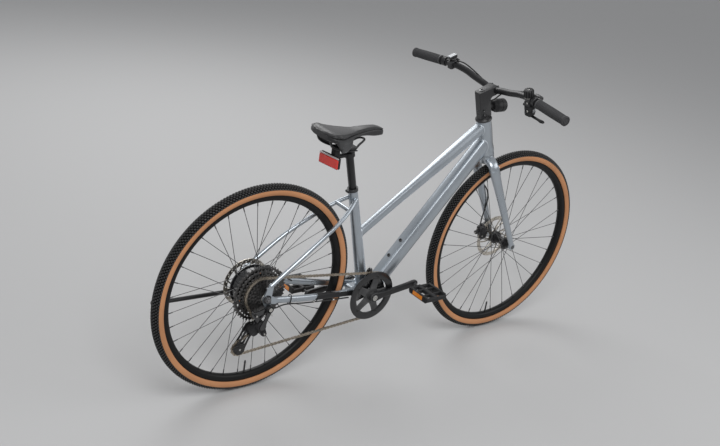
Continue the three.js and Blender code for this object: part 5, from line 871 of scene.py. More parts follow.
def add_motor_hub():
    shell = Shape("rear_wheel").lathe(
        [
            (6.5, -27.1), (23, -27.1), (24, -26.4), (24.5, -22), (28, -20.4), (50, -19.8), (55, -18.6),
            (60, -16.4), (63, -13.6), (69.2, -12.4), (70, -11.6), (70, -8.4), (69.2, -7.8), (63.6, -7),
            (63.2, 26), (63.6, 27.2), (69.2, 27.8), (70, 28.6), (70, 31.4), (69.2, 32.2), (63, 33.4),
            (60, 36.4), (55, 38.8), (50, 39.8), (28, 39.9), (24.5, 42), (24, 50), (23, 50.7), (14, 50.7),
            (14, 53.9), (6.5, 53.9),
        ],
        REAR_AXLE, sides=72,
    )
    for angle in turns(12, 0.5):
        for y in (39, -18.8):
            shell.bolt(REAR_AXLE + top_at(angle) * 53 + v(0, y, 0), v(0, y, 0), 2.6, 1.6, 12)
    shell.piece("motor_shell", GLOSS_BLACK, "motor_hub")
    add_spokes("rear", REAR_AXLE, REAR_SPOKES, 66, (-10.1, 30), 24)


def add_rotor(label, centre, y, material):
    body = f"{label}_wheel"
    shape = Shape(body)
    outline = [polar(79.4 - 0.9 * max(0, math.cos(angle * 24)) ** 2, angle) for angle in turns(144)]
    holes = [circle(65.5, 96)]
    for angle in turns(24):
        for radius, turn, size in ((75.2, 0.0, 1.9), (70.6, 0.09, 2.3)):
            holes.append(circle(size, 10, *polar(radius, angle + turn)))
    shape.plate(outline, y - 0.9, y + 0.9, holes, centre)
    shape.plate(circle(23, 48), y - 0.9, y + 0.9, [circle(15.2, 36)], centre)
    for start in turns(6):
        for offset in (-0.09, 0.09):
            ahead, behind = [], []
            for k in range(7):
                share = k / 6
                radius = mix(20, 67, share)
                angle = start + TURN / 12 * share**0.8 + offset * (1 + 1.4 * share)
                thick = 2.6 / radius
                ahead.append((radius * math.sin(angle - thick), radius * math.cos(angle - thick)))
                behind.append((radius * math.sin(angle + thick), radius * math.cos(angle + thick)))
            shape.plate(ahead + behind[::-1], y - 0.85, y + 0.85, (), centre)
    shape.piece(f"{label}_disc", material, f"{label}_rotor")
    bolts = Shape(body)
    for angle in turns(6):
        bolts.bolt(centre + ahead_at(angle) * 18.5 + v(0, y + 0.9, 0), ACROSS, 2.7, 1.6, 14)
    bolts.piece(f"{label}_disc_bolts", BOLT_STEEL, slot="rotor_steel")


for label, centre, count in (("front", FRONT_AXLE, FRONT_SPOKES), ("rear", REAR_AXLE, REAR_SPOKES)):
    add_tyre(label, centre)
    add_rim(label, centre, count)
add_front_hub()
add_motor_hub()
add_rotor("front", FRONT_AXLE, 39.5, FRONT_DISC)
add_rotor("rear", REAR_AXLE, 52, REAR_DISC)


# Drive train

CASSETTE_TEETH = (46, 40, 34, 28, 24, 20, 16, 13, 11)
COG_SPACING = 4.34
RING_TEETH = 40
PULLEY_TEETH = 11
COG_IN_USE = 28
VALLEY_DROP = 4.1
TOOTH_CORNERS = (
    (-0.62, -0.9), (-0.48, -2.9), (-0.26, -VALLEY_DROP + 0.25), (0, -VALLEY_DROP),
    (0.26, -VALLEY_DROP + 0.25), (0.48, -2.9), (0.62, -0.9), (0.86, 1.6), (1.14, 1.6),
)
CHAIN_WHEELS = (
    (REAR_AXLE, COG_IN_USE, COG_CHAIN_Y, -1), (BRACKET, RING_TEETH, CHAINLINE_Y, -1),
    (TENSION_PULLEY, PULLEY_TEETH, COG_CHAIN_Y, -1), (GUIDE_PULLEY, PULLEY_TEETH, COG_CHAIN_Y, 1),
)


def pitch_radius(teeth):
    return CHAIN_PITCH / (2 * math.sin(math.pi / teeth))


def tooth_outline(teeth, phase):
    """Pointed teeth with round seats between them; phase is the angle of a seat."""
    pitch = pitch_radius(teeth)
    return [
        polar(pitch + rise, phase + seat + turn * TURN / teeth / 2)
        for seat in turns(teeth) for turn, rise in TOOTH_CORNERS
    ]


def tangent(a, b):
    """Where the chain leaves wheel a and meets wheel b; each has its place, radius and sense."""
    (ax, az, ar, sa), (bx, bz, br, sb) = a, b
    distance = math.hypot(bx - ax, bz - az)
    heading = math.atan2(bz - az, bx - ax) - math.asin((sb * br - sa * ar) / distance)
    normal = heading - TURN / 4
    return polar(sa * ar, normal, ax, az), polar(sb * br, normal, bx, bz)


def chain_pins():
    """Where the chain's pins lie, and the angle of the pin nearest the middle of each wheel's arc."""
    wheels = [(at.x, at.z, pitch_radius(teeth), sense) for at, teeth, _, sense in CHAIN_WHEELS]
    line = []
    middles = []
    for i, (x, z, radius, sense) in enumerate(wheels):
        entry = tangent(wheels[i - 1], wheels[i])[1]
        leave = tangent(wheels[i], wheels[(i + 1) % 4])[0]
        start = math.atan2(entry[1] - z, entry[0] - x)
        sweep = math.atan2(leave[1] - z, leave[0] - x) - start
        while sense * sweep < 0:
            sweep += sense * TURN
        steps = math.ceil(abs(sweep) / 0.02)
        for k in range(steps + 1):
            px, pz = polar(radius, start + sweep * k / steps, x, z)
            line.append(v(px, CHAIN_WHEELS[i][2], pz))
        middles.append(len(line) - steps // 2)
    reach = [0.0]
    for a, b in zip(line, line[1:] + line[:1]):
        reach.append(reach[-1] + (b - a).length)
    count = round(reach[-1] / CHAIN_PITCH / 2) * 2
    pins = []
    i = 0
    for k in range(count):
        goal = reach[-1] * (k + 0.5) / count
        while reach[i + 1] < goal:
            i += 1
        share = (goal - reach[i]) / (reach[i + 1] - reach[i])
        pins.append(line[i].lerp(line[(i + 1) % len(line)], share))
    phases = []
    for (x, z, _, _), middle in zip(wheels, middles):
        nearest = min(pins, key=lambda p: (p - line[middle]).length)
        phases.append(math.atan2(nearest.z - z, nearest.x - x))
    return pins, phases


PINS, PHASES = chain_pins()


def add_chain():
    plates = Shape()
    rollers = Shape()
    for i, start in enumerate(PINS):
        end = PINS[(i + 1) % len(PINS)]
        heading = (end - start).normalized()
        over = heading.cross(ACROSS).normalized()
        place = Matrix((heading, over.cross(heading), over)).transposed().to_4x4()
        place.translation = (start + end) / 2
        plates.place = rollers.place = place
        half = (end - start).length / 2
        radius, near, far = (4.0, 1.25, 1.95) if i % 2 else (4.1, 2.05, 2.85)
        outline = link_outline(v(-half, 0, 0), radius, v(half, 0, 0), radius, 7, 1.1)
        for side, _ in SIDES:
            plates.plate(outline, side * near, side * far)
        rollers.rod(v(half, -1.2, 0), v(half, 1.2, 0), 3.7, sides=12)
        rollers.rod(v(half, -3.0, 0), v(half, 3.0, 0), 1.7, sides=8)
    plates.piece("chain_plates", CHAIN_STEEL, "chain", bevel=0.15)
    rollers.piece("chain_rollers", COG_STEEL, slot="chain_steel")


def cog_windows(valley, shift):
    windows = []
    for middle in turns(6, shift):
        corners = ((-0.33, 24), (0.33, 24), (0.4, valley - 7), (0, valley - 6), (-0.4, valley - 7))
        windows.append([polar(radius, middle + share * TURN / 6) for share, radius in corners])
    return windows


def add_cassette():
    cogs, carrier, copper, hub = (Shape("cassette") for _ in range(4))
    for i, teeth in enumerate(CASSETTE_TEETH):
        y = -28.5 - COG_SPACING * i
        phase = PHASES[0] if teeth == COG_IN_USE else 0.3 * i
        valley = pitch_radius(teeth) - VALLEY_DROP
        holes = [circle(17.3 if teeth > 13 else 15, 40)]
        if valley > 45:
            holes += cog_windows(valley, 0.25 * i)
        cogs.plate(tooth_outline(teeth, phase), y - 0.9, y + 0.9, holes, REAR_AXLE)
        for k, angle in enumerate(turns(12, 0.25) if teeth > COG_IN_USE else ()):
            rivets = copper if teeth == 40 and k % 3 == 0 else carrier
            rivets.across(REAR_AXLE + ahead_at(angle) * (valley - 3.6), y - 1.15, y + 1.9, 1.7, 12, 0.2)
        if teeth > 13:
            cogs.lathe(ring_section(17.3, 20.5, y - 0.9, y - 3.4), REAR_AXLE, sides=40)
    cogs.piece("cassette_cogs", COG_STEEL, "cassette")
    carrier.piece("cassette_rivets", STEEL_DARK, slot="cassette_steel")
    copper.piece("copper_rivets", COPPER)
    hub.lathe(
        [
            (7, -27.6), (17, -27.6), (17, -58), (14.8, -58.4), (14.8, -64.4), (14, -65.5), (12, -65.5),
            (11, -64), (7, -64),
        ],
        REAR_AXLE,
    )
    for angle in turns(12):
        hub.across(REAR_AXLE + ahead_at(angle) * 13, -65.8, -63, 1.1, 8)
    hub.piece("freehub_and_lockring", BOLT_STEEL, slot="cassette_steel")


def add_axle():
    shape = Shape().across(REAR_AXLE, -82, 82, 6, 32, 0.8)
    for side, _ in SIDES:
        nut = [REAR_AXLE + ahead_at(angle) * 10 for angle in turns(6)]
        shape.skin([[p + v(0, side * y, 0) for p in nut] for y in (74.6, 82.4)])
        shape.across(REAR_AXLE, side * 73.7, side * 74.8, 11.2, 32)
        shape.across(REAR_AXLE, side * 81, side * 86.4, 5.8, 24, 0.8)
    shape.piece("rear_axle_nuts", STEEL_DARK, "rear_axle", bevel=0.5)


def add_chainring():
    holes = [circle(pitch_radius(RING_TEETH) - 16, 96)]
    holes += [circle(1.6, 8, *polar(70.6, angle)) for angle in turns(20, 0.5)]
    ring = Shape("crank").plate(tooth_outline(RING_TEETH, PHASES[1]), -47.9, -46.1, holes, BRACKET)
    ring.piece("chainring_teeth", STEEL_DARK, "chainring", "black_alloy")
    guard = Shape("crank").lathe(
        [
            (62.5, -53.1), (62.5, -54.2), (63.1, -54.7), (70, -54.9), (84, -54.9), (87.2, -54.5),
            (88, -53.6), (87.6, -52.6), (86, -52.2), (64.5, -52.4),
        ],
        BRACKET, sides=128,
    )
    guard.piece("chain_guard_disc", GUARD, sharp=50)
    spider = Shape("crank")
    profile = [(17.3, -47.2), (26, -47.4), (27, -48.4), (27, -53.6), (26, -54.4), (17.3, -54.4)]
    spider.lathe(profile, BRACKET, sides=64)
    bolts = Shape("crank")
    for angle in turns(5):
        out = ahead_at(CRANK_ANGLE + angle)
        side = v(-out.z, 0, out.x)
        rings = []
        for radius, half, near, far in (
            (23, 14, -47.6, -54.3), (45, 11.6, -47.8, -54), (62, 12.4, -48.6, -53), (74, 15, -48.6, -52.4),
        ):
            corners = ((1, near), (1, far + 1.6), (0.75, far), (-0.75, far), (-1, far + 1.6), (-1, near))
            middle = BRACKET + out * radius
            rings.append([middle + side * a * half + v(0, y, 0) for a, y in corners])
        spider.skin(rings)
        at = BRACKET + out * 69 + v(0, -54.6, 0)
        bolts.bolt(at, -ACROSS, 4.6, 1.6, 20)
        bolts.across(at, -54, -45.2, 3.6, 16)
    spider.piece("crank_spider", BLACK_ALLOY)
    bolts.piece("chainring_bolts", STEEL_BLACK)


def add_bracket_cover():
    """The black cover on the bracket's chain side, with the chain catcher that rises from it."""
    outer = [(-6, 24), *((18 * k, 63) for k in range(12)), (204, 24)]
    inner = [(degrees, 24) for degrees in range(189, -6, -15)]
    outline = [polar(radius, math.radians(degrees)) for degrees, radius in outer + inner]
    shape = Shape().plate(outline, -41.8, -38.2, (), BRACKET)
    for degrees, radius, size, rise in (
        (38, 46, 9, 1.2), (98, 51, 12, 2.2), (150, 46, 10, 1.4), (192, 48, 7, 1.2),
    ):
        at = BRACKET + ahead_at(math.radians(degrees)) * radius
        shape.across(at, -41.6 - rise, -39, size, 28, 0.8)
    shape.plate(link_outline(v(-18, 0, 50), 10, v(-16, 0, 86), 12), -41.6, -38.4, (), BRACKET)
    shape.across(BRACKET + v(-17, 0, 97), -50.5, -38.6, 5, 24, 1)
    shape.piece("bracket_cover", GLOSS_BLACK, slot="black_plastic", sharp=40, bevel=0.4)


def crank_heading(side):
    return ahead_at(CRANK_ANGLE + (TURN / 2 if side > 0 else 0))


def add_cranks():
    for side, label in SIDES:
        out = crank_heading(side)
        over = v(-out.z, 0, out.x)
        rings = []
        for reach, half, thick in (
            (-17, 6, 6), (-12, 13, 6.8), (0, 17.4, 7), (16, 15, 7), (34, 11.6, 6.6), (90, 11, 6.2),
            (140, 11.6, 6), (160, 13, 6), (174, 12.6, 5.8), (181, 8.4, 5.4), (183.6, 4, 5),
        ):
            middle = BRACKET + out * reach + v(0, side * 66, 0)
            rings.append(oval(middle, over, ACROSS, half, thick, 4.5, 28))
        arm = Shape("crank").skin(rings)
        arm.across(BRACKET, side * 59.2, side * 66, 17, 40)
        if side < 0:
            arm.across(BRACKET, -59.4, -47.2, 16, 40)
            arm.across(BRACKET, -60, 60, 11.6, 40)
        else:
            arm.lathe(ring_section(12.6, 17, 59, 66), BRACKET, sides=40)
        arm.across(BRACKET + out * CRANK_LENGTH, side * 66, side * 183, 4.3, 20)
        arm.across(BRACKET + out * CRANK_LENGTH, side * 73, side * 77, 7.4, 6)
        arm.piece(f"{label}_crank_arm", BLACK_ALLOY, f"{label}_crank", sharp=40)
        cap = Shape("crank").bolt(BRACKET + v(0, side * 72.6, 0), ACROSS * side, 9.4, 2.6, 32)
        cap.piece(f"{label}_crank_bolt", BOLT_STEEL)


def add_pedals():
    for side, label in SIDES:
        eye = Matrix.Translation(BRACKET + crank_heading(side) * CRANK_LENGTH)
        body = Shape(f"{label}_pedal", eye)
        glass = Shape(f"{label}_pedal", eye)
        low, high = (92, 188) if side > 0 else (-188, -92)
        for end in (-1, 1):
            a, b = sorted((end * 37, end * 45.4))
            body.blocks(ORIGIN, ((a, low + 5, -11.2), (b, high - 5, 11.2), 2.2))
            for k in range(5):
                y = mix(low + 14, high - 14, k / 4)
                body.rod(v(end * 41.2, y, -11.9), v(end * 41.2, y, 11.9), 1.7, sides=10, chamfer=0.3)
            a, b = sorted((end * 44.8, end * 46))
            glass.blocks(ORIGIN, ((a, low + 24, -7), (b, high - 24, 7), 0.4))
        for y in (low + 0.6, high - 9.6):
            body.blocks(ORIGIN, ((-44, y, -7.4), (44, y + 9, 7.4), 2.2))
        for y in (mix(low, high, 0.32), mix(low, high, 0.68)):
            body.blocks(ORIGIN, ((-40, y - 3, -7), (40, y + 3, 7), 1.5))
        body.rod(v(0, low + 1, 0), v(0, high - 1, 0), 9.8, sides=28, chamfer=1)
        body.piece(f"{label}_pedal_body", PLASTIC, f"{label}_pedal", bevel=0.6)
        glass.piece(f"{label}_pedal_reflectors", AMBER)


def add_pulleys():
    for label, at, phase in (("tension", TENSION_PULLEY, PHASES[2]), ("guide", GUIDE_PULLEY, PHASES[3])):
        flat = v(at.x, 0, at.z)
        holes = [circle(3.1, 20)] + [circle(2.6, 12, *polar(12, angle)) for angle in turns(5)]
        body = Shape(f"{label}_pulley")
        body.plate(tooth_outline(PULLEY_TEETH, phase), COG_CHAIN_Y - 0.95, COG_CHAIN_Y + 0.95, holes, flat)
        body.lathe(ring_section(3, 6, -46.4, -36.6), flat, sides=28)
        body.piece(f"{label}_pulley_wheel", PLASTIC, f"{label}_pulley", bevel=0.2)


def add_cage():
    shape = Shape()
    pulleys = (GUIDE_PULLEY, TENSION_PULLEY)
    unit = (TENSION_PULLEY - GUIDE_PULLEY).normalized()
    holes = [link_outline(GUIDE_PULLEY + unit * 24, 8.6, GUIDE_PULLEY + unit * 49, 9.6, 8)]
    for at in pulleys:
        holes += [circle(2.6, 10, *polar(11, angle, at.x, at.z)) for angle in turns(4, 0.5)]
    for y0, y1 in ((-48.9, -46.9), (-36.1, -34.1)):
        shape.plate(link_outline(GUIDE_PULLEY, 16.6, TENSION_PULLEY, 19.4, 24, 2.5), y0, y1, holes)
    corner = TENSION_PULLEY + v(-14, 0, 5)
    shape.plate(link_outline(TENSION_PULLEY, 18.6, corner, 9, 16, 1), -51.4, -48.7)
    shape.plate(link_outline(TENSION_PULLEY, 13, corner, 5, 16, 1), -52.6, -51.2)
    for at in pulleys:
        shape.across(at, -48, -35, 2.45, 16)
    shape.piece("cage_plates", BLACK_ALLOY, "derailleur_cage", bevel=0.4)


def add_derailleur():
    drum, lobe, inner = v(-547, 0, 263), v(-536, 0, 237), v(-572, 0, 306)
    body = Shape().across(HANGER, -88.6, -73.9, 12.6, 40, 1.6)
    body.lathe(
        [
            (0.5, -49.3), (14.4, -49.3), (15, -50.2), (15, -58), (13.2, -59), (13.2, -61), (15, -62),
            (15, -72), (0.5, -73),
        ],
        v(GUIDE_PULLEY.x, 0, GUIDE_PULLEY.z),
    )
    body.lathe(
        [
            (0.5, -54), (15, -54), (16.6, -55.6), (16.6, -64), (14.6, -65), (14.6, -67.6), (16.6, -68.6),
            (16.6, -82), (14.6, -85.6), (10.4, -86), (9.8, -84.4), (4.6, -84.4), (0.5, -84.6),
        ],
        drum,
    )
    body.plate(link_outline(drum, 15, lobe, 9.4, 12, 1.5), -83, -58)
    body.across(lobe, -87, -56, 8.6, 28, 1.4)
    body.plate(link_outline(drum, 14, GUIDE_PULLEY, 14, 12, 1), -72, -56)
    body.piece("derailleur_knuckles", PLASTIC, "derailleur_body", bevel=0.6)
    links = Shape()
    for a, wide_a, b, wide_b, waist, y0, y1 in (
        (HANGER, 8.4, drum, 9.4, 2.6, -88.6, -85.2), (HANGER, 9.5, inner, 10.5, 2.6, -80.5, -76.6),
        (inner, 8, drum, 9, 2, -79, -74.4), (HANGER, 7.4, drum + v(-12, 0, 8), 7.4, 1.6, -70, -66.6),
    ):
        links.plate(link_outline(a, wide_a, b, wide_b, 12, waist), y0, y1)
    for k in range(5):
        links.bead(oval(inner + v(0, -66 - 2.1 * k, 0), AHEAD, UP, 6.4, 6.4, 2, 20), 0.9)
    links.across(inner, -86, -62, 4.4, 20)
    links.rod(HANGER + v(-4, -70, -12), HANGER + v(-21, -70, -36), 3.4, sides=16)
    links.piece("derailleur_links", GLOSS_BLACK, slot="black_alloy", bevel=0.4)
    studs = Shape()
    for at, y, radius, height, sides in (
        (TENSION_PULLEY, -52.4, 3.2, 1.2, 20), (HANGER, -88.4, 6.2, 2.2, 24), (drum, -84.2, 4.8, 2, 24),
        (inner, -85.8, 3, 1.6, 20), (lobe, -86.8, 2.8, 1.4, 20),
    ):
        studs.bolt(v(at.x, y, at.z), -ACROSS, radius, height, sides)
    for k in range(2):
        studs.rod(HANGER + v(8 - 9 * k, -80, -20), HANGER + v(15 - 9 * k, -80, -25), 2.1, sides=12)
        studs.rod(v(-566 - 9 * k, -66, 288), v(-572 - 9 * k, -66, 281), 1.9, sides=12)
    studs.piece("derailleur_bolts", BOLT_STEEL)


add_chain()
add_cassette()
add_axle()
add_chainring()
add_bracket_cover()
add_cranks()
add_pedals()
add_pulleys()
add_cage()
add_derailleur()


# Saddle, post and tail light

POST_LENGTH = 300
POST_TOP = on_seat(SEAT_TUBE_TOP + POST_LENGTH - 141)
LAMP_HEIGHT = SEAT_TUBE_TOP + 133.4
LAMP = Matrix.Translation(on_seat(LAMP_HEIGHT)) @ Matrix.Rotation(math.radians(6.4), 4, SEAT_AXIS)
SADDLE_LENGTH = 247
SADDLE_HALF_WIDTH = 70
SADDLE_SHARES = (0, 0.04, 0.14, 0.3, 0.5, 0.66, 0.8, 0.92, 1)
SADDLE_WIDTHS = (0.16, 0.22, 0.27, 0.33, 0.46, 0.68, 0.9, 1, 0.68)
SADDLE_RISES = (0.1, 0.34, 0.6, 0.58, 0.4, 0.46, 0.62, 0.82, 0.66)
SADDLE_DEPTHS = (0.36, 0.5, 0.66, 0.52, 0.36, 0.87, 0.8, 0.62, 0.38)
COVER_SHARES = (0, 0.14, 0.3, 0.5, 0.6, 0.68, 0.77, 0.87, 0.95, 1)
COVER_DEPTHS = (6, 9, 9, 9, 10, 13, 16, 13, 10, 7)
WING_LINE = (
    v(0.551, 1, 0), v(0.615, 11, 0), v(0.66, 20, 0), v(0.7, 20, 0), v(0.79, 13, 0), v(0.89, 1, 0),
)
COVER_VOXEL = 3
COVER_RISE_LIMIT = 2
CLOTH_FRAMES = 20
CLOTH_PRESSURE = 4


def smooth_along(values, share, knots=SADDLE_SHARES):
    """A smooth value at a share of the saddle's length, from its nose."""
    i = max(k for k in range(len(knots) - 1) if knots[k] <= share)
    points = [v(knot, value, 0) for knot, value in zip(knots, values)]
    weight = (share - knots[i]) / (knots[i + 1] - knots[i])
    return catmull(points, (i + weight) / (len(knots) - 1))[0].y


def cover_depth(share):
    return smooth_along(COVER_DEPTHS, share, COVER_SHARES)


def saddle_station(share):
    """The place along, the top, the half width and the depth of the saddle."""
    x = POST_TOP.x + 126 - SADDLE_LENGTH * share
    top = POST_TOP.z + 46 + 25 * smooth_along(SADDLE_RISES, share)
    half = SADDLE_HALF_WIDTH * smooth_along(SADDLE_WIDTHS, share)
    return x, top, half, 42 * smooth_along(SADDLE_DEPTHS, share)


def end_round(share):
    """How much of its width the saddle keeps near its two ends."""
    near = min(share / 0.05, (1 - share) / 0.05, 1)
    return mix(0.45, 1, math.sqrt(1 - (1 - near) ** 2))


def shown_mesh(thing):
    """The mesh that the modifiers of a piece make of it."""
    graph = bpy.context.evaluated_depsgraph_get()
    return bpy.data.meshes.new_from_object(thing.evaluated_get(graph))


def swell(thing):
    """Blows a padded piece up as cloth, then keeps the shape, with no point moved past the limit."""
    remesh = thing.modifiers.new("even_mesh", "REMESH")
    remesh.mode = "VOXEL"
    remesh.voxel_size = COVER_VOXEL * MM
    mesh = shown_mesh(thing)
    thing.modifiers.clear()
    thing.data = mesh
    cloth = thing.modifiers.new("padding", "CLOTH")
    cloth.settings.use_pressure = True
    cloth.settings.uniform_pressure_force = CLOTH_PRESSURE
    cloth.settings.effector_weights.gravity = 0
    cloth.point_cache.frame_start = 1
    cloth.point_cache.frame_end = CLOTH_FRAMES
    for step in range(1, CLOTH_FRAMES + 1):
        bpy.context.scene.frame_set(step)
    blown = shown_mesh(thing)
    thing.modifiers.clear()
    for point, moved in zip(mesh.vertices, blown.vertices):
        way = moved.co - point.co
        point.co += way * min(1, COVER_RISE_LIMIT * MM / max(way.length, MM * MM))
    bpy.data.meshes.remove(blown)
    bpy.context.scene.frame_set(1)
    for face in mesh.polygons:
        face.use_smooth = True
    finer = thing.modifiers.new("finer", "SUBSURF")
    finer.levels = 1
    finer.render_levels = 1


def on_cover(thing, point):
    """The nearest place on the cover, in millimetres, a little above its skin."""
    back = thing.matrix_world.inverted()
    _, place, normal, _ = thing.closest_point_on_mesh(back @ (point * MM))
    return thing.matrix_world @ (place + normal * 0.0002) / MM


def add_saddle_cover():
    rings = []
    for i in range(49):
        x, top, half, depth = saddle_station(i / 48)
        deep = min(depth, cover_depth(i / 48))
        half = half * end_round(i / 48) - 1.2
        rings.append(oval(v(x, 0, top - deep / 2), ACROSS, UP, half, deep / 2 - 1.2, 2.5, 56))
    thing = Shape("seat").skin(rings).piece("saddle_top", LEATHER, "saddle_cover", sharp=70)
    swell(thing)
    bpy.context.view_layer.update()
    seams = Shape("seat")
    for side, _ in SIDES:
        line = []
        for i in range(41):
            x, top, half, _ = saddle_station(mix(0.04, 0.96, i / 40))
            line.append(on_cover(thing, v(x, side * half * 0.8, top)))
        seams.hose(line, 0.8, 120, 8)
    seams.piece("saddle_seams", STITCH)


def add_saddle_shell():
    rings = []
    for i in range(41):
        share = mix(0.015, 0.985, i / 40)
        x, top, half, depth = saddle_station(share)
        high = top - cover_depth(share) * 0.6
        low = top - depth - 3
        half = half * end_round(share) - 3.2
        rings.append(oval(v(x, 0, (high + low) / 2), ACROSS, UP, half, (high - low) / 2, 3.4, 48))
    shell = Shape("seat").skin(rings)
    for side, _ in SIDES:
        rings = []
        for i in range(25):
            share, drop, _ = catmull(WING_LINE, i / 24)[0]
            x, top, half, depth = saddle_station(share)
            middle = v(x, side * (half - 7.6), top - depth - drop / 2 + 6)
            rings.append(oval(middle, ACROSS, UP, 4.4, drop / 2 + 8, 2.6, 24))
        shell.skin(rings)
    shell.piece("saddle_shell", LEATHER, "saddle_base", sharp=50)


def add_saddle_rails():
    rear_x, rear_top, _, rear_depth = saddle_station(0.92)
    front_x, front_top, _, front_depth = saddle_station(0.14)
    level = POST_TOP.z
    rear_z = rear_top - rear_depth
    nose_z = front_top - front_depth - 11
    half = [
        v(rear_x, -35.2, rear_z),
        v(rear_x + 10, -31.9, mix(level, rear_z, 0.5)),
        *(v(POST_TOP.x + SADDLE_LENGTH * share, -22, level) for share in (-0.18, -0.1, 0, 0.04)),
        v(front_x - 68, -19, mix(level, nose_z, 0.45)),
        v(front_x - 48, -14, mix(level, nose_z, 0.9)),
        v(front_x - 40, -7, nose_z),
    ]
    rails = Shape("seat").hose([*half, *(v(p.x, -p.y, p.z) for p in reversed(half))], 3.5, 90, 16)
    rails.piece("saddle_rail_wire", BLACK_ALLOY, "saddle_rails")


def add_post():
    post = Shape("seat")
    profile = [(11.5, 0), (12.7, 2), (12.7, 285), (14.5, 296)]
    post.lathe(profile, POST_TOP - SEAT_AXIS * POST_LENGTH, SEAT_AXIS, closed=False)
    post.blocks(
        POST_TOP,
        ((-16, -16, -13), (16, 16, -3.6), 2),
        ((-15, -28, 3.9), (15, 28, 7), 1.2),
    )
    for end in (-1, 1):
        y0, y1 = sorted((end * 17.6, end * 28))
        post.blocks(POST_TOP, ((-16, y0, -7), (16, y1, -3.8), 1))
        post.rod(POST_TOP + v(end * 10, 0, -16), POST_TOP + v(end * 10, 0, 9), 2.6, sides=12)
    post.across(POST_TOP + v(0, 0, -8), -24, 24, 6, 24, 0.8)
    post.piece("seat_post_and_clamp", BLACK_ALLOY, "seatpost", bevel=0.5)


def add_tail_light():
    body = Shape("seat", LAMP)
    body.lathe(ring_section(13.4, 17.3, -8, 8, 0.4, 0.6), ORIGIN, SEAT_AXIS)
    body.blocks(
        ORIGIN,
        ((-79, -8, -7.5), (-16, 8, 3.5), 2),
        ((-82.6, -43, -27.5), (-73, 43, 9.4), 3),
        ((-72.8, -8.8, -7.8), (-46.6, 8.8, 35.8), 3),
    )
    body.across(v(-55, 0, 28), -12, 12, 5, 24, 0.8)
    body.piece("tail_light_case", PLASTIC, "tail_light_housing", bevel=0.5)
    lens = Shape("seat", LAMP).blocks(ORIGIN, ((-88, -42.4, -26.8), (-82.9, 42.4, 3.4), 2))
    lens.piece("tail_light_glass", RED, "tail_light_lens", bevel=0.6)
    strip = Shape("seat", LAMP).blocks(ORIGIN, ((-87.2, -42.4, 3.7), (-82.9, 42.4, 9.2), 1.2))
    strip.piece("tail_light_strip", SMOKE, bevel=0.4)
    screws = Shape("seat", LAMP)
    for side, _ in SIDES:
        screws.bolt(v(-55, side * 11.8, 28), ACROSS * side, 3, 1.6)
    screws.piece("tail_light_screws", BOLT_STEEL)


add_saddle_cover()
add_saddle_shell()
add_saddle_rails()
add_post()
add_tail_light()


# Kickstand, rear brake and cables


def add_kickstand():
    leg = Shape("kickstand")
    leg.lathe(ring_section(5.4, 11, -8.5, 8.5, 0.6, 0.6), STAND_EYE, STAND_AXIS, 32)
    back = squared(v(-1, 0, 0.047), STAND_AXIS)
    profile = [(6.2, 8), (7, 20), (6.8, 262), (8, 268), (9.4, 275), (9.7, 299), (9, 303), (7, 305)]
    leg.lathe(profile, STAND_EYE, back, 24, closed=False)
    leg.piece("kickstand_arm", BLACK_ALLOY, "kickstand_leg")


def add_rear_caliper():
    centre = REAR_AXLE + v(60.48, 52, 24.192)
    shape = Shape().blocks(
        centre,
        ((-27, 2, -10), (27, 10.6, 17), 3),
        ((-27, -10.6, -10), (27, -2, 17), 3),
        ((20, -10.6, -9), (26.6, 10.6, 16), 2),
        ((-18, 4.5, STAY_START.z + 14 - centre.z), (18, 12.5, 0), 2),
    )
    for end in (-13, 13):
        shape.bolt(centre + v(end, 10.4, 2), ACROSS, 3.4, 2.4)
        shape.bolt(centre + v(end, -10.4, 2), -ACROSS, 3.4, 2.0)
    shape.rod(centre + v(27, 0, 0), centre + v(30, 0, 0), 4.6, sides=8)
    shape.piece("rear_brake_body", BLACK_ALLOY, "rear_caliper", bevel=0.5)
    start = centre + v(28.3, 0, 0)
    steps = (v(0, 0, 0), v(14, 0, 0), v(39.2, -2.5, -12.6), v(67.2, -5, -37.8))
    line = [*(start + step for step in steps), v(start.x + 84, 44.5, STAY_START.z - 14)]
    Shape().hose(line, 2.5).piece("rear_brake_line", HOSE, "rear_brake_hose")


def add_derailleur_cable():
    line = []
    for share, wide in ((0.8, 0.5), (0.56, 0.72), (0.3, 0.93), (0.1, 1.03)):
        at = STAY_START.lerp(BRACKET, share)
        line.append(v(at.x, -STAY_Y * wide, at.z - 16.1))
    line += [HANGER + v(24, -81, 0), HANGER + v(12.3, -81, 0)]
    Shape().hose(line, 2.3, 60).piece("shift_cable", HOSE, "derailleur_cable")
    clips = Shape()
    for share in (0.15, 0.32):
        at, heading = catmull(line, share)
        clips.rod(at - heading * 3, at + heading * 3, 3.8, sides=16, chamfer=0.6)
    clips.piece("cable_ferrules", BOLT_STEEL)


add_kickstand()
add_rear_caliper()
add_derailleur_cable()


# Steering: shaped in the fork's own frame, with x ahead of the axis and z along it

STEM_FOOT = HEAD_TOP + 11.6
STEM_TOP = STEM_FOOT + 99
STEM_OUTLINE = (
    (-21, STEM_FOOT), (21, STEM_FOOT), (21, 205), (23, 211.4), (27.5, 215.8), (33, 217.2), (44, 217.2),
    (54, 219), (58.6, 223), (60.8, 229), (60.8, 239), (58.6, 244), (54.6, 246.6), (50, 247.2),
    (-17, 247.2), (-20, 246.2), (-21, 243),
)
STEM_WIDTHS = ((-21, 12.4), (-16, 16.4), (21, 17.3), (40, 19), (60.8, 19.8))
STEM_MIDDLE = (18, 214)
BAR_CENTRE = v(47, 0, STEM_TOP - 13.5)
BAR_HALF = 366
BAR_Y = (0, 0.06, 0.12, 0.24, 0.36, 0.5, 0.63, 1)
BAR_RISE = (0, 0.02, 0.15, 0.37, 0.67, 0.93, 1, 0.78)
BAR_SWEEP = (0, 0, 0.05, 0.05, 0, -0.45, -1, -1.67)
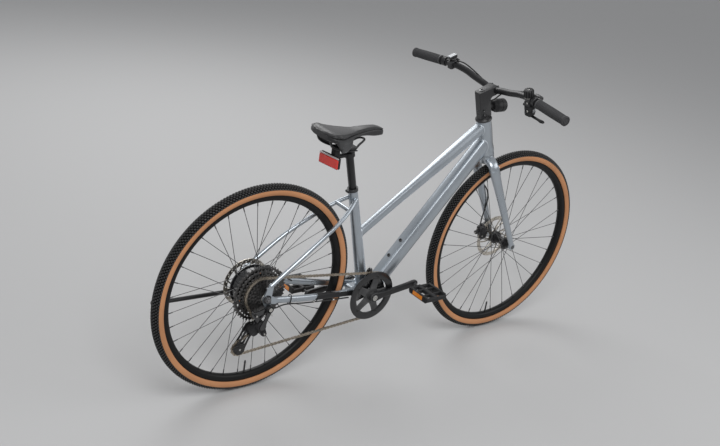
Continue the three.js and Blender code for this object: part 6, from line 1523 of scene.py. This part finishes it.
AXLE_IN_STEERING = v(44, 0, -395)
BRAKE_Y = 220
RESERVOIR_END_Y = 186
POD_Y = 188
LEVER_OUT = v(math.cos(math.radians(40)), 0, -math.sin(math.radians(40)))
LEVER_UP = v(-LEVER_OUT.z, 0, LEVER_OUT.x)
LIGHT_AXIS = v(math.sin(HEAD_ANGLE), 0, -math.cos(HEAD_ANGLE))
LIGHT_BACK = v(65, 0, 162) - LIGHT_AXIS * 26
STEM_BACK_X = 21.3


def bar_point(i, side, half=BAR_HALF):
    """A knot of the bar's centre line, from the middle to the end on one side."""
    return v(BAR_CENTRE.x + 18 * BAR_SWEEP[i], side * half * BAR_Y[i], BAR_CENTRE.z + 36.3 * BAR_RISE[i])


def on_bar(y):
    """The bar's centre line at a distance to one side of the middle."""
    share = abs(y) / BAR_HALF
    i = max(k for k in range(7) if BAR_Y[k] <= share)
    place = (share - BAR_Y[i]) / (BAR_Y[i + 1] - BAR_Y[i])
    side = math.copysign(1, y)
    return bar_point(i, side).lerp(bar_point(i + 1, side), place)


SHIFTER_PIVOT = on_bar(-POD_Y) + v(-8, -5, -34)


def steering_shape(body="steering"):
    return Shape(body, STEERING)


def add_fork():
    profile = [(14.6, -26), (24.4, -26.6), (26.4, -22), (27.6, -8), (28, -1), (27.6, -0.4), (14.6, -0.4)]
    fork = steering_shape().lathe(profile, ORIGIN, UP, 64)
    arch = (
        (-1, -52.5, 1.16), (-0.86, -28.5, 1.12), (0, -13.5, 1.25), (0.86, -28.5, 1.12), (1, -52.5, 1.16),
    )
    centres = [v(-6.5 * abs(share), 46 * share, z) for share, z, _ in arch]
    rings = []
    for k in range(33):
        at, heading = catmull(centres, k / 32)
        size = along([grow for _, _, grow in arch], k / 32)
        up = AHEAD.cross(heading).normalized()
        rings.append(oval(at, AHEAD, up, 17 * size, 11 * size, 2.4, 28))
    fork.skin(rings)
    for side, _ in SIDES:
        top, low = v(-6.5, 46 * side, -42), v(44, 57 * side, -389)
        blade = [top, *(top.lerp(low, share) for share in (0.2, 0.6)), low]
        fork.tube(blade, (12, 6), (20.5, 10), 2.4, 32, 28)
        fork.across(AXLE_IN_STEERING, side * 50.4, side * 62.6, 11.9, 36, 1)
    fork.piece("fork_blades_and_crown", PAINT, "fork")
    axle = steering_shape().across(AXLE_IN_STEERING, -62.9, 62.9, 5.8)
    for side, _ in SIDES:
        axle.lathe(ring_section(0.5, 8, side * 62.6, side * 63), AXLE_IN_STEERING, sides=32)
    axle.rod(v(0, 0, -20), v(0, 0, STEM_TOP - 10), 14.2, sides=40)
    axle.piece("front_axle_and_steerer", BLACK_ALLOY)


def add_headset_cover():
    profile = (
        (14.8, 0.4), (27.6, 0.4), (28.5, 1.2), (28.5, 4), (26.4, 7.6), (21.5, 10.6), (20.8, 11.2),
        (14.8, 11.2),
    )
    shape = steering_shape().lathe([(r, HEAD_TOP + rise) for r, rise in profile], ORIGIN, UP, 64)
    shape.piece("top_race_cover", BLACK_ALLOY, "headset_cover")


def stem_width(x):
    """Half the stem's width at a place along it."""
    for (x0, w0), (x1, w1) in zip(STEM_WIDTHS, STEM_WIDTHS[1:]):
        if x <= x1:
            return mix(w0, w1, (x - x0) / (x1 - x0))


def add_stem():
    middle_x, middle_z = STEM_MIDDLE
    rings = []
    for share, pull in ((-1, 1 - 1.4 / 60), (-0.93, 1), (0.93, 1), (1, 1 - 1.4 / 60)):
        ring = []
        for x, z in STEM_OUTLINE:
            ring.append(v(mix(middle_x, x, pull), share * stem_width(x), mix(middle_z, z, pull)))
        rings.append(ring)
    steering_shape().skin(rings).piece("stem_body", BLACK_ALLOY, "stem", sharp=40, bevel=0.6)
    bolts = steering_shape().bolt(v(0, 0, 246.4), UP, 9, 2.6, 32)
    for y in (-14, 14):
        for z in (222.6, 241.6):
            bolts.bolt(v(59.6, y, z), AHEAD, 3.4, 2.4)
    for z in (161, 176):
        bolts.bolt(v(-20.4, 0, z), -AHEAD, 3.6, 2.6)
        bolts.bolt(v(-8, -16.6, z), -ACROSS, 3.6, 2.2)
    bolts.piece("stem_bolts", GLOSS_BLACK, slot="axle_steel")
    # A thin matte black slab along the face plate's join: painted shade in the gap between face plate and
    # stem.
    gap = steering_shape().blocks(ORIGIN, ((51.2, -20.2, 217.6), (52.2, 20.2, 247.4), 0.2))
    gap.piece("face_plate_gap_shade", PLASTIC)


def add_handlebar():
    half = BAR_HALF - 3.6
    points = [bar_point(i, -1, half) for i in range(7, 0, -1)] + [bar_point(i, 1, half) for i in range(8)]
    bar = steering_shape().tube(points, 11, 11, 2, 96, 32, level=AHEAD)
    bar.piece("handlebar_tube", BLACK_ALLOY, "handlebar")


def add_grips():
    for side, label in SIDES:
        a, b = on_bar(side * 234.4), on_bar(side * BAR_HALF)
        axis = (b - a).normalized()
        length = (b - a).length
        outline = [(11.4, 0), (16.4, 0.2), (16.4, 4.5), (15.4, 5.4)]
        for i in range(22):
            start = 8 + (length - 22) * i / 22
            puff = 0.6 * math.sin(math.pi * (i + 0.5) / 22)
            rib = ((14.7, 0), (15.6, 0.9), (15.6, 3.4), (14.7, 4.3))
            outline += [(r + puff, start + h) for r, h in rib]
        outline += [(r, length - h) for r, h in ((15.4, 8), (16.5, 7), (16.5, 1.6), (15, 0.2), (11.4, 0.2))]
        shape = steering_shape().lathe(outline, a, axis)
        shape.rod(a + axis * (length - 3), a + axis * (length - 0.1), 11.6, 10.2, sides=32)
        shape.piece(f"{label}_grip_sleeve", GRIP, f"{label}_grip", sharp=50)
        ring = steering_shape().lathe([(15.9, 1), (16.5, 1.3), (16.5, 4.2), (15.9, 4.5)], a, axis)
        ring.piece(f"{label}_grip_lock_ring", BLACK_ALLOY)


def collar_on_bar(shape, y, side):
    a, b = on_bar(side * (y - 7)), on_bar(side * (y + 7))
    shape.lathe(ring_section(11.5, 16, 0, (b - a).length, 0.8, 0.8), a, (b - a).normalized(), 40)


def add_perch(side, label, pivot):
    clamp = on_bar(side * BRAKE_Y)
    perch = steering_shape()
    collar_on_bar(perch, BRAKE_Y, side)
    under = pivot - LEVER_UP * 4.4
    arm_end = under - LEVER_UP * 4
    perch.rod(arm_end, under, 7.4, sides=24, chamfer=0.6)
    perch.rod(pivot + LEVER_UP * 4.1, pivot + LEVER_UP * 5.4, 4.6)
    perch.rod(arm_end, pivot + LEVER_UP * 4.6, 2.4, sides=16)
    arm_start = clamp + LEVER_OUT * 13 - LEVER_UP * 6
    rings = []
    for k in range(9):
        at = arm_start.lerp(arm_end, k / 8)
        rings.append(oval(at, ACROSS, LEVER_UP, mix(6.6, 5, k / 8), 3.8, 3, 20))
    perch.skin(rings)
    start = clamp + v(27, 0, 0)
    end = on_bar(side * RESERVOIR_END_Y) + v(27, 0, 0)
    axis = (end - start).normalized()
    length = (end - start).length
    profile = [(5.4, 0), (7.4, 1.4), (8, 3)]
    profile += [(r, length - h) for r, h in ((8, 8), (6.8, 6), (6.6, 1), (5.6, 0))]
    perch.lathe(profile, start, axis, 28, closed=False)
    perch.rod(start + v(-13.5, 0, 0), start, 4.2)
    perch.piece(f"{label}_brake_body", BLACK_ALLOY, f"{label}_brake_perch", bevel=0.3)
    fittings = steering_shape().bolt(start + v(-13.6, 0, 7), UP, 2.6, 1.8, 14)
    fittings.rod(end, end + axis * 3, 3.6, sides=6)
    fittings.bolt(pivot + LEVER_UP * 5.2, LEVER_UP, 3.2, 1.2)
    fittings.piece(f"{label}_brake_bolts", BOLT_STEEL)


def add_brakes():
    for side, label in SIDES:
        pivot = on_bar(side * BRAKE_Y) + LEVER_OUT * 46
        add_perch(side, label, pivot)
        shares = ((0.05, 0), (0.3, 1.4), (0.7, 0), (1, -0.8))
        line = [pivot + v(0, side * 92 * out, 0) + LEVER_OUT * 4 * ahead for out, ahead in shares]
        rings = []
        for k in range(33):
            share = k / 32
            middle, heading = catmull(line, share)
            wide = mix(6, 4.6, min(1, share * 3)) + max(0, share - 0.9) * 10
            thick = 3.5 - max(0, share - 0.95) * 18
            rings.append(oval(middle, squared(LEVER_OUT, heading), LEVER_UP, wide, thick, 2.6, 20))
        blade = steering_shape(f"{label}_brake_lever").skin(rings)
        blade.lathe(ring_section(2.95, 6.5, -3.9, 3.9, 0.3, 0.4), pivot, LEVER_UP, 28)
        blade.piece(f"{label}_lever_blade", BLACK_ALLOY, f"{label}_brake_lever")


def add_shifter():
    clamp = on_bar(-POD_Y)
    pod = steering_shape()
    collar_on_bar(pod, POD_Y, -1)
    knob = clamp + v(-4, 0, 0)
    ribs = [(angle, 14.5 if k % 6 in (3, 4) else 16.9) for k, angle in enumerate(turns(72))]
    rings = []
    for height, shrink in ((8, 0.9), (12, 1), (30, 1), (33.4, 0.93), (35, 0.8)):
        rings.append([knob + v(*polar(r * shrink, a), height) for a, r in ribs])
    pod.skin(rings)
    pod.rod(knob, knob + v(0, 0, 10), 14, sides=40)
    pod.blocks(knob, ((-17, -13, -22), (12, 9, 7), 4))
    pod.rod(knob + v(-16, 8, -12), knob + v(-16, -17, -12), 5.4, sides=24, chamfer=1)
    low = SHIFTER_PIVOT - v(0, 0, 18)
    profile = [
        (0.6, 0), (13.6, 0), (16.4, 2), (17, 4), (17, 13), (16.2, 14), (16.2, 17), (17, 18), (17, 31),
        (15.6, 34.6), (11, 36), (0.6, 36),
    ]
    pod.lathe(profile, low, UP)
    pod.rod(low - v(0, 0, 6.6), low, 2.4, sides=16)
    pod.piece("shifter_body", PLASTIC, "shifter_pod", sharp=40)
    trim = steering_shape()
    trim.bolt(knob + v(0, 0, 34.4), UP, 2.6, 0.8, 20)
    trim.bolt(knob + v(-17, -9, -4), -AHEAD, 3.6, 1.8, 18)
    trim.bolt(knob + v(-17, 2, 2), -AHEAD, 2.0, 1.4, 14)
    trim.lathe(ring_section(14.2, 16.2, 9.2, 10.6), knob, UP, 40)
    trim.bolt(SHIFTER_PIVOT + v(-15.4, -5, 2), v(-1, -0.3, 0), 3.8, 2.4, 18)
    trim.bolt(clamp + v(-14.8, 0, -3), -AHEAD, 2.6, 1.8, 14)
    trim.piece("shifter_screws", BOLT_STEEL)
    glass = steering_shape().blocks(SHIFTER_PIVOT, ((-3.4, -17.2, -6), (10, -12, 8), 1.5))
    glass.piece("gear_window", CLEAR)


def add_shift_levers():
    for name, drop, tip, width in (
        ("shift_lever", 18.3, v(-6.8, -62, 0), 12), ("release_lever", 21.6, v(26, 9, 0), 9.6),
    ):
        eye = SHIFTER_PIVOT - UP * drop
        paddle = steering_shape(name)
        paddle.lathe(ring_section(2.95, 6.4, -2.9, -0.1), eye, UP, 28)
        heading = tip.normalized()
        rings = []
        for k in range(13):
            share = k / 12
            middle = eye + heading * mix(5.6, tip.length + width * 0.62, share) - UP * 1.5
            wide = width / 2 * mix(0.92, 1.35, max(0, min(1, (share - 0.6) * 4)))
            wide *= 0.45 if share == 1 else 0.8 if share > 0.9 else 1
            rings.append(oval(middle, heading.cross(UP), UP, wide, 1.4, 4, 20))
        paddle.skin(rings).piece(f"{name}_paddle", PLASTIC, name, bevel=0.2)


def add_display():
    clamp = on_bar(POD_Y)
    seat = clamp + v(0, 0, 21)
    case = steering_shape()
    collar_on_bar(case, POD_Y, 1)
    case.rod(clamp + v(0, 0, 12), seat + v(0, 0, 2), 6.8, sides=24)
    case.blocks(clamp, ((-17, -12, -16), (14, 12, 14), 4))
    case.blocks(seat, ((-15, -9.6, 0), (18, 9.6, 10.6), 2.2), ((-11, -16, -1), (11, 16, 4), 2))
    case.piece("display_case", BLACK_ALLOY, "display", "motor_shell", bevel=0.8)
    glass = steering_shape().blocks(seat, ((-13.6, -7.8, 9.8), (16.6, 8.4, 10.9), 0.3))
    glass.piece("display_screen", SCREEN)
    at = clamp + v(-15, 0, 27.5)
    button = steering_shape("display_button")
    button.rod(at + v(-1.5, 0, 0), at + v(3.7, 0, 0), 3.9, sides=28, chamfer=0.5)
    button.piece("display_push_button", BUTTON, "display_button")


def add_headlight():
    body = steering_shape().lathe(
        [
            (0.6, 0), (12, 0), (16.6, 1.4), (17.6, 4), (20.6, 10), (22.6, 15), (23, 18), (23, 31),
            (21.8, 32), (21.8, 33.6), (23, 34.6), (23, 50.8), (22.4, 52), (21.2, 52), (20.9, 50),
            (20.9, 44.6), (0.6, 44.2),
        ],
        LIGHT_BACK, LIGHT_AXIS, 56,
    )
    for k in range(6):
        fin = [(14, 0), (mix(18.4, 22.4, k / 5), 0), (mix(18.6, 22.6, k / 5), 0.9), (14, 0.9)]
        body.lathe(fin, LIGHT_BACK + LIGHT_AXIS * (5 + 2.1 * k), LIGHT_AXIS, 56)
    arm = v(STEM_BACK_X, 0, 173.5)
    body.blocks(arm, ((0, -7.6, -7.6), (4, 7.6, 7.6), 1.2))
    body.rod(arm + v(2, 0, 0), LIGHT_BACK + LIGHT_AXIS * 13, 7.4, 6.6, sides=24)
    body.piece("headlight_shell", PLASTIC, "headlight_housing", bevel=0.3)
    bowl = steering_shape()
    profile = [(3, 44.7), (9, 44.8), (16, 45.6), (20.2, 47.6), (20.6, 47.6), (20.6, 44.6)]
    bowl.lathe(profile, LIGHT_BACK, LIGHT_AXIS)
    bowl.rod(LIGHT_BACK + LIGHT_AXIS * 44.5, LIGHT_BACK + LIGHT_AXIS * 46.4, 2.9)
    bowl.piece("headlight_reflector", MIRROR)
    profile = [(0.5, 47.8), (20.4, 47.8), (20.6, 48.4), (20.6, 49.6), (14, 50.2), (0.5, 50.6)]
    glass = steering_shape().lathe(profile, LIGHT_BACK, LIGHT_AXIS, 56)
    glass.piece("headlight_glass", CLEAR, "headlight_lens")


def add_front_caliper():
    centre = AXLE_IN_STEERING + v(-50, 39.5, 48)
    shape = steering_shape().blocks(
        centre,
        ((-17.6, -10.8, -27.6), (8, -2, 27.6), 3),
        ((-17.6, 2, -27.6), (8, 10.8, 27.6), 3),
        ((-17.8, -10.8, -22), (-12, 10.8, 22), 2),
        ((0, 2.4, -22), (38, 17.1, 22), 2),
    )
    shape.rod(centre + v(-4, -10.6, 6), centre + v(-4, -12, 6), 8, sides=28)
    shape.blocks(centre, ((2, -10.8, -24), (16, -2, 2), 2.4))
    shape.rod(centre + v(-16, 4, 8), centre + v(-32, 4, 8), 7.5, sides=24, chamfer=1)
    shape.rod(centre + v(-2, 5, 26), centre + v(-2, 5, 33), 4.4, sides=16, chamfer=0.6)
    shape.piece("front_brake_body", BLACK_ALLOY, "front_caliper", bevel=0.5)
    bolts = steering_shape()
    for z in (-16, 16):
        bolts.bolt(centre + v(-17.4, 8, z), -AHEAD, 3.2, 2)
        bolts.bolt(centre + v(-4, 10.6, z), ACROSS, 3.2, 1.6)
    bolts.bolt(centre + v(-12, -10.6, -12), -ACROSS, 3.2, 1.4)
    bolts.bolt(centre + v(10, -10.6, -16), -ACROSS, 3.6, 1.4)
    bolts.bolt(centre + v(-31.8, 4, 8), -AHEAD, 4, 1.6)
    bolts.piece("front_brake_bolts", BOLT_STEEL)
    line = [
        v(17, 47, -150), v(26, 39, -175), v(30, 38.6, -205), v(26, 40.6, -235), v(14, 43, -264),
        v(-2, 44.4, -296), centre + v(-2, 5, 32),
    ]
    steering_shape().hose(line, 2.4, 60).piece("front_brake_line", HOSE)


def add_bar_hoses():
    """The two hoses from the brakes to a collar on the stem, and the bundle from there to the crown."""
    collar = v(STEM_BACK_X, 0, 202.2)
    shape = steering_shape().blocks(collar, ((0, -8.8, -8.8), (8.8, 8.8, 0), 1.6))
    middle = collar + v(4.5, 0, -4.5)
    for side, _ in SIDES:
        start = on_bar(side * RESERVOIR_END_Y) + v(27, -side * 0.3, 0)
        line = [
            start,
            start + v(2.5, -side * 34, -2.5),
            BAR_CENTRE + v(14.43, side * 42, -5.55),
            BAR_CENTRE + v(9.99, side * 22.75, -21.1),
            v(middle.x + 18, side * 9, middle.z),
            v(middle.x, side * 4.5, middle.z),
        ]
        shape.hose(line, 2.4, 70)
    clear_x = 31.6
    dodge_y = 23 / 3 + 5
    cover_top = HEAD_TOP + 11.3
    down = [
        v(middle.x, 4.5, middle.z),
        v(clear_x - 2.5, dodge_y, mix(middle.z, cover_top, 0.4)),
        v(clear_x, dodge_y / 2, cover_top),
        v(clear_x, 0, HEAD_TOP * 0.75),
        v(clear_x, 0, HEAD_FOOT + 26),
        v(clear_x + 2.5, 0, 0),
        v(28, 0, -18),
    ]
    shape.hose(down, 2.4, 80)
    shape.piece("bar_hose_lines", HOSE, "bar_hoses")


add_fork()
add_headset_cover()
add_stem()
add_handlebar()
add_grips()
add_brakes()
add_shifter()
add_shift_levers()
add_display()
add_headlight()
add_front_caliper()
add_bar_hoses()


# The battery stays as modelled

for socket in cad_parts["battery_pack"].material_slots:
    socket.material = PLASTIC


# Studio

FLOOR_REACH = 30
FLOOR_COLOUR = (0.50, 0.50, 0.50, 1)
SKY_COLOUR = (0.86, 0.87, 0.89, 1)
LIGHT_AIM = v(0, 0, 0.5)
LIGHTS = (
    ("key", v(-1.6, -2.2, 3.4), 2.2, 78),
    ("fill", v(2.6, -2.4, 2.2), 2.4, 30),
    ("rim", v(0.6, 2.8, 2.8), 2.4, 52),
)


def add_studio():
    floor = bpy.data.materials.new("pale_floor")
    floor.use_nodes = True
    shader = floor.node_tree.nodes["Principled BSDF"]
    shader.inputs["Base Color"].default_value = FLOOR_COLOUR
    shader.inputs["Roughness"].default_value = 0.85
    mesh = bpy.data.meshes.new("floor")
    corners = [(x * FLOOR_REACH, y * FLOOR_REACH, 0) for x, y in ((-1, -1), (1, -1), (1, 1), (-1, 1))]
    mesh.from_pydata(corners, [], [(0, 1, 2, 3)])
    mesh.materials.append(floor)
    ground = bpy.data.objects.new("floor", mesh)
    bpy.context.collection.objects.link(ground)
    for name, at, size, power in LIGHTS:
        data = bpy.data.lights.new(name, "AREA")
        data.shape = "SQUARE"
        data.size = size
        data.energy = power
        lamp = bpy.data.objects.new(name, data)
        lamp.location = at
        lamp.rotation_euler = (LIGHT_AIM - at).to_track_quat("-Z", "Y").to_euler()
        bpy.context.collection.objects.link(lamp)
    world = bpy.data.worlds.new("studio")
    world.use_nodes = True
    sky = world.node_tree.nodes["Background"]
    sky.inputs["Color"].default_value = SKY_COLOUR
    sky.inputs["Strength"].default_value = 0.5
    bpy.context.scene.world = world
    bpy.context.scene.view_settings.view_transform = "Standard"


add_studio()
